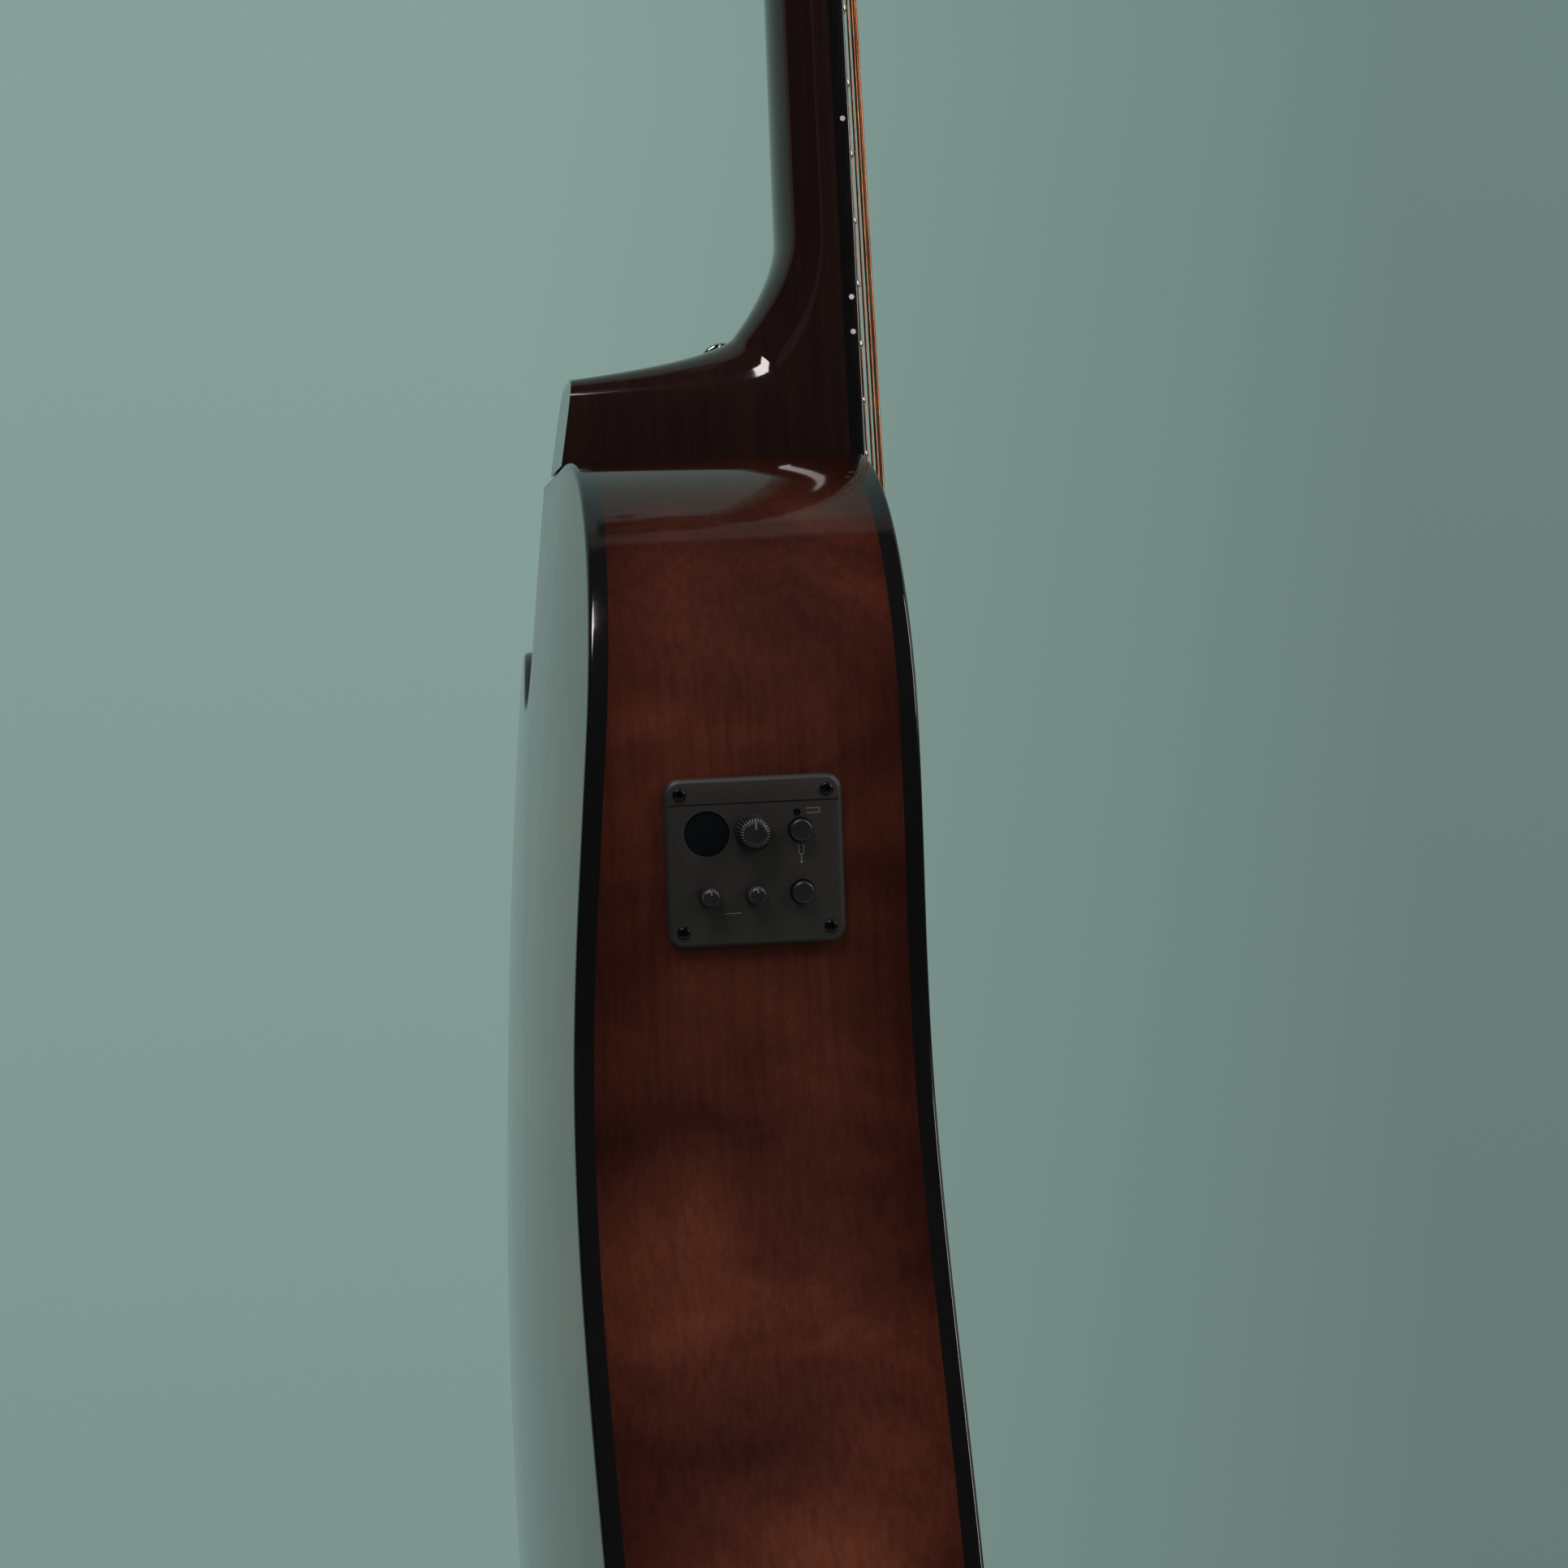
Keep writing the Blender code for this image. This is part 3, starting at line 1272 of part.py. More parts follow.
def make_tuner(index, side, along):
    """One enclosed machine: housing with bushing, button with worm shaft, post with gear."""
    frame = tuner_frame(side, along)
    face = HEADSTOCK_THICKNESS + GLUE_GAP
    wide, deep, tall = TUNER_HOUSING
    reach = WORM_OFFSET if side > 0 else -WORM_OFFSET
    shift = HOUSING_SHIFT if side > 0 else -HOUSING_SHIFT
    middle = face + deep / 2
    housing = block("tuner_%d_housing" % index, TUNER_HOUSING, (0, middle, shift))
    bevel_mesh(housing, 1.6 * MM, 60)
    rim = -TUNER_COLLAR_HEIGHT
    bush = rod("bush", (0, rim + 0.5 * MM, 0), (0, face + 1 * MM, 0), TUNER_BUSH_DIAMETER, 14)
    collar = rod("collar", (0, -GLUE_GAP, 0), (0, rim, 0), TUNER_COLLAR_DIAMETER, 14, None, 11 * MM)
    unite(housing, [bush, collar])
    cavity = block(
        "cavity",
        (wide - 2 * TUNER_WALL, deep - 2 * TUNER_WALL, tall - 2 * TUNER_WALL),
        (0, middle, shift),
        CUTTERS,
    )
    bore = rod(
        "post_bore",
        (0, -10 * MM, 0),
        (0, middle, 0),
        TUNER_POST_DIAMETER + 2 * TURN_GAP,
        12,
        CUTTERS,
    )
    side_bore = rod(
        "shaft_bore",
        (0, middle, reach),
        (wide, middle, reach),
        TUNER_SHAFT_DIAMETER + 2 * TURN_GAP,
        12,
        CUTTERS,
    )
    cut(housing, [cavity, bore, side_bore])
    housing.matrix_world = frame
    dress(smooth(housing), "chrome")

    post_axle = axle_empty("tuner_%d_post_axle" % index, frame)
    post = rod(
        "tuner_%d_post" % index, (0, -TUNER_POST_HEIGHT, 0), (0, middle, 0), TUNER_POST_DIAMETER, 12
    )
    gear = gear_wheel("gear", middle)
    unite(post, [gear])
    hole = rod(
        "string_eye",
        (-10 * MM, -WIND_TOP - 4 * MM, 0),
        (10 * MM, -WIND_TOP - 4 * MM, 0),
        1.8 * MM,
        6,
        CUTTERS,
    )
    cut(post, [hole])
    dress(smooth(hang(post, post_axle)), "chrome")

    knob_axle = axle_empty(
        "tuner_%d_knob_axle" % index, frame @ Matrix.Translation((0, middle, reach))
    )
    edge = HEADSTOCK_WIDTH / 2 - TUNER_POST_X + TUNER_BUTTON_GAP
    half_worm = wide / 2 - TUNER_WALL - TURN_GAP
    knob = rod(
        "tuner_%d_knob" % index, (-half_worm, 0, 0), (edge + 3 * MM, 0, 0), TUNER_SHAFT_DIAMETER, 10
    )
    worm = rod("worm", (-half_worm + 1 * MM, 0, 0), (half_worm - 1 * MM, 0, 0), TUNER_WORM_DIAMETER, 10)
    shoulder = rod("shoulder", (edge - 3 * MM, 0, 0), (edge + 1 * MM, 0, 0), 6 * MM, 10, None, 7 * MM)
    button = tuner_button_shape(edge)
    unite(knob, [worm, shoulder, button])
    dress(smooth(hang(knob, knob_axle)), "chrome")


def gear_wheel(name, middle):
    """The spur wheel at the foot of the post."""
    bm = bmesh.new()
    ring = []
    for tooth in range(TUNER_GEAR_TEETH * 2):
        angle = math.pi * (tooth + 0.5) / TUNER_GEAR_TEETH
        radius = TUNER_GEAR_DIAMETER / 2 - (0 if tooth % 2 else 1.1 * MM)
        ring.append((radius * math.cos(angle), radius * math.sin(angle)))
    low = [bm.verts.new((x, middle - TUNER_GEAR_THICKNESS / 2, z)) for x, z in ring]
    face = bm.faces.new(low)
    made = bmesh.ops.extrude_face_region(bm, geom=[face])
    moved = [item for item in made["geom"] if isinstance(item, bmesh.types.BMVert)]
    bmesh.ops.translate(bm, vec=(0, TUNER_GEAR_THICKNESS, 0), verts=moved)
    return link_mesh(name, bm)


def tuner_button_shape(edge):
    """The flattened oval button, wider at its outer end."""
    length, thick, width = TUNER_BUTTON
    rings = []
    stations = ((0, 0.5, 0.7), (0.2, 0.82, 1), (0.75, 1, 0.9), (0.95, 0.85, 0.6), (1, 0.6, 0.35))
    for share, size, depth in stations:
        ring = []
        for step in range(12):
            angle = 2 * math.pi * step / 12
            y = depth * thick / 2 * math.sin(angle)
            z = size * width / 2 * math.cos(angle)
            ring.append((edge + length * share, y, z))
        rings.append(ring)
    return loft("button", rings)


def preamp_frame():
    """The panel's frame on the bass side: X to the soundboard, Y up the neck, Z outwards."""
    surface, run = side_frame(PANEL_DROP)
    up = -run
    right = Vector((0, -1, 0))
    out = right.cross(up)
    surface.y = PANEL_CENTRE_Y
    return Matrix(
        (
            (right.x, up.x, out.x, surface.x),
            (right.y, up.y, out.y, surface.y),
            (right.z, up.z, out.z, surface.z),
            (0, 0, 0, 1),
        )
    )


PREAMP = preamp_frame()
PANEL_TOP = PANEL_SEAT + PANEL_THICKNESS


def rounded_rectangle(width, height, radius, steps=4):
    points = []
    for corner, (sx, sy) in enumerate(((1, 1), (-1, 1), (-1, -1), (1, -1))):
        for step in range(steps + 1):
            angle = math.pi / 2 * (corner + step / steps)
            x = sx * (width / 2 - radius) + radius * math.cos(angle)
            y = sy * (height / 2 - radius) + radius * math.sin(angle)
            points.append((x, y))
    return points


def plate(name, rings):
    """A flat-bottomed cover through rounded rectangles given as (width, height, radius, z)."""
    loops = []
    for width, height, radius, z in rings:
        loops.append([(x, y, z) for x, y in rounded_rectangle(width, height, radius)])
    return loft(name, loops)


def controls():
    """Name, place, diameter and kind of everything that the panel carries."""
    left, middle, right = CONTROL_COLUMNS
    return (
        ("volume_knob", middle, CONTROL_ROW_UPPER, VOLUME_KNOB_DIAMETER, "knob"),
        ("bass_knob", left, CONTROL_ROW_LOWER, TONE_KNOB_DIAMETER, "knob"),
        ("treble_knob", middle, CONTROL_ROW_LOWER, TONE_KNOB_DIAMETER, "knob"),
        ("tuner_button", right, CONTROL_ROW_UPPER, BUTTON_DIAMETER, "button"),
        ("phase_button", right, CONTROL_ROW_LOWER, BUTTON_DIAMETER, "button"),
    )


def place_on_preamp(obj):
    obj.matrix_world = PREAMP @ obj.matrix_world
    return obj


def make_panel():
    """The bevelled cover with its holes and the groove under the header strip."""
    edge = 1.2 * MM
    width, height = PANEL_WIDTH, PANEL_LENGTH
    obj = plate(
        "preamp_panel",
        (
            (width, height, PANEL_CORNER, PANEL_SEAT),
            (width, height, PANEL_CORNER, PANEL_TOP - edge),
            (width - 2 * edge, height - 2 * edge, PANEL_CORNER - edge, PANEL_TOP),
        ),
    )
    cutters = []
    for name, x, y, diameter, kind in controls():
        bore = KNOB_SHAFT_DIAMETER + 2 * TURN_GAP if kind == "knob" else diameter + 2 * TURN_GAP
        cutters.append(rod(name + "_hole", (x, y, -5 * MM), (x, y, 9 * MM), bore, 16, CUTTERS))
    x, y = CONTROL_COLUMNS[0], CONTROL_ROW_UPPER
    bore = DISPLAY_DIAMETER + 2 * GLUE_GAP
    cutters.append(rod("display_hole", (x, y, -5 * MM), (x, y, 9 * MM), bore, 24, CUTTERS))
    cutters.append(
        block("groove", (width - 4 * MM, 0.6 * MM, 0.8 * MM), (0, HEADER_Y, PANEL_TOP), CUTTERS)
    )
    cut(obj, cutters)
    dress(smooth(place_on_preamp(obj)), "panel_plastic")
    lens = rod("display_window", (x, y, PANEL_SEAT), (x, y, PANEL_TOP - 0.3 * MM), DISPLAY_DIAMETER, 24)
    dress(smooth(place_on_preamp(lens)), "dark_lens")


def make_preamp_box():
    """The box behind the panel, and the circuit board that carries the controls."""
    fit = 2 * GLUE_GAP
    width = PANEL_WIDTH - 2 * PANEL_LIP - fit
    height = PANEL_LENGTH - 2 * PANEL_LIP - fit
    rim = PANEL_SEAT - GLUE_GAP
    obj = block("preamp_box", (width, height, PREAMP_DEPTH), (0, 0, rim - PREAMP_DEPTH / 2))
    cavity = block(
        "cavity",
        (width - 2 * PREAMP_WALL, height - 2 * PREAMP_WALL, PREAMP_DEPTH),
        (0, 0, rim - PREAMP_DEPTH / 2 + PREAMP_WALL),
        CUTTERS,
    )
    cut(obj, [cavity])
    dress(place_on_preamp(obj), "panel_plastic")
    inside = (width - 2 * PREAMP_WALL - fit, height - 2 * PREAMP_WALL - fit)
    board = block("circuit_board", (*inside, BOARD_THICKNESS), (0, 0, -BOARD_DEPTH))
    pots = []
    for _, x, y, _, kind in controls():
        top = POT_FACE if kind == "knob" else STEM_END - BUTTON_TRAVEL - GLUE_GAP
        size = POT_SIZE if kind == "knob" else 6 * MM
        low = -BOARD_DEPTH
        pots.append(block("pot", (size, size, top - low), (x, y, (top + low) / 2)))
    unite(board, pots)
    bores = []
    for _, x, y, _, kind in controls():
        if kind == "knob":
            bore = KNOB_SHAFT_DIAMETER + 2 * TURN_GAP
            bores.append(rod("pot_bore", (x, y, -12 * MM), (x, y, 0), bore, 12, CUTTERS))
    cut(board, bores)
    dress(place_on_preamp(board), "panel_plastic")


def make_knob(name, x, y, diameter):
    """A knurled knob with a pointer flat, on its shaft; the axle empty lies on its axis."""
    height = VOLUME_KNOB_HEIGHT if diameter > 9 * MM else TONE_KNOB_HEIGHT
    teeth = 16 if diameter > 9 * MM else 10
    low = PANEL_TOP + TURN_GAP
    rings = []
    for share, size in ((0, 1), (0.82, 0.96), (1, 0.82)):
        ring = []
        for tooth in range(teeth * 2):
            angle = math.pi * tooth / teeth
            depth = 1 if tooth % 2 else 0.9
            radius = diameter / 2 * size * (depth if share < 1 else 0.95)
            ring.append((radius * math.cos(angle), radius * math.sin(angle), low + height * share))
        rings.append(ring)
    obj = loft(name, rings)
    shaft = rod("shaft", (0, 0, -10 * MM), (0, 0, low + 1 * MM), KNOB_SHAFT_DIAMETER, 12)
    unite(obj, [shaft])
    mark = block(
        "mark", (0.8 * MM, diameter, 1.0 * MM), (0, diameter * 0.72, low + height), CUTTERS
    )
    cut(obj, [mark])
    axle = axle_empty(name + "_axle", PREAMP @ Matrix.Translation((x, y, 0)))
    dress(hang(obj, axle), "knob_rubber")


def make_button(name, x, y, diameter):
    """A push button with its stem; a collar under the panel keeps it in."""
    top = PANEL_TOP + BUTTON_HEIGHT
    obj = rod(name, (0, 0, PANEL_SEAT - 1 * MM), (0, 0, top), diameter, 16)
    bevel_mesh(obj, 0.5 * MM, 60)
    collar = rod(
        "collar", (0, 0, PANEL_SEAT - TURN_GAP - 1.2 * MM), (0, 0, PANEL_SEAT - TURN_GAP), diameter + 2.4 * MM, 16
    )
    stem = rod("stem", (0, 0, STEM_END), (0, 0, PANEL_SEAT - 0.5 * MM), KNOB_SHAFT_DIAMETER, 10)
    unite(obj, [collar, stem])
    axle = axle_empty(name + "_axle", PREAMP @ Matrix.Translation((x, y, 0)))
    dress(smooth(hang(obj, axle)), "knob_rubber")


def make_controls():
    for name, x, y, diameter, kind in controls():
        if kind == "knob":
            make_knob(name, x, y, diameter)
        else:
            make_button(name, x, y, diameter)


def turned(name, profile, start, direction, sides=24):
    """A solid of revolution from (radius, height) points, set on a point along a direction."""
    rings = []
    for radius, height in profile:
        ring = []
        for step in range(sides):
            angle = 2 * math.pi * step / sides
            ring.append((radius * math.cos(angle), radius * math.sin(angle), height))
        rings.append(ring)
    obj = loft(name, rings)
    obj.data.transform(Matrix.Translation(start) @ toward(direction))
    return smooth(obj)


def make_strap_button():
    radius = STRAP_BUTTON_DIAMETER / 2
    length = STRAP_BUTTON_LENGTH
    profile = (
        (radius * 0.72, 0),
        (radius * 0.72, length * 0.08),
        (radius * 0.45, length * 0.3),
        (radius * 0.45, length * 0.6),
        (radius, length * 0.82),
        (radius, length * 0.93),
        (radius * 0.8, length),
    )
    seat, axis = heel_side(STRAP_BUTTON_SHARE, STRAP_BUTTON_OUT_SHARE)
    dress(turned("strap_button", profile, seat + axis * GLUE_GAP, axis, 20), "chrome")


def make_jack():
    """The endpin jack: a barrel through the tail block with a strap flange and a plug bore."""
    flange = JACK_FLANGE_DIAMETER / 2
    barrel = JACK_BARREL_DIAMETER / 2
    inner = TAIL_BLOCK_LENGTH + 18 * MM
    profile = (
        (barrel, -inner),
        (barrel, GLUE_GAP),
        (barrel + 2 * MM, GLUE_GAP),
        (barrel + 1 * MM, JACK_LENGTH * 0.3),
        (barrel + 0.6 * MM, JACK_LENGTH * 0.6),
        (flange, JACK_LENGTH * 0.78),
        (flange, JACK_LENGTH * 0.92),
        (flange - 1.2 * MM, JACK_LENGTH),
    )
    obj = turned("endpin_jack", profile, (0, JACK_Y, -TAIL), (0, 0, -1), 24)
    bore = rod(
        "plug_bore",
        (0, JACK_Y, -TAIL - JACK_LENGTH - 5 * MM),
        (0, JACK_Y, -TAIL + inner - 4 * MM),
        JACK_BORE_DIAMETER,
        16,
        CUTTERS,
    )
    dress(smooth(cut(obj, [bore])), "chrome")


def make_battery():
    """The battery, lying across the neck block in a holder that opens downwards."""
    deep, thick, long = BATTERY_SIZE
    wall = HOLDER_WALL
    top = -(JOINT + SIDE_THICKNESS + GLUE_GAP + NECK_BLOCK_LENGTH + GLUE_GAP)
    holder_deep = deep * 0.7
    centre_y = 48 * MM
    fit = 2 * GLUE_GAP
    holder = block(
        "battery_holder",
        (long + fit + 2 * wall, thick + fit + 2 * wall, holder_deep + wall),
        (0, centre_y, top - (holder_deep + wall) / 2),
    )
    room = block(
        "room",
        (long + fit, thick + fit, holder_deep + wall),
        (0, centre_y, top - wall - (holder_deep + wall) / 2),
        CUTTERS,
    )
    dress(cut(holder, [room]), "panel_plastic")
    cell = block(
        "battery", (long, thick, deep), (0, centre_y, top - wall - GLUE_GAP - deep / 2)
    )
    bevel_mesh(cell, 1.5 * MM, 60)
    dress(cell, "steel")


def make_leads():
    """The two leads inside the body, along routes chosen by hand."""
    end = -TAIL + TAIL_BLOCK_LENGTH + 18 * MM + GLUE_GAP
    floor = PREAMP @ Vector((6 * MM, -(PANEL_LENGTH / 2 - PANEL_LIP), -18 * MM))
    down = (PREAMP @ Vector((6 * MM, -(PANEL_LENGTH / 2 - PANEL_LIP) - 6 * MM, -18 * MM))) - floor
    down.normalize()
    away = floor + down * (GLUE_GAP + 0.2 * MM)
    jack_route = [
        Vector((0, JACK_Y, end)),
        Vector((0, JACK_Y, end + 8 * MM)),
        Vector((-34 * MM, JACK_Y + 4 * MM, end + 44 * MM)),
        Vector((-92 * MM, 60 * MM, -(TAIL - 134 * MM))),
        Vector((-126 * MM, 62 * MM, -(JOINT + PANEL_DROP + 162 * MM))),
        Vector((-122 * MM, 56 * MM, -(JOINT + PANEL_DROP + 82 * MM))),
        away + down * 8 * MM,
        away,
    ]
    lead = tube("jack_lead", smooth_route(jack_route, 4 * LEAD_DIAMETER), LEAD_DIAMETER, 1)
    dress(lead, "cable_black")
    start_z = -saddle_distance(LEAD_X)
    floor_y = -BRIDGE_HEIGHT + SADDLE_SLOT_DEPTH
    second = PREAMP @ Vector((16 * MM, -(PANEL_LENGTH / 2 - PANEL_LIP), -18 * MM)) + down * (
        GLUE_GAP + 0.2 * MM
    )
    pickup_route = [
        Vector((LEAD_X, floor_y, start_z)),
        Vector((LEAD_X, floor_y + 8 * MM, start_z)),
        Vector((LEAD_X, 16 * MM, start_z)),
        Vector((LEAD_X - 8 * MM, 27 * MM, start_z + 12 * MM)),
        Vector((-70 * MM, 34 * MM, start_z + 57 * MM)),
        Vector((-104 * MM, 36 * MM, -(JOINT + PANEL_DROP + 58 * MM))),
        second + down * 8 * MM,
        second,
    ]
    lead = tube("pickup_lead", smooth_route(pickup_route, 4 * LEAD_DIAMETER), LEAD_DIAMETER, 1)
    dress(lead, "cable_black")


def make_pickguard():
    """A teardrop guard beside the soundhole on the treble side."""
    radius = SOUNDHOLE_DIAMETER / 2 + 6 * MM
    points = []
    for step in range(9):
        angle = math.radians(62 - 117 * step / 8)
        points.append((radius * math.cos(angle), HOLE_CENTRE - radius * math.sin(angle)))
    start = points[-1]
    end = points[0]
    low = (94 * MM, HOLE_CENTRE + 98 * MM)
    points += bezier(start, (38 * MM, HOLE_CENTRE + 74 * MM), (70 * MM, low[1]), low, 5)
    points += bezier(low, (126 * MM, low[1]), (112 * MM, HOLE_CENTRE - 10 * MM), end, 8)[:-1]
    obj = prism("pickguard", points, -GLUE_GAP - PICKGUARD_THICKNESS, -GLUE_GAP)
    dress(obj, "panel_plastic")


def build():
    make_sides()
    make_bindings()
    make_linings()
    make_soundboard()
    make_back()
    make_end_blocks()
    make_top_bracing()
    make_bridge_plate()
    make_neck()
    make_fretboard()
    make_nut()
    make_truss_rod()
    make_bridge()
    make_saddle()
    make_strings()
    for index, side, along in tuner_places():
        make_tuner(index, side, along)
    make_panel()
    make_preamp_box()
    make_controls()
    make_strap_button()
    make_jack()
    make_battery()
    make_leads()
    make_pickguard()


build()
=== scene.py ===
"""The looks of the acoustic-electric guitar: its surfaces, fine shapes, light and camera.

Metres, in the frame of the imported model: the origin is the front edge of the nut in the plane of
the soundboard, +Z runs up the neck, the soundboard faces -Y and +X is the treble side.
"""

import json
import math

import bmesh
import bpy
from mathutils import Matrix, Quaternion, Vector

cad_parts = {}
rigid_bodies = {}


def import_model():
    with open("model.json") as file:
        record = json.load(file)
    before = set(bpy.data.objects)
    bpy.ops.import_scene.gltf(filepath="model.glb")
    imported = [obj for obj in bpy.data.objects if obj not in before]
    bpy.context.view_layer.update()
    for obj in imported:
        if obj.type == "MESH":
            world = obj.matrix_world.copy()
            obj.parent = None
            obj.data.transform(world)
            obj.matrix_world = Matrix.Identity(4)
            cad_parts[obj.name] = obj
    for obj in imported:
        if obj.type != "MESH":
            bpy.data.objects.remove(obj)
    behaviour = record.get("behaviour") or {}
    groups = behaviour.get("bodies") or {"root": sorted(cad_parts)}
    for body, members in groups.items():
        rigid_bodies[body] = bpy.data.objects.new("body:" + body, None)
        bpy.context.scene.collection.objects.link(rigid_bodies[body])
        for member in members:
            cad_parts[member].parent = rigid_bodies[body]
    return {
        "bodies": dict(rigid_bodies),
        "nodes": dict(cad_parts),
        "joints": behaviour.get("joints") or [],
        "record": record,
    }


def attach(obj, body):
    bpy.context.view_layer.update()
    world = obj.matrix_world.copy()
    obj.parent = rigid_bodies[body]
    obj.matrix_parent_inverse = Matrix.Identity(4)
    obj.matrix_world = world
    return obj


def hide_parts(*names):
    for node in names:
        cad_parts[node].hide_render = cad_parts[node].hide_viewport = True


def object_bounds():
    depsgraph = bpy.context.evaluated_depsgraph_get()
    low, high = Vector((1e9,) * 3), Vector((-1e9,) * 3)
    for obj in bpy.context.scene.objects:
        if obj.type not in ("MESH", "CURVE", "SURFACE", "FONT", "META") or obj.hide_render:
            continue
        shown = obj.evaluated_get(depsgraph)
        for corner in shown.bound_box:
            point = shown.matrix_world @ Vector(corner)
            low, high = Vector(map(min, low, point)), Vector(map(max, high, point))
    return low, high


MM = 0.001

# Camera, fitted to the photograph
CAMERA_PLACE = (-1.486, 0.220, -0.479)
CAMERA_YAW = math.radians(-97.56)
CAMERA_PITCH = math.radians(-0.59)
CAMERA_ROLL = math.radians(-2.73)
CAMERA_LENS = 105.8
SENSOR = 36

# Sizes shared with the model
SCALE_LENGTH = 648 * MM
JOINT_FRET = 14
FRET_COUNT = 20
NUT_WIDTH = 43 * MM
JOINT_WIDTH = 55.5 * MM
NECK_DEPTH_AT_NUT = 15 * MM
NECK_DEPTH_AT_HEEL = 17.4 * MM
NUT_THICKNESS = 5 * MM
FRETBOARD_THICKNESS = 6 * MM
FRETBOARD_RADIUS = 400 * MM
FRETBOARD_OVERHANG = 6 * MM
FRET_WIDTH = 2.2 * MM
FRET_HEIGHT = 1.1 * MM
HEEL_START = 286 * MM
HEEL_CURL_DEPTH = 33 * MM
HEEL_CURL_FROM_JOINT = 41 * MM
HEEL_CAP_LENGTH = 28.5 * MM
HEEL_CAP_HALF_WIDTH = 21 * MM
SHAFT_ROUNDNESS = 2.15
HEEL_ROUNDNESS = 2.55
HEEL_CAP_ROUNDNESS = 5.0
GLUE_GAP = 0.3 * MM
HEADSTOCK_TILT = math.radians(14)
HEADSTOCK_LENGTH = 190 * MM
HEADSTOCK_WIDTH = 74 * MM
HEADSTOCK_CROWN_WIDTH = 66 * MM
HEADSTOCK_FLARE = 38 * MM
HEADSTOCK_THICKNESS = 14 * MM
HEADSTOCK_CROWN = 6 * MM
UPPER_HALF_WIDTH = 139.5 * MM
UPPER_DROP = 91.4 * MM
WAIST_HALF_WIDTH = 134.7 * MM
WAIST_DROP = 174.1 * MM
LOWER_HALF_WIDTH = 199 * MM
LOWER_DROP = 415.9 * MM
BODY_LENGTH = 506 * MM
SHOULDER_FLAT = 30 * MM
CUTAWAY_HALF_WIDTH = 52 * MM
SCOOP_X = 72 * MM
SCOOP_DROP = 74 * MM
HORN_X = 118 * MM
HORN_DROP = 53 * MM
HORN_SIDE_DROP = 86 * MM
BACK_RADIUS = 2630 * MM
BACK_DEPTH = 114.9 * MM
BACK_CREST_DROP = 342.4 * MM
PLATE_THICKNESS = 2.8 * MM
SIDE_THICKNESS = 2.4 * MM
BINDING_WIDTH = 2.2 * MM
BINDING_HEIGHT = 5.5 * MM
SOUNDHOLE_DIAMETER = 100 * MM
SOUNDHOLE_GAP_TO_BOARD = 3 * MM
STRING_DIAMETERS = (1.35 * MM, 1.07 * MM, 0.81 * MM, 0.61 * MM, 0.41 * MM, 0.30 * MM)
STRING_SPREAD_AT_NUT = 36 * MM
STRING_SPREAD_AT_SADDLE = 53 * MM
STRING_OVER_NUT_BOARD = 1.6 * MM
ACTION_BASS = 3.2 * MM
ACTION_TREBLE = 2.5 * MM
WIND_TURNS = 2.5
WIND_GAP = 0.5 * MM
WIND_TOP = 11.5 * MM
TUNER_ALONG = (52 * MM, 92 * MM, 132 * MM)
TUNER_POST_X = 21.5 * MM
TUNER_POST_DIAMETER = 6 * MM
TUNER_POST_HEIGHT = 20 * MM
TUNER_BUSH_DIAMETER = 9 * MM
PANEL_WIDTH = 53 * MM
PANEL_LENGTH = 50 * MM
PANEL_THICKNESS = 2.2 * MM
PANEL_CORNER = 5 * MM
PANEL_SEAT = 0.8 * MM
PANEL_TOP = PANEL_SEAT + PANEL_THICKNESS
PANEL_LIP = 3.5 * MM
PANEL_CENTRE = (-0.13769, 0.051, -0.48695)
PANEL_UP = (-0.09127, 0, 0.99583)
CONTROL_ROW_UPPER = 8.6 * MM
CONTROL_ROW_LOWER = -9.8 * MM
CONTROL_COLUMNS = (-14.1 * MM, -0.3 * MM, 13.7 * MM)
HEADER_Y = 17.2 * MM

# Handles of the outline's curves
SHOULDER_REACH = 75.4 * MM
UPPER_RISE = 39.3 * MM
UPPER_FALL = 39.9 * MM
WAIST_RISE = 36.5 * MM
WAIST_FALL = 74.1 * MM
LOWER_RISE = 90.2 * MM
LOWER_FALL = 52 * MM
TAIL_REACH = 112 * MM

# Fine steps of the curves
SHOULDER_STEPS = 36
WAIST_STEPS = 18
LOWER_STEPS = 40
TAIL_STEPS = 36
CUT_STEPS = 24

# Plates, bindings and neck
PLATE_INSET = BINDING_WIDTH + GLUE_GAP
SHAFT_STEPS = 30
WRAP_PITCH = 0.42 * MM
# Levels of the sides' colour by distance down from the neck joint: darker by the heel and at the waist,
# partly sunburst stain and partly painted shade
SIDE_STAIN_AND_SHADE_REACH = 400 * MM
SIDE_STAIN_AND_SHADE_LEVELS = ((0.0, 0.15), (0.13, 0.95), (0.33, 0.60), (0.65, 0.85))
BINDING_ROUND = 1.5 * MM
SEAM = 0.02 * MM
BACK_BRACE_DROPS = (55 * MM, 165 * MM, 290 * MM, 400 * MM)
CUTAWAY_CLEAR = 90 * MM
JACK_Y = 52 * MM
JACK_BARREL_DIAMETER = 12 * MM
JACK_FLANGE_DIAMETER = 18 * MM
JACK_LENGTH = 16 * MM
JACK_BORE_DIAMETER = 6.8 * MM
TAIL_BLOCK_LENGTH = 18 * MM
TRUSS_ROD_WIDTH = 6 * MM
TRUSS_ROD_DEPTH = 9 * MM
ROD_POCKET = 26 * MM
DOT_FRETS = (3, 5, 7, 9, 15, 17, 19)
SIDE_DOT_DIAMETER = 1.7 * MM
FACE_DOT_DIAMETER = 6.2 * MM
DOUBLE_DOT_SPREAD = 5.6 * MM
SIDE_DOT_DEPTH = 3.0 * MM
FRET_SINK = 0.1 * MM

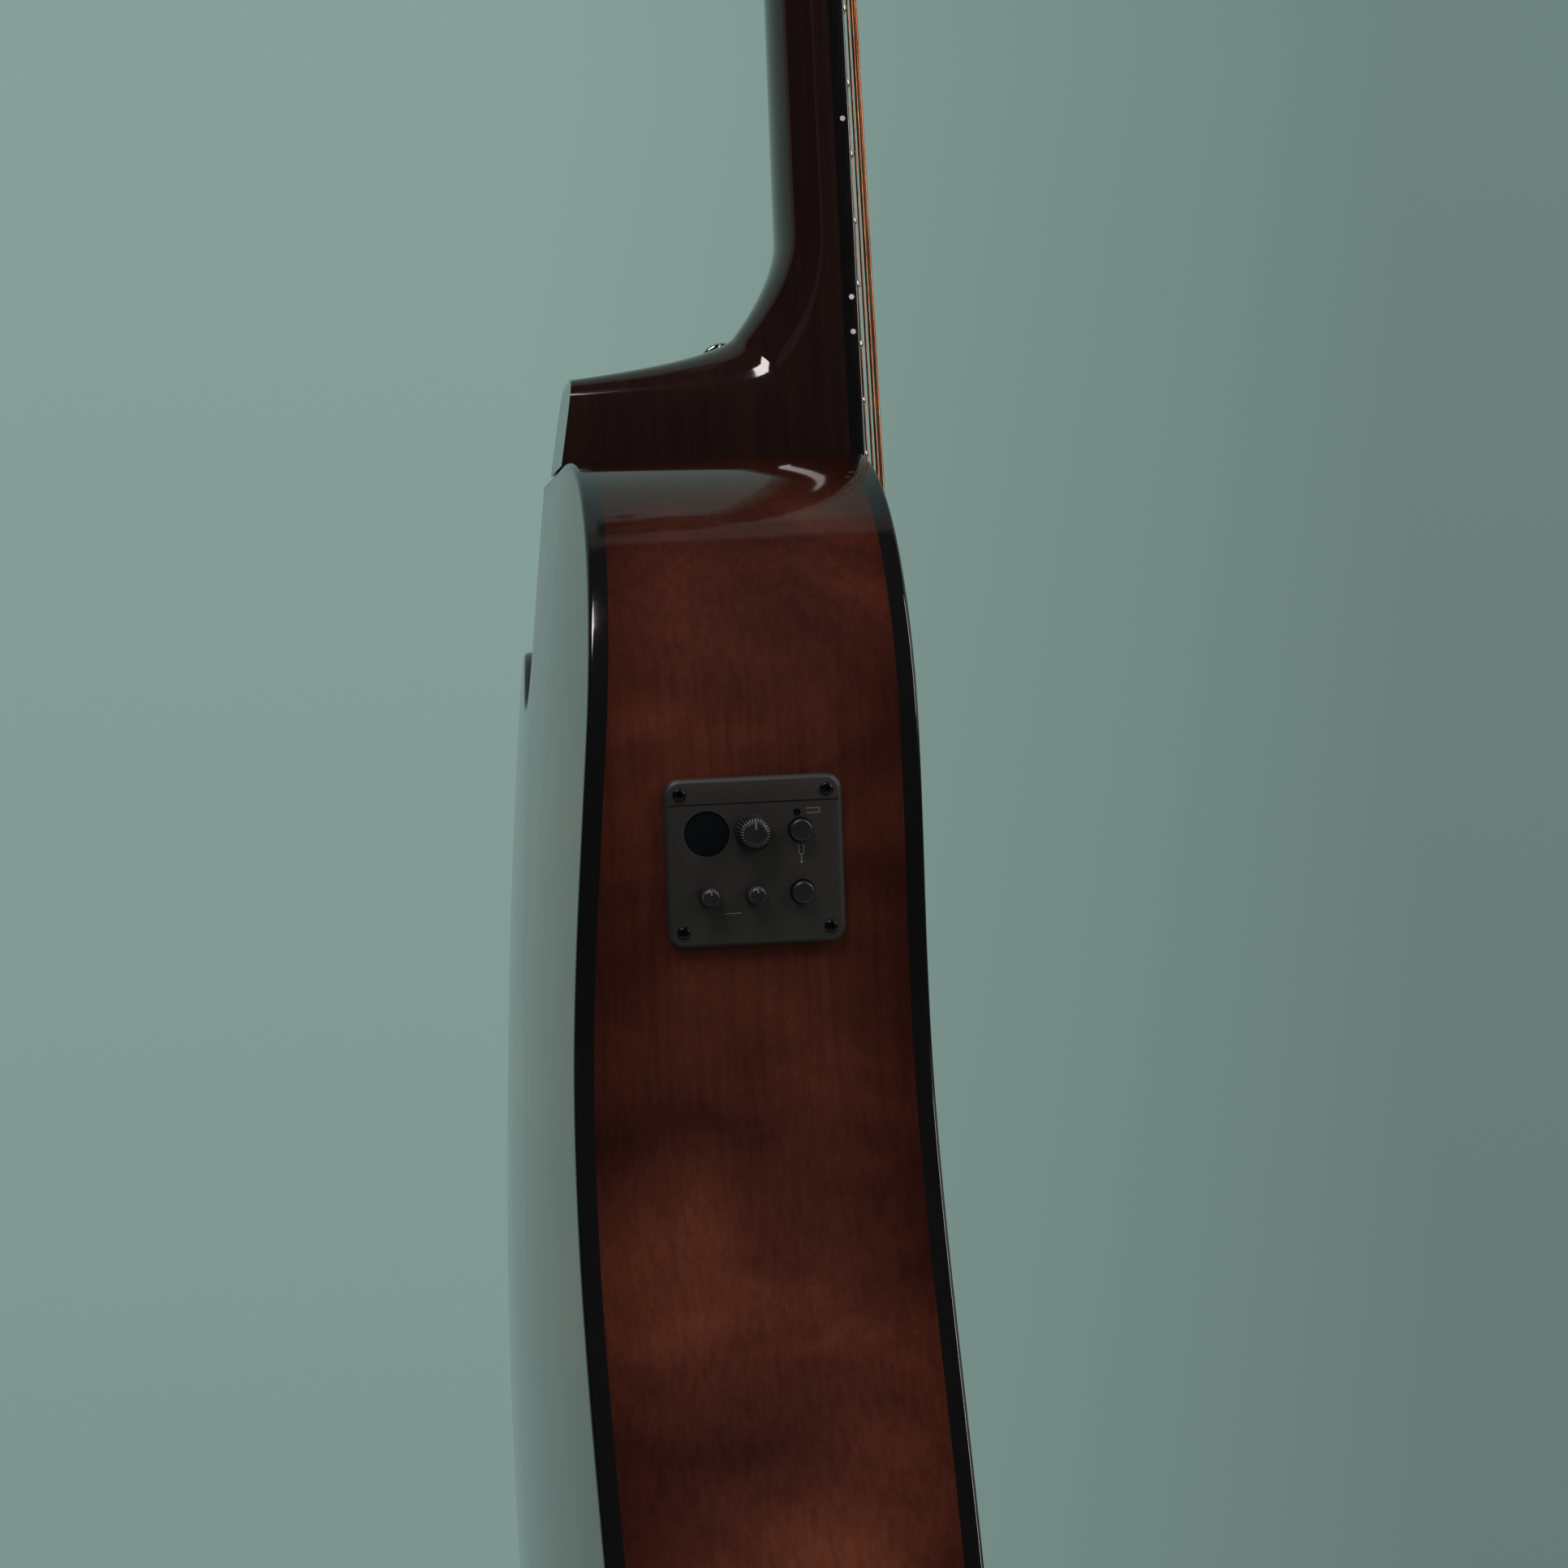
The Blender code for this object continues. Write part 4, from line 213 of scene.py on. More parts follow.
# Strings and bridge
SADDLE_SHIFT = 2.5 * MM
SADDLE_SLANT = math.radians(2.2)
STRING_HOLE_BACK = 7.5 * MM
BRIDGE_HEIGHT = 9 * MM
BRIDGE_PLATE_THICKNESS = 2.6 * MM
TURN_GAP = 0.35 * MM
WIND_POINTS = 40
PIN_BEHIND_SADDLE = 13 * MM

# Preamp's controls and marks
VOLUME_KNOB = (11.6 * MM, 6.5 * MM)
TONE_KNOB = (6.6 * MM, 6 * MM)
KNOB_SHAFT = 3 * MM
BUTTON_DIAMETER = 6.8 * MM
BUTTON_HEIGHT = 3 * MM
BUTTON_ROUND = 0.9 * MM
BORE_END = 9 * MM
LAMP_BORE = 2.2 * MM
PANEL_SCREW_RADIUS = 1.95 * MM
DISPLAY_DIAMETER = 13 * MM
PANEL_SCREW_INSET = 4.6 * MM
PANEL_EDGE = 1.2 * MM
RIB_DEPTH = 0.075
# Band of the knob ribs' painted glints, as shares of the knob's height
RIB_GLINT_FROM = 0.74
RIB_GLINT_TO = 0.95
MARK_RISE = 0.04 * MM
MARK_SINK = 0.02 * MM
MARK_LINE = 0.24 * MM
FINE_LINE = 0.2 * MM

# Strap button and tuners
STRAP_BUTTON_DIAMETER = 14 * MM
STRAP_BUTTON_LENGTH = 12 * MM
STRAP_FACE = (0.029700, 0.034403, -0.322040)
STRAP_AXIS = (0.827231, 0.254719, 0.500807)
TUNER_HOUSING = (17 * MM, 12.5 * MM, 24 * MM)
HOUSING_SHIFT = 4 * MM
TUNER_COLLAR_DIAMETER = 12.5 * MM
TUNER_COLLAR_HEIGHT = 2.2 * MM
TUNER_GEAR_TEETH = 14
TUNER_GEAR_DIAMETER = 11 * MM
TUNER_GEAR_THICKNESS = 3 * MM
TUNER_WORM_DIAMETER = 5 * MM
TUNER_SHAFT = 3 * MM
TUNER_WALL = 1.4 * MM
TUNER_BUTTON = (17 * MM, 9 * MM, 19 * MM)
TUNER_BUTTON_GAP = 7 * MM
BUTTON_CAP = ((2.5 * MM, -0.6 * MM), (2.5 * MM, 0.1 * MM), (1.9 * MM, 0.4 * MM), (0.3 * MM, 0.45 * MM))
WORM_OFFSET = TUNER_GEAR_DIAMETER / 2 + TUNER_WORM_DIAMETER / 2 + TURN_GAP

# Bridge pins and rosette
PIN_HEAD = 4.0 * MM
PIN_HEIGHT = 3.35 * MM
PIN_DOT = ((1.25 * MM, -0.6 * MM), (1.2 * MM, 0.02 * MM), (0.2 * MM, 0.12 * MM))
ROSETTE_START = 122
ROSETTE_SWEEP = 296
ROSETTE_RINGS = (
    (53.5 * MM, 54.2 * MM, "guard"), (54.2 * MM, 54.7 * MM, "bone"), (54.7 * MM, 55.6 * MM, "guard"),
    (56.4 * MM, 59.6 * MM, "pearl"), (60.4 * MM, 61.2 * MM, "guard"), (61.2 * MM, 61.7 * MM, "bone"),
    (61.7 * MM, 62.4 * MM, "guard"),
)

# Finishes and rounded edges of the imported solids
NODE_FINISHES = {
    "mahogany": ("lining_top", "lining_back", "neck_block", "tail_block", "bridge_plate"),
    "spruce": ("top_bracing", "transverse_brace"),
    "rosewood": ("bridge",),
    "bone": ("nut", "saddle"),
    "steel": ("saddle_pickup", "truss_rod"),
    "guard": ("truss_rod_cover", "pickguard", "battery"),
    "panel": ("preamp_box", "battery_holder"),
    "circuit": ("circuit_board",),
    "cable": ("pickup_lead", "jack_lead"),
}
NODE_BEVELS = {
    "bridge": 1.2 * MM,
    "nut": 0.5 * MM,
    "saddle": 0.5 * MM,
    "pickguard": 0.5 * MM,
    "truss_rod_cover": 0.5 * MM,
}
ALONG_X = (1, 0, 0)

# Stage
FLOOR_DROP = 4 * MM
FLOOR_RADIUS = 0.8
BACKDROP = (0.24, 0.35, 0.32)
BACKDROP_SIDE_FALL = 0.65
BACKDROP_LOW_FALL = 0.85
BACKDROP_SIDE_SPAN = (-0.265, -0.08)
BACKDROP_LOW_SPAN = (-0.175, 0.16)
BACKDROP_SPREAD = 0.35
BACKDROP_EDGE = 0.17
VEIL_EDGE = 0.02
STUDIO_FLOOR_LEVEL = -0.26
DOOR_SPAN = (0.52, 0.62)
DOOR_TOP = 0.45
STUDIO_DARK = (0.016, 0.015, 0.015)
STUDIO_VEIL = (0.24, 0.20, 0.195)
STUDIO_FLOOR = (0.085, 0.098, 0.094)
STUDIO_DOOR = (0.13, 0.105, 0.10)
AMBIENT = (0.20, 0.195, 0.19)

# Material name, colour, roughness and metallic, then the noise's scale and its detail and distortion,
# and last the colours, the roughness and the relief that it varies
PLAIN_PAINTS = {
    "binding": ("black_binding", (0.0055, 0.0055, 0.006), 0.08, 0, (300, 300, 300), (3,), None, (0.05, 0.16)),
    "guard": ("guard_plastic", (0.006, 0.006, 0.0065), 0.12, 0, (120, 120, 120), (4,), None, (0.06, 0.22)),
    "rosewood": (
        "fretboard_wood", (0.016, 0.010, 0.009), 0.42, 0, (520, 520, 16), (5, 0.3),
        ((0.32, (0.006, 0.004, 0.004)), (0.68, (0.034, 0.017, 0.012))), (0.34, 0.56), (0.05 * MM, 0.6),
    ),
    "spruce": (
        "raw_spruce", (0.52, 0.37, 0.21), 0.7, 0, (600, 600, 12), (4, 0.1),
        ((0.3, (0.40, 0.26, 0.13)), (0.7, (0.62, 0.46, 0.27))), None, (0.06 * MM, 0.5),
    ),
    "mahogany": (
        "raw_mahogany", (0.24, 0.10, 0.05), 0.68, 0, (420, 420, 18), (4, 0.2),
        ((0.3, (0.14, 0.055, 0.028)), (0.7, (0.33, 0.15, 0.075))), None, (0.06 * MM, 0.5),
    ),
    "chrome": ("chrome", (0.62, 0.63, 0.64), 0.06, 1, (500, 500, 500), (3,), None, (0.04, 0.13)),
    "nickel": ("fret_nickel", (0.48, 0.43, 0.39), 0.26, 1, (900, 60, 900), (3,), None, (0.12, 0.3)),
    "steel": ("plain_steel", (0.78, 0.76, 0.73), 0.25, 1, (800, 800, 40), (3,), None, (0.16, 0.34)),
    "bone": (
        "bone", (0.76, 0.72, 0.62), 0.32, 0, (180, 180, 700), (4, 0.4),
        ((0.3, (0.70, 0.65, 0.54)), (0.7, (0.82, 0.79, 0.70))), None, (0.02 * MM, 0.4),
    ),
    "pearl": (
        "dot_white", (0.56, 0.52, 0.49), 0.3, 0, (400, 400, 400), (2, 1.0),
        ((0.35, (0.48, 0.44, 0.42)), (0.65, (0.64, 0.59, 0.55))),
    ),
    "panel": (
        "panel_plastic", (0.0160, 0.0150, 0.0155), 0.5, 0, (2600, 2600, 2600), (2,),
        ((0.3, (0.0135, 0.0125, 0.0130)), (0.7, (0.0185, 0.0175, 0.0180))), None, (0.05 * MM, 0.5),
    ),
    "knob": (
        "knob_rubber", (0.011, 0.011, 0.012), 0.34, 0, (3000, 3000, 3000), (2,),
        None, (0.26, 0.42), (0.02 * MM, 0.4),
    ),
    # Pale finish for the painted glints on the knobs' rib crests
    "painted_rib_glint": ("painted_rib_glint", (0.20, 0.19, 0.185), 0.28, 0, (2000, 2000, 2000), (2,), None, (0.2, 0.4)),
    "board_edge": (
        "board_edge_black", (0.004, 0.004, 0.0045), 0.12, 0, (300, 300, 60), (3,), None, (0.08, 0.2)
    ),
    "screw": ("black_screw", (0.02, 0.02, 0.022), 0.25, 0.9, (1500, 1500, 1500), (2,), None, (0.18, 0.34)),
    "lens": ("dark_lens", (0.0035, 0.0052, 0.0056), 0.05, 0, (90, 90, 90), (2,), None, (0.03, 0.09)),
    "mark": (
        "printed_grey", (0.15, 0.15, 0.155), 0.5, 0, (2500, 2500, 2500), (2,),
        ((0.3, (0.11, 0.11, 0.115)), (0.7, (0.19, 0.19, 0.195))),
    ),
    "cable": (
        "cable_jacket", (0.010, 0.010, 0.010), 0.5, 0, (900, 900, 900), (2,), None, None, (0.03 * MM, 0.4)
    ),
    "circuit": (
        "circuit_green", (0.010, 0.055, 0.022), 0.35, 0, (700, 700, 700), (1,),
        ((0.45, (0.008, 0.045, 0.018)), (0.55, (0.018, 0.085, 0.035))),
    ),
}


def fret_distance(fret):
    """Distance from the nut to a fret on the equal-tempered scale."""
    return SCALE_LENGTH * (1 - 2 ** (-fret / 12))


JOINT = fret_distance(JOINT_FRET)
TAIL = JOINT + BODY_LENGTH
BOARD_END = fret_distance(FRET_COUNT) + FRETBOARD_OVERHANG
HOLE_CENTRE = BOARD_END + SOUNDHOLE_GAP_TO_BOARD + SOUNDHOLE_DIAMETER / 2
HEADSTOCK = Matrix.Translation((0, 0, NUT_THICKNESS)) @ Matrix.Rotation(-HEADSTOCK_TILT, 4, "X")


def preamp_frame():
    """The panel's frame: X to the soundboard, Y up the neck, Z outwards."""
    right = Vector((0, -1, 0))
    up = Vector(PANEL_UP)
    out = right.cross(up)
    frame = Matrix((right, up, out)).transposed().to_4x4()
    frame.translation = PANEL_CENTRE
    return frame


PREAMP = preamp_frame()


def neck_half_width(distance):
    """Half the width of neck and fretboard at a distance below the nut."""
    return (NUT_WIDTH + (JOINT_WIDTH - NUT_WIDTH) * distance / JOINT) / 2


def string_x(number, distance):
    """Lateral place of a string, 0 for the low E on the bass side."""
    share = distance / SCALE_LENGTH
    spread = STRING_SPREAD_AT_NUT + (STRING_SPREAD_AT_SADDLE - STRING_SPREAD_AT_NUT) * share
    return (number / 5 - 0.5) * spread


def board_top(x):
    """Height of the fretboard's round top over the soundboard plane."""
    return FRETBOARD_THICKNESS - x * x / (2 * FRETBOARD_RADIUS)


def string_height(number, distance):
    """Height of a string's centre over the soundboard plane."""
    at_nut = board_top(string_x(number, 0)) + STRING_OVER_NUT_BOARD
    half = SCALE_LENGTH / 2
    action = ACTION_BASS + (ACTION_TREBLE - ACTION_BASS) * number / 5
    at_half = board_top(string_x(number, half)) + FRET_HEIGHT + action
    return at_nut + (at_half - at_nut) * distance / half + STRING_DIAMETERS[number] / 2


def bezier(start, handle_a, handle_b, end, count):
    """Points of a cubic curve, without the first one."""
    points = []
    for step in range(1, count + 1):
        t = step / count
        s = 1 - t
        weights = (s**3, 3 * s * s * t, 3 * s * t * t, t**3)
        corners = (start, handle_a, handle_b, end)
        points.append(tuple(sum(w * c[k] for w, c in zip(weights, corners)) for k in (0, 1)))
    return points


def body_outline():
    """The body's outline as (x, distance below the nut), from the neck joint round the bass side."""
    top = JOINT
    upper = (-UPPER_HALF_WIDTH, top + UPPER_DROP)
    waist = (-WAIST_HALF_WIDTH, top + WAIST_DROP)
    lower = (-LOWER_HALF_WIDTH, top + LOWER_DROP)
    tail = (0, TAIL)
    shoulder = (-SHOULDER_FLAT, top)
    points = [shoulder]
    points += bezier(
        shoulder,
        (shoulder[0] - SHOULDER_REACH, top),
        (upper[0], upper[1] - UPPER_RISE),
        upper,
        SHOULDER_STEPS,
    )
    points += bezier(
        upper, (upper[0], upper[1] + UPPER_FALL), (waist[0], waist[1] - WAIST_RISE), waist, WAIST_STEPS
    )
    points += bezier(
        waist, (waist[0], waist[1] + WAIST_FALL), (lower[0], lower[1] - LOWER_RISE), lower, LOWER_STEPS
    )
    points += bezier(lower, (lower[0], lower[1] + LOWER_FALL), (-TAIL_REACH, TAIL), tail, TAIL_STEPS)
    mirrored = [(-x, distance) for x, distance in reversed(points[SHOULDER_STEPS + WAIST_STEPS : -1])]
    corner = (CUTAWAY_HALF_WIDTH, top)
    scoop = (SCOOP_X, top + SCOOP_DROP)
    horn = (HORN_X, top + HORN_DROP)
    horn_side = (UPPER_HALF_WIDTH - 1 * MM, top + HORN_SIDE_DROP)
    cut = bezier(corner, (47 * MM, top + 40 * MM), (46 * MM, top + SCOOP_DROP), scoop, CUT_STEPS)
    cut += bezier(scoop, (90 * MM, scoop[1]), (97 * MM, horn[1]), horn, CUT_STEPS)
    cut += bezier(horn, (132 * MM, horn[1]), (UPPER_HALF_WIDTH, top + 66 * MM), horn_side, CUT_STEPS)
    cut += bezier(
        horn_side,
        (UPPER_HALF_WIDTH - 2 * MM, top + 106 * MM),
        (WAIST_HALF_WIDTH, waist[1] - WAIST_RISE),
        (WAIST_HALF_WIDTH, waist[1]),
        WAIST_STEPS,
    )
    return points + mirrored + list(reversed(cut[:-1])) + [corner]


OUTLINE = body_outline()


def inset(points, distance):
    """The closed outline moved inwards, with mitred corners."""
    moved = []
    for here, point in enumerate(points):
        before = Vector(points[here - 1])
        after = Vector(points[(here + 1) % len(points)])
        middle = Vector(point)
        first = (middle - before).normalized()
        second = (after - middle).normalized()
        normal_a = Vector((first.y, -first.x))
        normal_b = Vector((second.y, -second.x))
        bisector = (normal_a + normal_b).normalized()
        reach = distance / max(bisector.dot(normal_b), 0.3)
        moved.append(tuple(middle + bisector * reach))
    return moved


def back_y(x, distance):
    """The domed back's outer surface."""
    along = distance - JOINT - BACK_CREST_DROP
    return BACK_DEPTH - BACK_RADIUS + math.sqrt(BACK_RADIUS**2 - x * x - along * along)


def neck_ring(inner, outer, half_width, roundness):
    """A D-shaped section: a chord through the inner point, its crown at the outer one."""
    ring = []
    count = 40
    for step in range(count + 1):
        angle = math.pi * step / count
        across = math.cos(angle)
        out = math.sin(angle)
        x = math.copysign(abs(across) ** (2 / roundness), across) * half_width
        rise = max(out, 0) ** (2 / roundness)
        y = inner[0] + (outer[0] - inner[0]) * rise
        distance = inner[1] + (outer[1] - inner[1]) * rise
        ring.append((x, y, -distance))
    return ring


def heel_profile():
    """Crown points of the heel as (y, distance), from the shaft to the tip of the cap."""
    start = (NECK_DEPTH_AT_HEEL, HEEL_START)
    curl = (HEEL_CURL_DEPTH, JOINT - HEEL_CURL_FROM_JOINT)
    cap_end = HEEL_CAP_Y
    tip = (cap_end - 5 * MM, JOINT - GLUE_GAP - HEEL_CAP_LENGTH)
    curve = bezier(start, (start[0], start[1] + 12 * MM), (curl[0] - 5 * MM, curl[1] - 6 * MM), curl, 20)
    face = bezier(curl, (curl[0] + 6 * MM, curl[1] + 5 * MM), (tip[0] - 28 * MM, tip[1] - 3 * MM), tip, 24)
    return curve, face


HEEL_CAP_Y = back_y(HEEL_CAP_HALF_WIDTH, JOINT) - 0.2 * MM


def neck_rings():
    """Sections of the shaft and the heel, which turn from across the neck to along it."""
    dive = NUT_THICKNESS + 12 * MM
    rings = [neck_ring((5.2 * MM, -dive), (15 * MM, -dive), 19 * MM, 2.1)]
    shaft = [-NUT_THICKNESS] + [HEEL_START * step / SHAFT_STEPS for step in range(SHAFT_STEPS + 1)]
    for distance in shaft:
        share = max(distance, 0) / HEEL_START
        depth = NECK_DEPTH_AT_NUT + (NECK_DEPTH_AT_HEEL - NECK_DEPTH_AT_NUT) * share
        half = neck_half_width(max(distance, 0))
        rings.append(neck_ring((0, distance), (depth, distance), half, SHAFT_ROUNDNESS))
    joint = JOINT - GLUE_GAP
    curve, face = heel_profile()
    for step, crown in enumerate(curve, 1):
        share = step / len(curve)
        distance = HEEL_START + (joint - HEEL_START) * share
        half = neck_half_width(distance)
        roundness = SHAFT_ROUNDNESS + (HEEL_ROUNDNESS - SHAFT_ROUNDNESS) * share
        rings.append(neck_ring((0, distance), crown, half, roundness))
    half_top = neck_half_width(joint)
    for step, crown in enumerate(face, 1):
        share = step / len(face)
        half = half_top + (HEEL_CAP_HALF_WIDTH - half_top) * share
        roundness = HEEL_ROUNDNESS + (HEEL_CAP_ROUNDNESS - HEEL_ROUNDNESS) * share**1.6
        rings.append(neck_ring((HEEL_CAP_Y * share, joint), crown, half, roundness))
    return rings


def link(name, data):
    """A new object in the scene."""
    obj = bpy.data.objects.new(name, data)
    bpy.context.scene.collection.objects.link(obj)
    return obj


def piece(name, mesh, paint, smooth_angle=35):
    """A named object of the guitar with its finish."""
    obj = link(name, mesh)
    finish_piece(obj, paint, smooth_angle)
    return obj


def finish_piece(obj, paint, smooth_angle=35):
    obj.data.materials.clear()
    obj.data.materials.append(paint)
    obj.data.shade_smooth()
    obj.data.set_sharp_from_angle(angle=math.radians(smooth_angle))


def mesh_from(name, bm):
    """A mesh from a bmesh, its faces pointing out."""
    bmesh.ops.recalc_face_normals(bm, faces=bm.faces)
    if bm.calc_volume(signed=True) < 0:
        bmesh.ops.reverse_faces(bm, faces=bm.faces)
    return plain_mesh(name, bm)


def plain_mesh(name, bm):
    mesh = bpy.data.meshes.new(name)
    bm.to_mesh(mesh)
    bm.free()
    return mesh


def polar(radius, angle):
    return radius * math.cos(angle), radius * math.sin(angle)


def turns(count):
    """Equal steps round a full turn."""
    return [2 * math.pi * step / count for step in range(count)]


def skin(bm, rings, closed=False):
    """Faces through rings of equal count, in order; closed joins the last ring to the first."""
    loops = [[bm.verts.new(point) for point in ring] for ring in rings]
    pairs = list(zip(loops, loops[1:]))
    if closed:
        pairs.append((loops[-1], loops[0]))
    faces = []
    for first, second in pairs:
        for here in range(len(first)):
            after = (here + 1) % len(first)
            faces.append(bm.faces.new((first[here], first[after], second[after], second[here])))
    if not closed:
        bm.faces.new(loops[0])
        bm.faces.new(loops[-1])
    return faces


def loft(name, rings, closed=False):
    """A closed mesh through rings of equal count."""
    bm = bmesh.new()
    skin(bm, rings, closed)
    return mesh_from(name, bm)


def toward(direction):
    """The rotation that turns +Z to a direction."""
    return Vector(direction).to_track_quat("Z", "Y").to_matrix().to_4x4()


def lathe(name, profile, start=(0, 0, 0), direction=(0, 0, 1), sides=48):
    """A turned shape from (radius, height) points; its open ends are filled."""
    rings = [[(*polar(radius, turn), height) for turn in turns(sides)] for radius, height in profile]
    mesh = loft(name, rings)
    mesh.transform(Matrix.Translation(start) @ toward(direction))
    return mesh


def round_off(profile, steps=4, most=0.35):
    """The profile with each inner corner replaced by a small arc."""
    points = [Vector(point) for point in profile]
    softened = [points[0]]
    for before, here, after in zip(points, points[1:], points[2:]):
        reach = min((here - before).length, (after - here).length) * most
        start = here + (before - here).normalized() * reach
        end = here + (after - here).normalized() * reach
        for step in range(steps + 1):
            t = step / steps
            softened.append(start * (1 - t) ** 2 + here * 2 * t * (1 - t) + end * t * t)
    softened.append(points[-1])
    return [tuple(point) for point in softened]


def box_mesh(name, size, place):
    """A box of a size, put in place by a matrix."""
    bm = bmesh.new()
    bmesh.ops.create_cube(bm, size=1)
    bmesh.ops.scale(bm, vec=size, verts=bm.verts)
    bmesh.ops.transform(bm, matrix=place, verts=bm.verts)
    return mesh_from(name, bm)


def rod_mesh(name, start, end, diameter, sides=32):
    start = Vector(start)
    length = (Vector(end) - start).length
    return lathe(name, ((diameter / 2, 0), (diameter / 2, length)), start, Vector(end) - start, sides)


def combine(obj, tool, operation):
    """Join a tool to an object or cut it out, and remove the tool."""
    modifier = obj.modifiers.new("combine", "BOOLEAN")
    modifier.operation = operation
    modifier.solver = "EXACT"
    modifier.object = tool
    bake(obj)
    bpy.data.objects.remove(tool, do_unlink=True)


def cut(obj, meshes):
    """Cut closed meshes out of an object, and remove them."""
    combine(obj, link(obj.name + "_cutter", join("cutter", meshes, mesh_from)), "DIFFERENCE")


def bake(obj):
    """Use up the object's modifiers."""
    bpy.context.view_layer.update()
    graph = bpy.context.evaluated_depsgraph_get()
    mesh = bpy.data.meshes.new_from_object(obj.evaluated_get(graph))
    obj.modifiers.clear()
    obj.data = mesh
    return obj


def bevel(obj, width, segments=3, angle=40):
    """Round the object's sharp edges."""
    modifier = obj.modifiers.new("edges", "BEVEL")
    modifier.width = width
    modifier.segments = segments
    modifier.limit_method = "ANGLE"
    modifier.angle_limit = math.radians(angle)
    modifier.harden_normals = True
    return obj


def hug(obj, nodes, body="root"):
    """The object stands for CAD nodes and moves with a body."""
    if nodes:
        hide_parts(*nodes)
    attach(obj, body)
    return obj


def tube(name, points, radius, paint, sides=12, radii=None):
    """A round wire through the points, its U coordinate running along its length in metres."""
    path = [Vector(point) for point in points]
    count = len(path)
    bm = bmesh.new()
    uv = bm.loops.layers.uv.new("UVMap")
    along = [0.0]
    for a, b in zip(path, path[1:]):
        along.append(along[-1] + (b - a).length)
    rings = []
    normal = (path[1] - path[0]).normalized().orthogonal().normalized()
    for here, point in enumerate(path):
        run = (path[min(here + 1, count - 1)] - path[max(here - 1, 0)]).normalized()
        normal = (normal - run * normal.dot(run)).normalized()
        side = run.cross(normal)
        size = radius * (radii[here] if radii else 1)
        around = [normal * math.cos(turn) + side * math.sin(turn) for turn in turns(sides)]
        rings.append([point + way * size for way in around])
    for index, face in enumerate(skin(bm, rings)):
        here, step = divmod(index, sides)
        near, far = along[here : here + 2]
        places = ((near, step), (near, step + 1), (far, step + 1), (far, step))
        for loop, (u, v) in zip(face.loops, places):
            loop[uv].uv = (u, v / sides)
    bmesh.ops.recalc_face_normals(bm, faces=bm.faces)
    return piece(name, plain_mesh(name, bm), paint, 60)


def with_alpha(colour):
    """A colour's socket as it is, or its values with full alpha."""
    return colour if isinstance(colour, bpy.types.NodeSocket) else (*colour, 1)


class Tree:
    """A node tree, with short ways to add to it."""

    def __init__(self, tree):
        self.tree = tree

    def add(self, kind, values=None, **settings):
        made = self.tree.nodes.new(kind)
        for key, value in settings.items():
            setattr(made, key, value)
        for key, value in (values or {}).items():
            if isinstance(value, bpy.types.NodeSocket):
                self.tree.links.new(value, made.inputs[key])
            else:
                made.inputs[key].default_value = value
        return made

    def math(self, operation, first, second=0.0):
        return self.add("ShaderNodeMath", {0: first, 1: second}, operation=operation).outputs[0]

    def ramp(self, fac, stops):
        """Colours along a value, given as (place, colour) pairs."""
        made = self.add("ShaderNodeValToRGB", {"Fac": fac})
        elements = made.color_ramp.elements
        while len(elements) < len(stops):
            elements.new(0.5)
        for element, (place, colour) in zip(elements, stops):
            element.position = place
            element.color = with_alpha(colour)
        return made.outputs["Color"]

    def mix(self, fac, first, second, blend="MIX"):
        values = {0: fac, 6: with_alpha(first), 7: with_alpha(second)}
        return self.add("ShaderNodeMix", values, data_type="RGBA", blend_type=blend).outputs[2]

    def split(self, vector):
        return self.add("ShaderNodeSeparateXYZ", {"Vector": vector}).outputs


class Nodes(Tree):
    """A material's node tree round its Principled shader."""

    def __init__(self, name, colour, roughness, metallic=0.0):
        self.material = bpy.data.materials.new(name)
        self.material.use_nodes = True
        super().__init__(self.material.node_tree)
        self.shader = self.tree.nodes["Principled BSDF"]
        self.shader.inputs["Base Color"].default_value = with_alpha(colour)
        self.shader.inputs["Roughness"].default_value = roughness
        self.shader.inputs["Metallic"].default_value = metallic
        self.material.diffuse_color = with_alpha(colour)

    def feed(self, name, socket):
        self.tree.links.new(socket, self.shader.inputs[name])

    def place(self, scale, kind="Object"):
        """Texture coordinates stretched by a scale in each direction."""
        source = self.add("ShaderNodeTexCoord")
        return self.add("ShaderNodeMapping", {"Vector": source.outputs[kind], "Scale": scale}).outputs[0]

    def noise(self, vector, scale, detail=2, distortion=0.0):
        values = {"Vector": vector, "Scale": scale, "Detail": detail, "Distortion": distortion}
        return self.add("ShaderNodeTexNoise", values).outputs["Fac"]

    def colour(self, socket):
        self.feed("Base Color", socket)

    def tint(self, socket):
        """Multiply the colour by another one."""
        self.colour(self.mix(1.0, self.shader.inputs["Base Color"].links[0].from_socket, socket, "MULTIPLY"))

    def rough(self, fac, low, high):
        values = {"Value": fac, "To Min": low, "To Max": high}
        self.feed("Roughness", self.add("ShaderNodeMapRange", values).outputs[0])

    def bump(self, height, distance, strength=1.0):
        values = {"Height": height, "Distance": distance, "Strength": strength}
        self.feed("Normal", self.add("ShaderNodeBump", values).outputs[0])


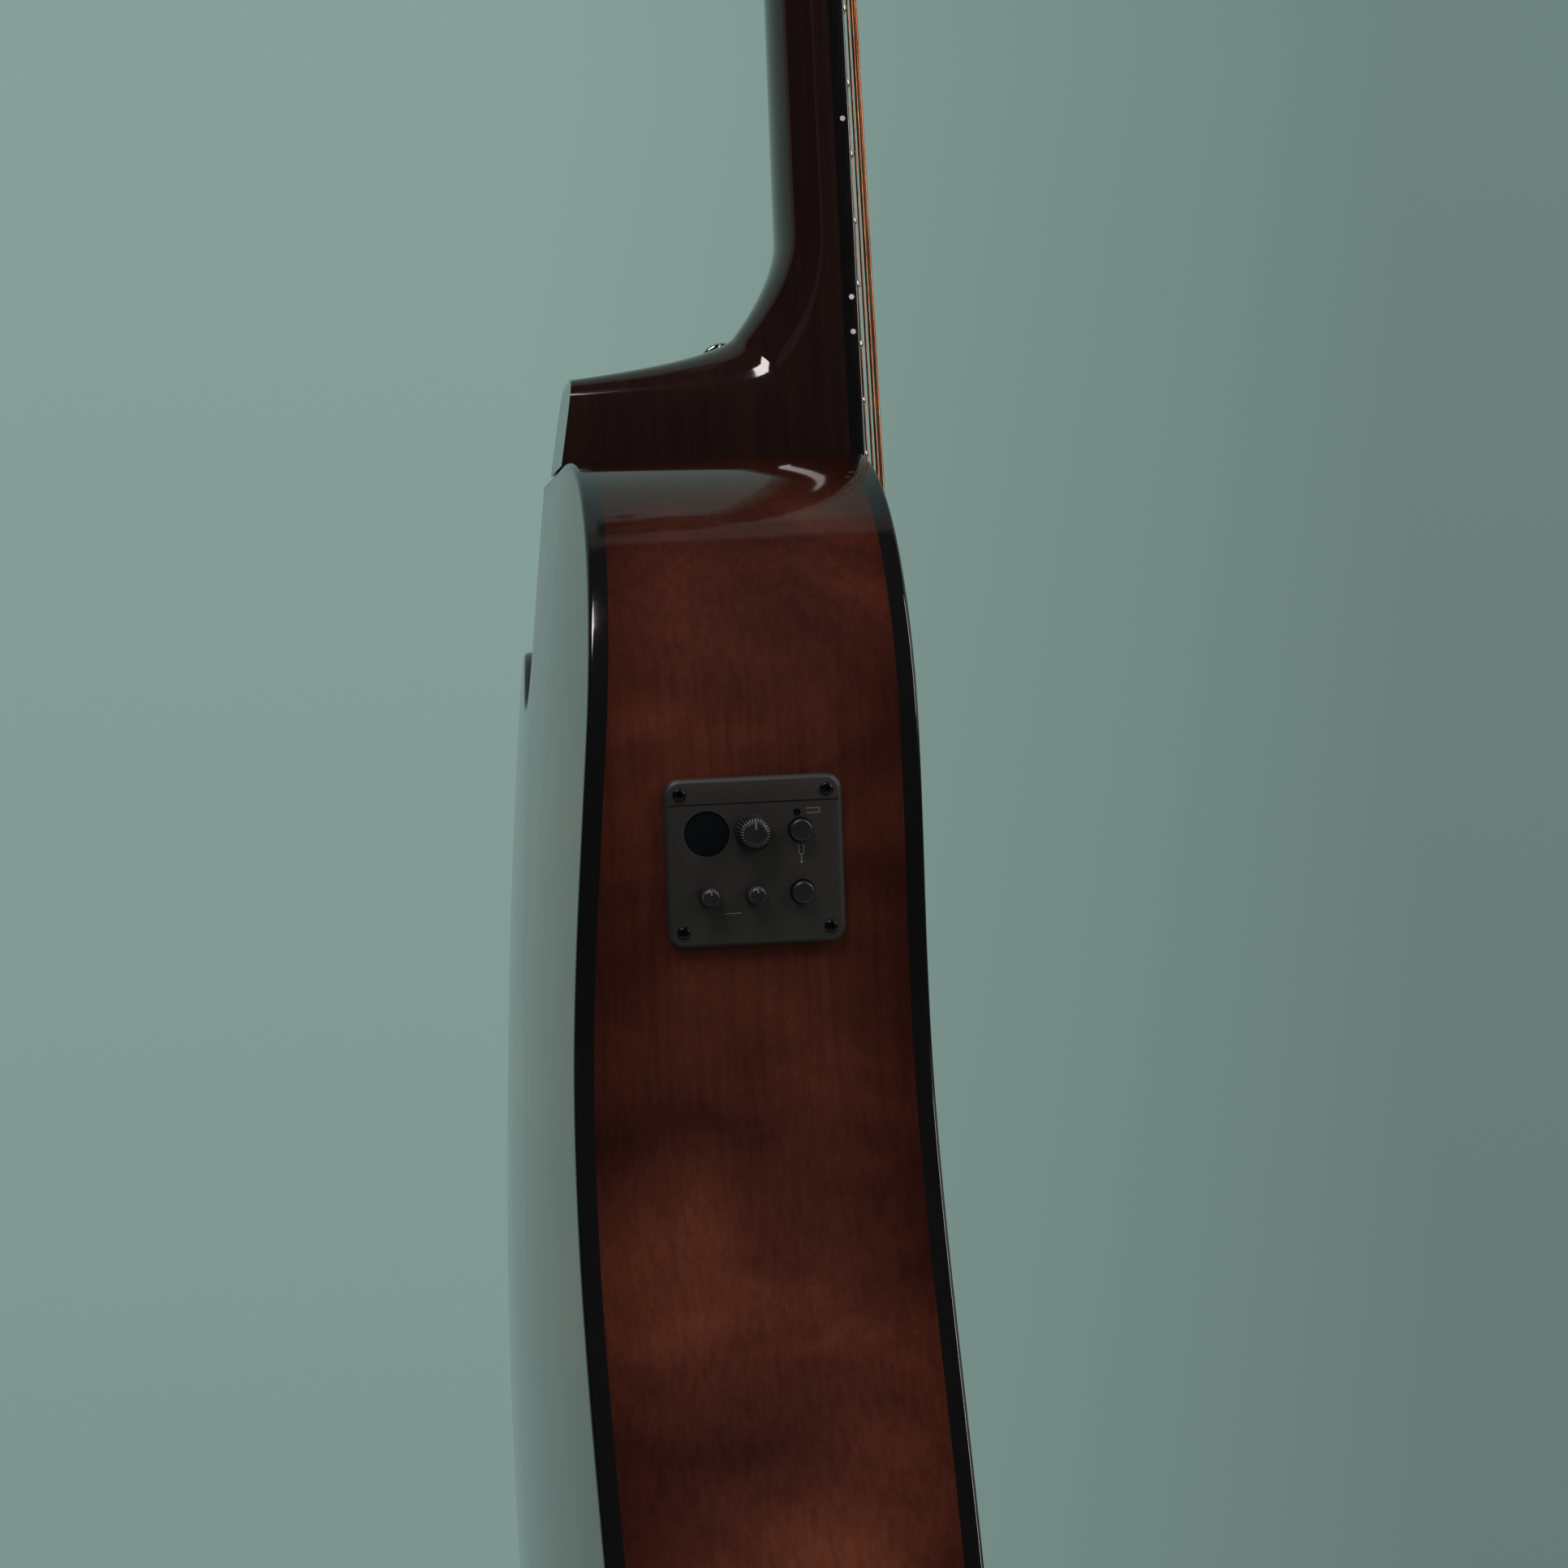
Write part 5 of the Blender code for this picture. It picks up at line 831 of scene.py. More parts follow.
def figured_lacquer(name, dark, middle, light, edge=None):
    """Glossy stained wood with a cloudy figure, its grain along the neck."""
    paint = Nodes(name, middle, 0.07)
    cloud = paint.noise(paint.place((9, 12, 22)), 1.0, 3, 0.5)
    broad = paint.noise(paint.place((6, 7, 8)), 1.0, 1, 0.2)
    blend = paint.math("ADD", paint.math("MULTIPLY", cloud, 0.6), paint.math("MULTIPLY", broad, 0.4))
    colour = paint.ramp(blend, ((0.36, dark), (0.50, middle), (0.64, light)))
    grain = paint.noise(paint.place((420, 420, 14)), 1.0, 4, 0.1)
    lines = paint.ramp(grain, ((0.3, (0.35, 0.3, 0.3)), (0.62, (1, 1, 1))))
    colour = paint.mix(0.35, colour, lines, "MULTIPLY")
    speck = paint.noise(paint.place((900, 900, 500)), 1.0, 2)
    dots = paint.ramp(speck, ((0.35, (0.6, 0.6, 0.6)), (0.6, (1.15, 1.1, 1.1))))
    colour = paint.mix(0.25, colour, dots, "MULTIPLY")
    if edge:
        share = paint.split(paint.place((1, 1, 1), "UV"))[1]
        off = paint.math("ABSOLUTE", paint.math("SUBTRACT", share, 0.5))
        colour = paint.mix(1.0, colour, paint.ramp(off, ((0.20, (1, 1, 1)), (0.50, edge))), "MULTIPLY")
    paint.colour(colour)
    paint.bump(paint.noise(paint.place((35, 35, 28)), 1.0, 1), 0.12 * MM, 0.35)
    return paint


def noisy(name, colour, roughness, metallic, scale, noise, tones=None, gloss=None, relief=None):
    """A finish with one noise, which may vary its colour, its roughness and its relief."""
    paint = Nodes(name, colour, roughness, metallic)
    grit = paint.noise(paint.place(scale), 1.0, *noise)
    if tones:
        paint.colour(paint.ramp(grit, tones))
    if gloss:
        paint.rough(grit, *gloss)
    if relief:
        paint.bump(grit, *relief)
    return paint


def make_paints():
    """All finishes by name."""
    paints = {}
    sides = figured_lacquer(
        "side_lacquer",
        (0.044, 0.0135, 0.0105), (0.090, 0.025, 0.0165), (0.165, 0.047, 0.026), (0.42, 0.36, 0.36),
    )
    # Sunburst stain and painted shade on the sides: a tint by height, darkest by the heel and darker again at
    # the waist
    height = sides.split(sides.place((1, 1, 1)))[2]
    reach = {"Value": height, "From Min": -JOINT, "From Max": -JOINT - SIDE_STAIN_AND_SHADE_REACH}
    share = sides.add("ShaderNodeMapRange", reach).outputs[0]
    shade = sides.ramp(share, [(place, (level, level, level)) for place, level in SIDE_STAIN_AND_SHADE_LEVELS])
    sides.tint(shade)
    paints["sides"] = sides
    paints["back"] = figured_lacquer(
        "back_lacquer", (0.030, 0.010, 0.007), (0.062, 0.019, 0.011), (0.115, 0.036, 0.018)
    )
    top = figured_lacquer("top_lacquer", (0.085, 0.024, 0.010), (0.165, 0.050, 0.016), (0.290, 0.098, 0.028))
    spot = top.add("ShaderNodeTexCoord").outputs["Object"]
    reaches = []
    for drop, radius in ((112 * MM, 150 * MM), (372 * MM, 203 * MM)):
        centre = (0, 0, -(JOINT + drop))
        gap = top.add("ShaderNodeVectorMath", {0: spot, 1: centre}, operation="DISTANCE").outputs["Value"]
        reaches.append(top.math("DIVIDE", gap, radius))
    lobes = {0: reaches[0], 1: reaches[1], 2: 0.18}
    edge = top.add("ShaderNodeMath", lobes, operation="SMOOTH_MIN").outputs[0]
    burst = top.ramp(edge, ((0.60, (1, 1, 1)), (0.82, (0.36, 0.25, 0.22)), (0.97, (0.06, 0.05, 0.05))))
    top.tint(burst)
    paints["top"] = top

    neck = Nodes("neck_lacquer", (0.012, 0.006, 0.0055), 0.055)
    grain = neck.noise(neck.place((260, 260, 9)), 1.0, 4, 0.2)
    neck.colour(neck.ramp(grain, ((0.35, (0.0115, 0.0056, 0.0050)), (0.7, (0.0165, 0.0078, 0.0066)))))
    neck.bump(neck.noise(neck.place((30, 30, 12)), 1.0, 1), 0.10 * MM, 0.3)
    paints["neck"] = neck

    bronze = Nodes("wound_bronze", (0.40, 0.17, 0.08), 0.24, 1.0)
    along = bronze.split(bronze.place((1, 1, 1), "UV"))[0]
    wave = bronze.math("SINE", bronze.math("MULTIPLY", along, 2 * math.pi / WRAP_PITCH))
    bronze.bump(wave, 0.05 * MM, 0.35)
    tint = bronze.noise(bronze.place((60, 60, 60)), 1.0, 3)
    bronze.colour(bronze.ramp(tint, ((0.35, (0.30, 0.11, 0.045)), (0.65, (0.48, 0.22, 0.11)))))
    paints["bronze"] = bronze

    for key, values in PLAIN_PAINTS.items():
        paints[key] = noisy(*values)
    return {name: paint.material for name, paint in paints.items()}


def rim(name, profile, paint, slot, nodes, smooth_angle=35):
    """A band swept round the body from (inset, depth function) corners of its section."""
    rows = []
    for distance, depth in profile:
        points = inset(OUTLINE, distance) if distance else OUTLINE
        rows.append([(x, depth(x, z), -z) for x, z in points])
    mesh = loft(name, [list(section) for section in zip(*rows)], closed=True)
    layer = mesh.uv_layers.new(name="UVMap")
    for loop in mesh.loops:
        x, y, z = mesh.vertices[loop.vertex_index].co
        layer.data[loop.index].uv = (-z, y / back_y(x, -z))
    return hug(piece(name, mesh, paint, smooth_angle), nodes)


def front_depth(depth):
    return lambda x, distance: depth


def back_depth(depth):
    return lambda x, distance: back_y(x, distance) - depth


def quarter(radius, steps=6):
    """Corner offsets of a quarter round, from the side to the face."""
    turns = [math.pi / 2 * step / steps for step in range(steps + 1)]
    return [(radius * (1 - math.cos(turn)), radius * (1 - math.sin(turn))) for turn in turns]


def make_rims(paints):
    """The bent sides and the two bindings with their rounded edges."""
    edge = BINDING_HEIGHT + GLUE_GAP
    thick = SIDE_THICKNESS
    front = front_depth(edge)
    back = back_depth(edge)
    profile = [(0, front), (0, back), (thick, back), (thick, front)]
    sides = rim("side_shell", profile, paints["sides"], "sides", ["sides"])
    opening = (PANEL_WIDTH - 2 * PANEL_LIP, PANEL_LENGTH - 2 * PANEL_LIP, 30 * MM)
    cut(sides, [box_mesh("opening", opening, PREAMP)])
    ends = [(0, JACK_Y, -TAIL + way * 8 * MM) for way in (-1, 1)]
    cut(sides, [rod_mesh("jack_hole", *ends, JACK_BARREL_DIAMETER + 2 * GLUE_GAP)])
    finish_piece(sides, paints["sides"])
    width = PLATE_INSET - SEAM
    height = edge - SEAM
    for name, node, depth in (
        ("binding_front", "binding_top", front_depth),
        ("binding_rear", "binding_back", back_depth),
    ):
        profile = [(0, depth(height))]
        profile += [(across, depth(down)) for across, down in quarter(BINDING_ROUND)]
        profile += [(width, depth(0)), (width, depth(height))]
        rim(name, profile, paints["binding"], node, [node])


def rings_between(inner, outer, shares):
    """Closed outlines from one to another at given shares of the way."""
    found = []
    for share in shares:
        found.append(
            [(a[0] + (b[0] - a[0]) * share, a[1] + (b[1] - a[1]) * share) for a, b in zip(inner, outer)]
        )
    return found


def make_plates(paints):
    """The flat soundboard with its soundhole, and the domed back."""
    outer = inset(OUTLINE, PLATE_INSET)
    radius = SOUNDHOLE_DIAMETER / 2
    hole = []
    for x, distance in outer:
        away = Vector((x, distance - HOLE_CENTRE)).normalized() * radius
        hole.append((away.x, HOLE_CENTRE + away.y))
    shares = [0, 0.02, 0.1, 0.25, 0.5, 0.75, 0.95, 1]
    soft = 0.35 * MM
    front = rings_between(hole, outer, shares)
    rings = [[(x, soft, -z) for x, z in front[0]]]
    lip = rings_between(hole, outer, [0.004])[0]
    rings.append([(x, 0, -z) for x, z in lip])
    rings += [[(x, 0, -z) for x, z in ring] for ring in front[1:]]
    rings += [[(x, PLATE_THICKNESS, -z) for x, z in ring] for ring in reversed(front)]
    mesh = loft("soundboard_plate", rings, closed=True)
    hug(piece("soundboard_plate", mesh, paints["top"]), ["soundboard"])

    middle = (0, JOINT + 260 * MM)
    start = [(middle[0] + (x - middle[0]) * 0.02, middle[1] + (z - middle[1]) * 0.02) for x, z in outer]
    shares = [0, 0.1, 0.2, 0.3, 0.4, 0.5, 0.6, 0.7, 0.8, 0.88, 0.94, 0.98, 1]
    flat = rings_between(start, outer, shares)
    rings = [[(x, back_y(x, z), -z) for x, z in ring] for ring in flat]
    rings += [[(x, back_y(x, z) - PLATE_THICKNESS, -z) for x, z in ring] for ring in reversed(flat)]
    mesh = loft("back_plate", rings)
    back = piece("back_plate", mesh, paints["back"])
    hug(back, ["back"])
    for index, drop in enumerate(BACK_BRACE_DROPS):
        make_back_brace(index + 1, drop, paints["spruce"])


def make_back_brace(number, drop, paint):
    """A brace that follows the back's dome, its ends thinned."""
    distance = JOINT + drop
    reach = 0.0
    for (x, z), (after, then) in zip(OUTLINE, OUTLINE[1:]):
        if min(z, then) <= distance <= max(z, then) and x < 0:
            reach = -x
    reach -= 12 * MM
    right = min(reach, 40 * MM) if drop < CUTAWAY_CLEAR else reach
    rings = []
    steps = 24
    for step in range(steps + 1):
        x = -reach + (reach + right) * step / steps
        fall = min(min(step, steps - step) / 4, 1)
        tall = 3 * MM + 10 * MM * fall
        foot = back_y(x, distance) - PLATE_THICKNESS + SEAM
        section = ((-1, 0), (1, 0), (0.8, tall * 0.8), (0.4, tall), (-0.4, tall), (-0.8, tall * 0.8))
        rings.append([(x, foot - depth, -(distance + side * 4 * MM)) for side, depth in section])
    brace = piece("back_brace_%d" % number, loft("brace", rings), paint)
    hug(brace, [])


def headstock_outline():
    """The flared outline with a low crown, as (x, along) in the headstock's own plane."""
    neck = NUT_WIDTH / 2
    half = HEADSTOCK_WIDTH / 2
    crown = HEADSTOCK_CROWN_WIDTH / 2
    side_top = HEADSTOCK_LENGTH - HEADSTOCK_CROWN
    flare = HEADSTOCK_FLARE
    right = [(neck, 0)]
    right += bezier((neck, 0), (neck, 12 * MM), (half, flare - 16 * MM), (half, flare), 20)
    right += bezier(
        (half, flare), (half - 2 * MM, 90 * MM), (crown + 1 * MM, 140 * MM), (crown, side_top), 16
    )
    right += bezier(
        (crown, side_top), (crown - 14 * MM, side_top + 5 * MM), (10 * MM, HEADSTOCK_LENGTH),
        (0, HEADSTOCK_LENGTH),
        16,
    )
    return right + [(-x, along) for x, along in reversed(right[:-1])]


def tuner_places():
    """Number, side and place along the headstock, in the order of the strings from the low E."""
    places = []
    for index in range(6):
        side = -1 if index < 3 else 1
        along = TUNER_ALONG[index] if index < 3 else TUNER_ALONG[5 - index]
        places.append((index + 1, side, along))
    return places


def make_neck(paints):
    """The neck with its heel, joined to the headstock's slab."""
    neck = piece("neck_and_headstock", loft("neck", neck_rings()), paints["neck"])
    front = [(x, 0, along) for x, along in headstock_outline()]
    back = [(x, HEADSTOCK_THICKNESS, along) for x, along in headstock_outline()]
    slab = link("slab", loft("slab", [front, back]))
    bevel(slab, 1.6 * MM, 4, 50)
    bake(slab)
    slab.data.transform(HEADSTOCK)
    combine(neck, slab, "UNION")
    holes = []
    for index, side, along in tuner_places():
        ends = [
            HEADSTOCK @ Vector((side * TUNER_POST_X, depth, along))
            for depth in (-10 * MM, HEADSTOCK_THICKNESS + 10 * MM)
        ]
        holes.append(rod_mesh("hole", *ends, TUNER_BUSH_DIAMETER + 2 * GLUE_GAP))
    channel = (TRUSS_ROD_WIDTH + 2 * GLUE_GAP, 2 * (TRUSS_ROD_DEPTH + 2 * GLUE_GAP), JOINT + 18 * MM)
    place = Matrix.Translation((0, 0, ROD_POCKET - channel[2] / 2))
    holes.append(box_mesh("channel", channel, place))
    cut(neck, holes)
    finish_piece(neck, paints["neck"], 38)
    hug(neck, ["neck"])


def between_frets(fret):
    return (fret_distance(fret - 1) + fret_distance(fret)) / 2


def dot_mesh(diameter, flat, place, direction, sides):
    """A round inlay that stands barely proud of the board."""
    profile = ((diameter / 2, -0.5 * MM), (diameter / 2, 0.03 * MM), (flat, 0.05 * MM))
    return lathe("dot", profile, place, direction, sides)


def make_fretboard(paints):
    """The rounded board, its frets and its dots."""
    rings = []
    steps = 20
    stations = [BOARD_END * step / 30 for step in range(31)]
    for distance in stations:
        half = neck_half_width(distance) - 0.1 * MM
        ring = [(-half, -SEAM, -distance), (half, -SEAM, -distance)]
        top = board_top(half)
        ring.append((half, -(top - 0.5 * MM), -distance))
        for step in range(steps + 1):
            x = (half - 0.35 * MM) * (1 - 2 * step / steps)
            ring.append((x, -board_top(x), -distance))
        ring.append((-half, -(top - 0.5 * MM), -distance))
        rings.append(ring)
    board = piece("fingerboard", loft("board", rings), paints["rosewood"], 40)
    board.data.materials.append(paints["board_edge"])
    for face in board.data.polygons:
        face.material_index = 1 if abs(face.normal.x) > 0.6 else 0
    hug(board, ["fretboard"])
    bm = bmesh.new()
    for fret in range(1, FRET_COUNT + 1):
        add_fret(bm, fret_distance(fret))
    bmesh.ops.recalc_face_normals(bm, faces=bm.faces)
    hug(piece("frets", plain_mesh("frets", bm), paints["nickel"], 50), [])
    side = [between_frets(fret) for fret in DOT_FRETS[:4]]
    side += [between_frets(12) - DOUBLE_DOT_SPREAD, between_frets(12) + DOUBLE_DOT_SPREAD]
    side += [between_frets(fret) for fret in DOT_FRETS[4:]]
    for index, distance in enumerate(side):
        x = -(neck_half_width(distance) - 0.1 * MM)
        mesh = dot_mesh(SIDE_DOT_DIAMETER, 0.3 * MM, (x, -SIDE_DOT_DEPTH, -distance), (-1, 0, 0), 24)
        hug(piece("side_dot_%d" % (index + 1), mesh, paints["pearl"]), [])
    face = [(0, between_frets(fret)) for fret in DOT_FRETS]
    face += [(-11 * MM, between_frets(12)), (11 * MM, between_frets(12))]
    for index, (x, distance) in enumerate(face):
        mesh = dot_mesh(FACE_DOT_DIAMETER, 0.5 * MM, (x, -board_top(x), -distance), (0, -1, 0), 36)
        hug(piece("face_dot_%d" % (index + 1), mesh, paints["pearl"]), [])


def add_fret(bm, distance):
    """One crowned fret wire with sloped ends."""
    half = neck_half_width(distance) - 0.15 * MM
    rings = []
    for share in [-1, -0.985, -0.955] + [step / 10 for step in range(-9, 10)] + [0.955, 0.985, 1]:
        x = half * share
        lift = 1 if abs(share) < 0.96 else (0.75 if abs(share) < 0.99 else 0.15)
        ring = []
        for step in range(9):
            angle = math.pi * step / 8
            z = FRET_WIDTH / 2 * math.cos(angle)
            y = board_top(x) - FRET_SINK + (FRET_HEIGHT + FRET_SINK) * lift * math.sin(angle) ** 0.8
            ring.append((x, -y, -distance + z))
        rings.append(ring)
    skin(bm, rings)


def saddle_distance(x):
    """Distance from the nut to the slanted saddle's middle."""
    return SCALE_LENGTH + SADDLE_SHIFT - x * math.tan(SADDLE_SLANT)


def winding(number):
    """The string from the nut to its post and round it."""
    thick = STRING_DIAMETERS[number]
    _, side, along = tuner_places()[number]
    centre = Vector((side * TUNER_POST_X, along))
    radius = TUNER_POST_DIAMETER / 2 + TURN_GAP + thick / 2
    leave = Vector((string_x(number, -NUT_THICKNESS), -string_height(number, -NUT_THICKNESS), NUT_THICKNESS))
    start = HEADSTOCK.inverted() @ leave
    away = Vector((start.x, start.z)) - centre
    spread = math.acos(radius / away.length)
    facing = math.atan2(away.y, away.x)
    first = facing + spread if side < 0 else facing - spread
    turn = 1 if side < 0 else -1
    points = []
    for step in range(int(WIND_TURNS * WIND_POINTS) + 1):
        share = step / WIND_POINTS
        angle = first + turn * 2 * math.pi * share
        x = centre.x + radius * math.cos(angle)
        s = centre.y + radius * math.sin(angle)
        points.append(HEADSTOCK @ Vector((x, -(WIND_TOP - (thick + WIND_GAP) * share), s)))
    return points


def make_strings(paints):
    """Each string from its ball end through bridge, saddle and nut to its post."""
    for number, thick in enumerate(STRING_DIAMETERS):
        at_saddle = string_x(number, SCALE_LENGTH)
        distance = saddle_distance(at_saddle)
        hole_z = -distance - STRING_HOLE_BACK
        under = PLATE_THICKNESS + BRIDGE_PLATE_THICKNESS + 2.6 * MM
        ball = 1.9 * MM / (thick / 2)
        points = [
            (at_saddle, under + 1.5 * MM, hole_z), (at_saddle, under, hole_z),
            (at_saddle, under - 1 * MM, hole_z),
            (at_saddle, -BRIDGE_HEIGHT - thick / 2 - 0.5 * MM, hole_z),
        ]
        radii = [ball, ball, 1, 1]
        steps = 24
        ends = (distance, -NUT_THICKNESS * 0.1)
        for step in range(steps + 1):
            place = ends[0] + (ends[1] - ends[0]) * step / steps
            points.append((string_x(number, place), -string_height(number, place), -place))
        place = -NUT_THICKNESS * 0.9
        points.append((string_x(number, place), -string_height(number, place), -place))
        points += winding(number)
        radii += [1] * (len(points) - len(radii))
        wound = number < 4
        name = "string_wire_%d" % (number + 1)
        paint = paints["bronze"] if wound else paints["steel"]
        wire = tube(name, points, thick / 2, paint, 14, radii)
        hug(wire, ["string_%d" % (number + 1)])


def rounded_rectangle(width, height, radius, steps=10):
    points = []
    for corner, (sx, sy) in enumerate(((1, 1), (-1, 1), (-1, -1), (1, -1))):
        for step in range(steps + 1):
            angle = math.pi / 2 * (corner + step / steps)
            x = sx * (width / 2 - radius) + radius * math.cos(angle)
            y = sy * (height / 2 - radius) + radius * math.sin(angle)
            points.append((x, y))
    return points


def knurled(name, diameter, height, ribs, top_share):
    """A tapered knob with raised ribs, a plain rim below and a dished flat top."""
    low = PANEL_TOP + TURN_GAP
    rings = []
    per_rib = 6
    stations = (
        (-0.05, 0.5, 0), (0.0, 0.97, 0), (0.10, 1.0, 0), (0.16, 0.995, 0.2), (0.24, 0.97, 1),
        (0.55, 0.5 + 0.5 * top_share + 0.08, 1),
        (RIB_GLINT_FROM, 0.2 + 0.8 * top_share + 0.05, 1),
        (0.88, top_share + 0.04, 1), (0.96, top_share, 0.4), (1.0, top_share - 0.10, 0),
        (0.985, top_share - 0.2, 0), (0.97, 0.1, 0),
    )
    for rise, size, depth in stations:
        ring = []
        for angle in turns(ribs * per_rib):
            wave = 0.5 + 0.5 * math.cos(angle * ribs)
            radius = diameter / 2 * size * (1 - RIB_DEPTH * depth * wave)
            ring.append((*polar(radius, angle), low + height * rise))
        rings.append(ring)
    return loft(name, rings)


def paint_rib_glints(knob, paint, height, ribs):
    """Painted glints: the crests of a knob's ribs next to its flat top get a pale finish that stands in for
    highlights.
    """
    knob.data.materials.append(paint)
    low = PANEL_TOP + TURN_GAP
    for face in knob.data.polygons:
        rise = (face.center.z - low) / height
        crest = math.cos(math.atan2(face.center.y, face.center.x) * ribs) < -0.5
        if crest and RIB_GLINT_FROM < rise < RIB_GLINT_TO:
            face.material_index = 1


def on_panel(mesh, x=0, y=0):
    mesh.transform(PREAMP @ Matrix.Translation((x, y, 0)))
    return mesh


def cross_screw(name, x, y, paint):
    """A small pan-head screw with a cross recess."""
    radius = PANEL_SCREW_RADIUS
    top = PANEL_TOP
    profile = (
        (radius * 0.9, top - 0.5 * MM), (radius, top + 0.05 * MM), (radius * 0.96, top + 0.35 * MM),
        (radius * 0.8, top + 0.62 * MM), (radius * 0.5, top + 0.78 * MM), (radius * 0.1, top + 0.82 * MM),
    )
    head = piece(name, lathe("head", profile, sides=32), paint, 40)
    arms = []
    for turn in (0.6, 0.6 + math.pi / 2):
        place = Matrix.Translation((0, 0, top + 0.7 * MM)) @ Matrix.Rotation(turn, 4, "Z")
        arms.append(box_mesh("arm", (2.1 * MM, 0.5 * MM, 0.9 * MM), place))
    cut(head, arms[:1])
    cut(head, arms[1:])
    on_panel(head.data, x, y)
    finish_piece(head, paint, 40)
    return hug(head, [])


def panel_ring(shrink, height, corner=PANEL_CORNER):
    outline = rounded_rectangle(PANEL_WIDTH - shrink, PANEL_LENGTH - shrink, corner)
    return [(x, y, height) for x, y in outline]


def make_cover(paint, lamp):
    """The preamp's cover with its rounded edge and its openings."""
    rings = [
        panel_ring(1 * MM, PANEL_SEAT - 0.75 * MM),
        panel_ring(0, PANEL_TOP - PANEL_EDGE - 0.3 * MM),
        panel_ring(0.1 * MM, PANEL_TOP - PANEL_EDGE),
    ]
    for step in range(1, 5):
        share = step / 4
        fall = PANEL_EDGE * (1 - share) ** 1.6
        shrink = 2 * PANEL_EDGE * 1.25 * share
        rings.append(panel_ring(shrink, PANEL_TOP - fall, PANEL_CORNER - shrink / 2))
    panel = piece("panel_cover", loft("panel", rings), paint)
    left, middle, right = CONTROL_COLUMNS
    upper, lower = CONTROL_ROW_UPPER, CONTROL_ROW_LOWER
    knob = KNOB_SHAFT + 2 * TURN_GAP
    button = BUTTON_DIAMETER + 2 * TURN_GAP
    bores = [(middle, upper, knob), (left, lower, knob), (middle, lower, knob)]
    bores += [(right, upper, button), (right, lower, button), (left, upper, DISPLAY_DIAMETER + 0.4 * MM)]
    holes = [rod_mesh("hole", (x, y, -5 * MM), (x, y, BORE_END), bore, 48) for x, y, bore in bores]
    holes.append(rod_mesh("lamp", (*lamp, PANEL_TOP - 1.2 * MM), (*lamp, BORE_END), LAMP_BORE, 24))
    groove = (PANEL_WIDTH - 2.6 * MM, 0.45 * MM, 0.7 * MM)
    holes.append(box_mesh("groove", groove, Matrix.Translation((0, HEADER_Y, PANEL_TOP))))
    cut(panel, holes)
    panel.data.transform(PREAMP)
    finish_piece(panel, paint, 30)
    hug(panel, ["preamp_panel"])


def make_panel(paints):
    """The preamp's cover, its screws, window, marks and controls."""
    left, middle, right = CONTROL_COLUMNS
    upper, lower = CONTROL_ROW_UPPER, CONTROL_ROW_LOWER
    lamp = (right - 0.9 * MM, upper + 5.2 * MM)
    make_cover(paints["panel"], lamp)
    lens = ((0.95 * MM, 1.0 * MM), (0.8 * MM, 0.7 * MM), (0.2 * MM, 0.55 * MM))
    mesh = lathe("lamp", [(radius, PANEL_TOP - depth) for radius, depth in lens], sides=24)
    hug(piece("tuner_lamp", on_panel(mesh, *lamp), paints["lens"]), [])
    radius = DISPLAY_DIAMETER / 2
    profile = (
        (radius, PANEL_SEAT), (radius, PANEL_TOP - 0.45 * MM), (radius - 0.15 * MM, PANEL_TOP - 0.3 * MM),
        (radius * 0.5, PANEL_TOP - 0.28 * MM), (0.3 * MM, PANEL_TOP - 0.27 * MM),
    )
    mesh = on_panel(lathe("window", profile, sides=72), left, upper)
    hug(piece("display_glass", mesh, paints["lens"]), ["display_window"])
    reach_x = PANEL_WIDTH / 2 - PANEL_SCREW_INSET
    reach_y = PANEL_LENGTH / 2 - PANEL_SCREW_INSET
    for index, (sx, sy) in enumerate(((-1, 1), (1, 1), (-1, -1), (1, -1))):
        cross_screw("panel_screw_%d" % (index + 1), sx * reach_x, sy * reach_y, paints["screw"])
    make_marks(paints["mark"])
    for name, x, y, size, ribs, share in (
        ("volume_knob", middle, upper, VOLUME_KNOB, 30, 0.62),
        ("bass_knob", left, lower, TONE_KNOB, 20, 0.70),
        ("treble_knob", middle, lower, TONE_KNOB, 20, 0.70),
    ):
        make_knob(name, (x, y), size, ribs, share, paints)
    for name, y in (("tuner_button", upper), ("phase_button", lower)):
        make_button(name, (right, y), paints["knob"])


def make_knob(name, spot, size, ribs, share, paints):
    """A ribbed knob on its shaft, with its pointer line."""
    diameter, tall = size
    low = PANEL_TOP + TURN_GAP
    knob = piece(name + "_cap", knurled(name, diameter, tall, ribs, share), paints["knob"], 30)
    add_mesh(knob, rod_mesh("shaft", (0, 0, -10 * MM), (0, 0, low), KNOB_SHAFT))
    finish_piece(knob, paints["knob"], 30)
    # Painted glints on the rib crests
    paint_rib_glints(knob, paints["painted_rib_glint"], tall, ribs)
    on_panel(knob.data, *spot)
    hug(knob, [name], name)
    place = Matrix.Translation((0, diameter * share * 0.33, low + tall * 0.97))
    line = on_panel(box_mesh("line", (0.45 * MM, diameter * 0.2, 0.5 * MM), place), *spot)
    hug(piece(name + "_line", line, paints["mark"]), [], name)


def make_button(name, spot, paint):
    """A press button with a rounded edge and a barely domed top."""
    radius = BUTTON_DIAMETER / 2
    top = PANEL_TOP + BUTTON_HEIGHT
    profile = [(radius, PANEL_SEAT - 1 * MM), (radius, top - BUTTON_ROUND)]
    for step in range(1, 7):
        turn = math.pi / 2 * step / 6
        inwards = BUTTON_ROUND * (1 - math.cos(turn))
        profile.append((radius - inwards, top - BUTTON_ROUND * (1 - math.sin(turn))))
    profile += [(radius * 0.4, top + 0.06 * MM), (radius * 0.05, top + 0.08 * MM)]
    mesh = on_panel(lathe(name, profile, sides=48), *spot)
    hug(piece(name + "_cap", mesh, paint, 40), [name], name)


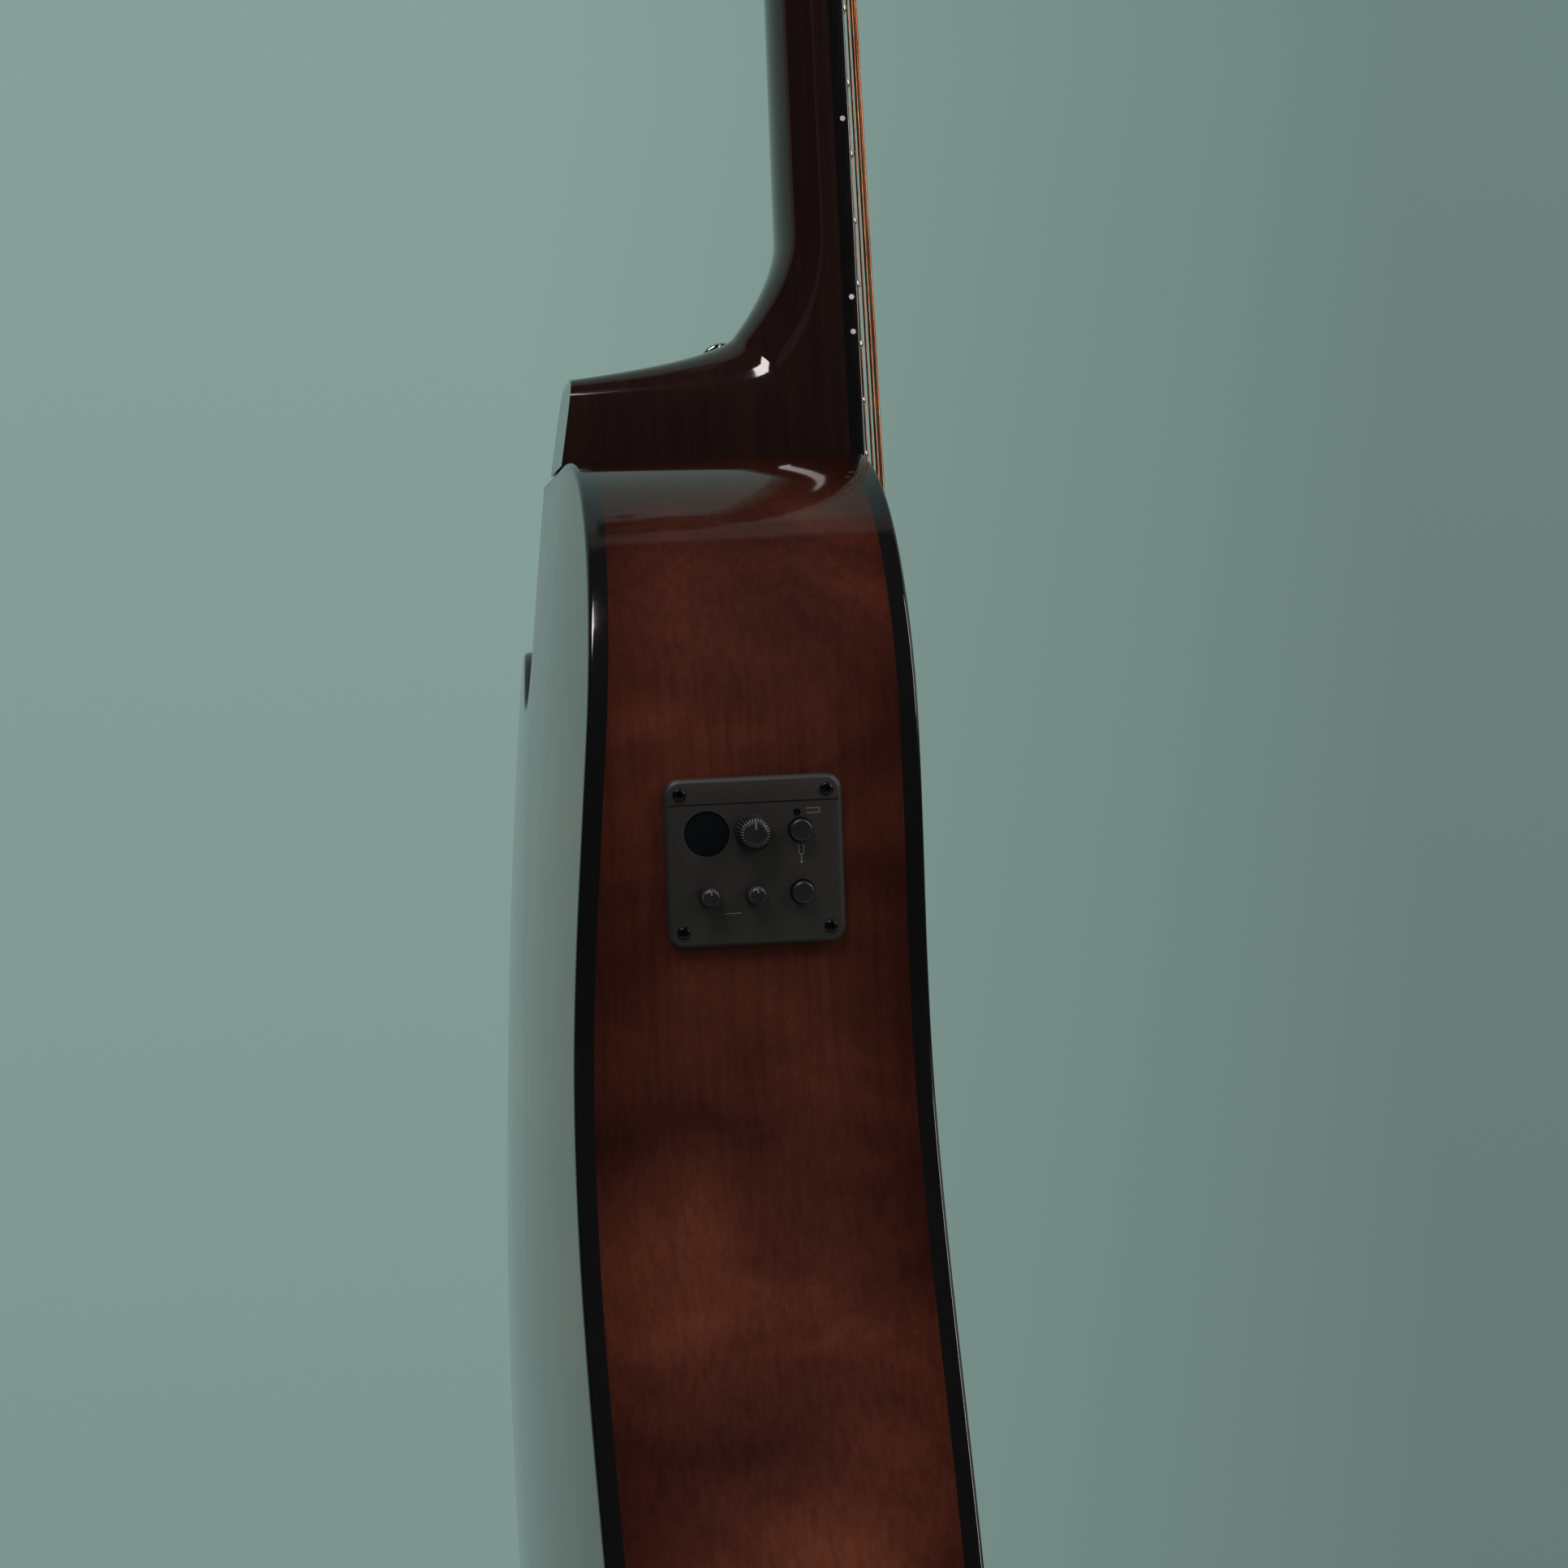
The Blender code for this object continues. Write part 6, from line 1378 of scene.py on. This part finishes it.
def stroke(name, points, paint, width=MARK_LINE):
    """A thin printed line on the panel through (x, y) points."""
    spots = [Vector((x, y, 0)) for x, y in points]
    rings = []
    for here, spot in enumerate(spots):
        run = (spots[min(here + 1, len(spots) - 1)] - spots[max(here - 1, 0)]).normalized()
        across = Vector((-run.y, run.x, 0)) * width / 2
        ring = []
        for side, rise in ((1, 0), (1, MARK_RISE), (-1, MARK_RISE), (-1, 0)):
            ring.append(spot + across * side + Vector((0, 0, PANEL_TOP - MARK_SINK + rise)))
        rings.append(ring)
    return hug(piece(name, on_panel(loft(name, rings)), paint), [])


def arc(centre, radius, start, end, steps=12):
    angles = [math.radians(start + (end - start) * step / steps) for step in range(steps + 1)]
    return [tuple(Vector(centre) + Vector(polar(radius, angle))) for angle in angles]


def make_marks(paint):
    """Plain generic marks: a tuning fork, a battery outline and the tone knobs' joining line."""
    left, middle, right = CONTROL_COLUMNS
    top = CONTROL_ROW_UPPER - BUTTON_DIAMETER / 2 - 0.9 * MM
    prong = 0.75 * MM
    fork = [(right - prong, top), (right - prong, top - 2.2 * MM)]
    fork += arc((right, top - 2.2 * MM), prong, 180, 360)
    fork += [(right + prong, top)]
    stroke("fork_mark", fork, paint)
    stroke("fork_stem", [(right, top - 2.9 * MM), (right, top - 4.9 * MM)], paint)
    stroke("fork_foot", arc((right, top - 5.2 * MM), 0.22 * MM, 0, 360, 16), paint, 0.3 * MM)
    x = right + 3.6 * MM
    y = CONTROL_ROW_UPPER + 5.6 * MM
    near = x - 1.6 * MM
    far = x + 2.2 * MM
    half = 0.7 * MM
    cell = [(far, y - half), (near, y - half), (near, y + half), (far, y + half)]
    stroke("battery_mark", cell, paint, FINE_LINE)
    stroke("battery_end", [(far, y - 0.8 * MM), (far, y + 0.8 * MM)], paint, FINE_LINE)
    row = CONTROL_ROW_LOWER - 5.4 * MM
    stroke("tone_line", [(left + 4.6 * MM, row), (middle - 4.4 * MM, row)], paint, FINE_LINE)


def add_mesh(obj, mesh):
    """The object's mesh gains another closed one, which is then removed."""
    bm = bmesh.new()
    bm.from_mesh(obj.data)
    bm.from_mesh(mesh)
    bm.to_mesh(obj.data)
    bm.free()
    bpy.data.meshes.remove(mesh)


def join(name, meshes, finish=plain_mesh):
    """One mesh of several closed ones, which are removed."""
    bm = bmesh.new()
    for mesh in meshes:
        bm.from_mesh(mesh)
        bpy.data.meshes.remove(mesh)
    return finish(name, bm)


def along_y(name, profile, centre=(0, 0, 0), sides=40):
    """A turned shape about the post's axis, its heights measured out of the front face."""
    return lathe(name, profile, centre, (0, -1, 0), sides)


def tuner_frame(side, along):
    """X out to the button, Y backwards, Z along the headstock."""
    frame = HEADSTOCK @ Matrix.Translation((side * TUNER_POST_X, 0, along))
    if side < 0:
        frame = frame @ Matrix.Rotation(math.pi, 4, "Y")
    return frame


def button_mesh(edge):
    """The flattened oval tuner button, waisted at its root and rounded at its end."""
    length, thick, width = TUNER_BUTTON
    rings = []
    stations = (
        (0, 0.36, 0.62), (0.05, 0.46, 0.74), (0.14, 0.66, 0.90), (0.28, 0.86, 0.99), (0.48, 0.97, 1.0),
        (0.70, 1.0, 0.95), (0.84, 0.96, 0.84), (0.93, 0.86, 0.68), (0.98, 0.70, 0.50), (1.0, 0.48, 0.30),
    )
    for share, size, depth in stations:
        ring = []
        for angle in turns(36):
            across = math.copysign(abs(math.cos(angle)) ** 0.8, math.cos(angle))
            y = depth * thick / 2 * math.copysign(abs(math.sin(angle)) ** 0.85, math.sin(angle))
            ring.append((edge + length * share, y, size * width / 2 * across))
        rings.append(ring)
    return loft("button", rings)


def make_tuner(index, side, along, paint):
    """One machine: rounded housing, collar nut, post with its eye, and button on its shaft."""
    frame = tuner_frame(side, along)
    face = HEADSTOCK_THICKNESS + GLUE_GAP
    middle = face + TUNER_HOUSING[1] / 2
    reach = WORM_OFFSET * side
    make_housing(index, side, frame, face, paint)
    make_post(index, frame, middle, paint)
    make_key(index, frame @ Matrix.Translation((0, middle, reach)), paint)


def make_housing(index, side, frame, face, paint):
    """The rounded gear case, its collar nut on the headstock's face and its gear screw."""
    wide, deep, tall = TUNER_HOUSING
    middle = face + deep / 2
    reach = WORM_OFFSET * side
    shift = Matrix.Translation((0, middle, HOUSING_SHIFT * side))
    housing = piece("tuner_%d_case" % index, box_mesh("case", TUNER_HOUSING, shift), paint)
    bevel(housing, 2.2 * MM, 5, 50)
    bake(housing)
    inside = (wide - 2 * TUNER_WALL, deep - 2 * TUNER_WALL, tall - 2 * TUNER_WALL)
    cut(housing, [box_mesh("inside", inside, shift)])
    bore = TUNER_POST_DIAMETER + 2 * TURN_GAP
    holes = [
        rod_mesh("post_bore", (0, face - 5 * MM, 0), (0, middle, 0), bore),
        rod_mesh("shaft_bore", (0, middle, reach), (wide, middle, reach), TUNER_SHAFT + 2 * TURN_GAP),
    ]
    cut(housing, holes)
    inner = bore / 2
    outer = TUNER_BUSH_DIAMETER / 2
    rim = TUNER_COLLAR_DIAMETER / 2
    high = TUNER_COLLAR_HEIGHT
    profile = (
        (inner, -face - 0.5 * MM), (outer, -face - 0.5 * MM), (outer, SEAM), (rim, SEAM), (rim, 0.55 * MM),
        (rim - 0.25 * MM, 0.75 * MM), (outer + 0.9 * MM, 0.8 * MM), (outer + 0.85 * MM, high - 0.3 * MM),
        (outer + 0.5 * MM, high), (inner + 0.3 * MM, high), (inner, high - 0.25 * MM),
    )
    collar = piece("tuner_%d_collar" % index, ring_mesh("collar", profile), paint)
    profile = ((2.6 * MM, 0), (2.6 * MM, 0.5 * MM), (2.2 * MM, 0.9 * MM), (0.4 * MM, 1.0 * MM))
    screw = along_y("screw", profile, sides=28)
    screw.transform(Matrix.Translation((0, face + deep - 0.15 * MM, 0)) @ Matrix.Rotation(math.pi, 4, "X"))
    head = piece("tuner_%d_screw" % index, screw, paint)
    place = Matrix.Translation((0, face + deep + 0.95 * MM, 0))
    cut(head, [box_mesh("slot", (6 * MM, 0.9 * MM, 0.7 * MM), place)])
    for obj in (housing, collar, head):
        obj.data.transform(frame)
        finish_piece(obj, paint, 40)
    hug(housing, ["tuner_%d_housing" % index])
    hug(collar, [])
    hug(head, [])


def make_post(index, frame, middle, paint):
    """The string post with its waist and its eye, and the gear wheel on its foot."""
    radius = TUNER_POST_DIAMETER / 2
    height = TUNER_POST_HEIGHT
    profile = (
        (radius, -middle), (radius, WIND_TOP - 8 * MM), (radius - 0.25 * MM, WIND_TOP - 6 * MM),
        (radius - 0.25 * MM, WIND_TOP + 1.5 * MM), (radius, WIND_TOP + 3 * MM), (radius, height - 0.8 * MM),
        (radius - 0.6 * MM, height - 0.15 * MM), (radius - 1.2 * MM, height), (1.1 * MM, height),
        (0.9 * MM, height - 0.6 * MM),
    )
    post = piece("tuner_%d_spindle" % index, along_y("post", profile), paint)
    eye = WIND_TOP + 4 * MM
    cut(post, [rod_mesh("eye", (-10 * MM, -eye, 0), (10 * MM, -eye, 0), 1.8 * MM, 20)])
    add_mesh(post, gear_mesh(middle))
    post.data.transform(frame)
    finish_piece(post, paint, 35)
    hug(post, ["tuner_%d_post" % index], "tuner_%d_post" % index)


def make_key(index, place, paint):
    """The worm's shaft with the button and its end cap."""
    edge = HEADSTOCK_WIDTH / 2 - TUNER_POST_X + TUNER_BUTTON_GAP
    half = TUNER_HOUSING[0] / 2 - TUNER_WALL - TURN_GAP
    worm = TUNER_WORM_DIAMETER / 2
    shaft = TUNER_SHAFT / 2
    profile = [(shaft, -half), (shaft, -half + 1 * MM), (worm, -half + 1 * MM), (worm, half - 1 * MM)]
    profile += [(shaft, half - 1 * MM), (shaft, edge - 4 * MM), (2.7 * MM, edge - 3.6 * MM)]
    profile += [(3.0 * MM, edge - 3 * MM), (2.5 * MM, edge - 1.6 * MM), (3.4 * MM, edge + 0.3 * MM)]
    mesh = lathe("shaft", profile, (0, 0, 0), ALONG_X, 32)
    end = edge + TUNER_BUTTON[0]
    cap = [(radius, end + rise) for radius, rise in BUTTON_CAP]
    mesh = join("knob", [mesh, button_mesh(edge), lathe("cap", cap, (0, 0, 0), ALONG_X, 28)])
    mesh.transform(place)
    knob = piece("tuner_%d_key" % index, mesh, paint, 40)
    hug(knob, ["tuner_%d_knob" % index], "tuner_%d_knob" % index)


def ring_mesh(name, profile):
    """A turned ring with an open middle."""
    rings = [[(r * math.cos(turn), -h, r * math.sin(turn)) for r, h in profile] for turn in turns(48)]
    return loft(name, rings, closed=True)


def gear_mesh(middle):
    """The wheel at the foot of the post."""
    rings = []
    for depth in (middle - TUNER_GEAR_THICKNESS / 2, middle + TUNER_GEAR_THICKNESS / 2):
        ring = []
        for tooth in range(TUNER_GEAR_TEETH * 2):
            angle = math.pi * (tooth + 0.5) / TUNER_GEAR_TEETH
            radius = TUNER_GEAR_DIAMETER / 2 - (0 if tooth % 2 else 1.1 * MM)
            ring.append((radius * math.cos(angle), depth, radius * math.sin(angle)))
        rings.append(ring)
    return loft("gear", rings)


def make_strap_button(paints):
    """The flared chrome button on the heel, with its screw."""
    axis = Vector(STRAP_AXIS)
    seat = Vector(STRAP_FACE) - axis * STRAP_BUTTON_LENGTH
    radius = STRAP_BUTTON_DIAMETER / 2
    length = STRAP_BUTTON_LENGTH
    profile = round_off(
        (
            (radius * 0.72, 0), (radius * 0.72, length * 0.08), (radius * 0.45, length * 0.3),
            (radius * 0.45, length * 0.6), (radius, length * 0.82), (radius, length * 0.95),
            (radius * 0.8, length), (radius * 0.3, length),
        ),
        6,
        0.4,
    )
    button = piece("strap_peg", lathe("peg", profile, seat, axis, 64), paints["chrome"], 50)
    hug(button, ["strap_button"])
    top = length - 0.1 * MM
    dome = ((2.6 * MM, -0.4 * MM), (2.5 * MM, 0.1 * MM), (1.6 * MM, 0.5 * MM), (0.2 * MM, 0.6 * MM))
    profile = [(radius, top + rise) for radius, rise in dome]
    screw = piece("strap_peg_screw", lathe("screw", profile, sides=32), paints["steel"], 40)
    for arm in ((3 * MM, 0.6 * MM, 0.8 * MM), (0.6 * MM, 3 * MM, 0.8 * MM)):
        cut(screw, [box_mesh("arm", arm, Matrix.Translation((0, 0, top + 0.5 * MM)))])
    screw.data.transform(Matrix.Translation(seat) @ toward(axis))
    finish_piece(screw, paints["steel"], 40)
    hug(screw, [])


def make_jack(paints):
    """The endpin jack: barrel, strap flange and hollow plug bore."""
    flange = JACK_FLANGE_DIAMETER / 2
    barrel = JACK_BARREL_DIAMETER / 2
    bore = JACK_BORE_DIAMETER / 2
    inner = TAIL_BLOCK_LENGTH + 18 * MM
    outside = round_off(
        (
            (barrel, -inner), (barrel, GLUE_GAP), (barrel + 2 * MM, GLUE_GAP),
            (barrel + 1 * MM, JACK_LENGTH * 0.3), (barrel + 0.6 * MM, JACK_LENGTH * 0.6),
            (flange, JACK_LENGTH * 0.78), (flange, JACK_LENGTH * 0.92), (flange - 1.2 * MM, JACK_LENGTH),
            (bore + 0.5 * MM, JACK_LENGTH), (bore, JACK_LENGTH - 0.6 * MM), (bore, -inner + 4 * MM),
        ),
        5,
        0.35,
    )
    rings = []
    for turn in turns(56):
        rings.append([(r * math.cos(turn), JACK_Y + r * math.sin(turn), -TAIL - h) for r, h in outside])
    mesh = loft("jack", rings, closed=True)
    jack = piece("endpin", mesh, paints["chrome"], 50)
    hug(jack, ["endpin_jack"])


def pin_z(number):
    return -saddle_distance(string_x(number, SCALE_LENGTH)) - PIN_BEHIND_SADDLE


def make_bridge_pins(paints):
    """Domed pin heads with their dots, over the bridge's own."""
    for number in range(6):
        x = string_x(number, SCALE_LENGTH)
        z = pin_z(number)
        profile = (
            (PIN_HEAD - 0.4 * MM, -0.6 * MM), (PIN_HEAD, 0.3 * MM), (PIN_HEAD, 1.1 * MM),
            (PIN_HEAD * 0.94, 1.9 * MM), (PIN_HEAD * 0.78, 2.7 * MM),
            (PIN_HEAD * 0.5, PIN_HEIGHT - 0.15 * MM), (PIN_HEAD * 0.1, PIN_HEIGHT),
        )
        head = lathe("pin", round_off(profile, 3), (x, -BRIDGE_HEIGHT, z), (0, -1, 0), 36)
        hug(piece("pin_head_%d" % (number + 1), head, paints["guard"], 50), [])
        dot = [(radius, PIN_HEIGHT + rise) for radius, rise in PIN_DOT]
        mesh = lathe("dot", dot, (x, -BRIDGE_HEIGHT, z), (0, -1, 0), 24)
        hug(piece("pin_dot_%d" % (number + 1), mesh, paints["pearl"], 50), [])


def make_rosette(paints):
    """Thin inlaid rings round the soundhole, open under the fingerboard's end."""
    for index, (inner, outer, finish) in enumerate(ROSETTE_RINGS):
        rings = []
        steps = 120
        for step in range(steps + 1):
            angle = math.radians(ROSETTE_START + ROSETTE_SWEEP * step / steps)
            ring = []
            for radius, y in ((inner, 0.2 * MM), (inner, -0.03 * MM), (outer, -0.03 * MM), (outer, 0.2 * MM)):
                ring.append((radius * math.cos(angle), y, -HOLE_CENTRE + radius * math.sin(angle)))
            rings.append(ring)
        mesh = loft("ring", rings)
        hug(piece("rosette_%d" % (index + 1), mesh, paints[finish], 30), [])


def dress_nodes(paints):
    """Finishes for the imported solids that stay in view."""
    for finish, names in NODE_FINISHES.items():
        for name in names:
            node = frame["nodes"][name]
            node.data.materials.clear()
            node.data.materials.append(paints[finish])
    for name, width in NODE_BEVELS.items():
        bevel(frame["nodes"][name], width, 3, 30)


def make_world():
    """The studio: a pale backdrop all round, and a dark room that reflections see on the camera's side."""
    world = bpy.data.worlds.new("studio")
    bpy.context.scene.world = world
    world.use_nodes = True
    studio = Tree(world.node_tree)
    studio.tree.nodes.clear()
    way = studio.add("ShaderNodeTexCoord").outputs["Generated"]
    x, y, z = studio.split(way)
    flank = studio.math("ABSOLUTE", y)

    def between(value, low, high, start=0.0):
        """A straight rise from the start at the low end to 1 at the high end."""
        ends = {"Value": value, "From Min": low, "From Max": high, "To Min": start, "To Max": 1.0}
        return studio.add("ShaderNodeMapRange", ends).outputs[0]

    def above(value, level, soft=0.012):
        """A near-crisp edge, from 0 below the level to 1 above it."""
        return between(value, level - soft, level + soft)

    def below(value, level, soft=0.012):
        return studio.math("SUBTRACT", 1.0, above(value, level, soft))

    light = studio.math(
        "MULTIPLY",
        between(y, *BACKDROP_SIDE_SPAN, BACKDROP_SIDE_FALL),
        between(z, *BACKDROP_LOW_SPAN, BACKDROP_LOW_FALL),
    )
    backdrop = studio.mix(1.0, BACKDROP, light, "MULTIPLY")
    reach = studio.math("SUBTRACT", x, studio.math("MULTIPLY", flank, BACKDROP_SPREAD))
    room = studio.mix(below(z, STUDIO_FLOOR_LEVEL, 0.03), STUDIO_DARK, STUDIO_FLOOR)
    door = studio.math("MULTIPLY", above(y, DOOR_SPAN[0]), below(y, DOOR_SPAN[1]))
    room = studio.mix(studio.math("MULTIPLY", door, below(z, DOOR_TOP)), room, STUDIO_DOOR)
    room = studio.mix(above(reach, VEIL_EDGE, 0.02), room, STUDIO_VEIL)
    rays = studio.add("ShaderNodeLightPath").outputs
    pale = studio.math("MAXIMUM", above(reach, BACKDROP_EDGE), rays["Is Camera Ray"])
    seen = studio.mix(pale, room, backdrop)
    clear = studio.math("MAXIMUM", rays["Is Camera Ray"], rays["Is Glossy Ray"])
    clear = studio.math("MAXIMUM", clear, rays["Is Transmission Ray"])
    shine = studio.add("ShaderNodeBackground", {"Color": studio.mix(clear, AMBIENT, seen)}).outputs[0]
    studio.add("ShaderNodeOutputWorld", {"Surface": shine})


def make_floor(low):
    """A pale round floor just under the endpin, small enough to stay below the picture."""
    bm = bmesh.new()
    bmesh.ops.create_circle(bm, cap_ends=True, segments=160, radius=FLOOR_RADIUS)
    mesh = plain_mesh("floor", bm)
    floor = link("floor", mesh)
    floor.location = (0, 0, low - FLOOR_DROP)
    tones = ((0.3, (0.40, 0.48, 0.455)), (0.7, (0.44, 0.52, 0.495)))
    paint = noisy("floor_paper", (0.42, 0.50, 0.475), 0.75, 0, (3, 3, 3), (2,), tones)
    mesh.materials.append(paint.material)


def area_light(name, place, target, size, watts, colour, turn):
    data = bpy.data.lights.new(name, "AREA")
    data.shape = "RECTANGLE"
    data.size, data.size_y = size
    data.energy = watts
    data.color = colour
    lamp = link(name, data)
    lamp.location = place
    aim = Vector(target) - Vector(place)
    lamp.rotation_euler = (aim.to_track_quat("-Z", "Y") @ Quaternion((0, 0, 1), turn)).to_euler()


def make_lights():
    """Soft studio lamps. Those on the back's side of the camera stay out of the flat sides' reflections."""
    for name, place, target, size, watts, colour, turn in (
        ("edge_strip", (-0.75, -1.05, 0.24), (0, 0, -0.40), (0.14, 1.12), 8, (1, 0.93, 0.90), 0),
        ("heel_soft", (-0.905, 0.528, 0.81), (-0.02, 0.03, -0.33), (0.8, 0.32), 14.5, (1, 0.92, 0.88), 0.57),
        ("front_panel", (-0.2, -1.7, 0.27), (-0.2, 0, 0.27), (2.4, 1.34), 5.5, (1, 0.98, 0.96), 0),
    ):
        area_light(name, place, target, size, watts, colour, turn)


def make_camera():
    """The camera at the photograph's place and lens."""
    data = bpy.data.cameras.new("photo_camera")
    data.sensor_width = SENSOR
    data.lens = CAMERA_LENS
    data.clip_start = 0.01
    level = math.cos(CAMERA_PITCH)
    back = Vector((math.sin(CAMERA_YAW) * level, -math.cos(CAMERA_YAW) * level, math.sin(CAMERA_PITCH)))
    right = Vector((0, 0, 1)).cross(back).normalized()
    up = back.cross(right)
    turned = math.cos(CAMERA_ROLL) * right + math.sin(CAMERA_ROLL) * up
    upright = -math.sin(CAMERA_ROLL) * right + math.cos(CAMERA_ROLL) * up
    camera = link("photo_camera", data)
    matrix = Matrix((turned, upright, back)).transposed().to_4x4()
    matrix.translation = CAMERA_PLACE
    camera.matrix_world = matrix
    bpy.context.scene.camera = camera


def build():
    """Everything in order: the camera, the pieces, then the stage."""
    make_camera()
    paints = make_paints()
    make_rims(paints)
    make_plates(paints)
    make_rosette(paints)
    make_neck(paints)
    make_fretboard(paints)
    make_strings(paints)
    make_bridge_pins(paints)
    make_panel(paints)
    for index, side, along in tuner_places():
        make_tuner(index, side, along, paints["chrome"])
    make_strap_button(paints)
    make_jack(paints)
    dress_nodes(paints)
    make_world()
    make_floor(CAD_BOX[0][2])
    make_lights()


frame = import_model()
CAD_BOX = [list(corner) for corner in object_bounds()]
bpy.context.scene.view_settings.view_transform = "Standard"
build()
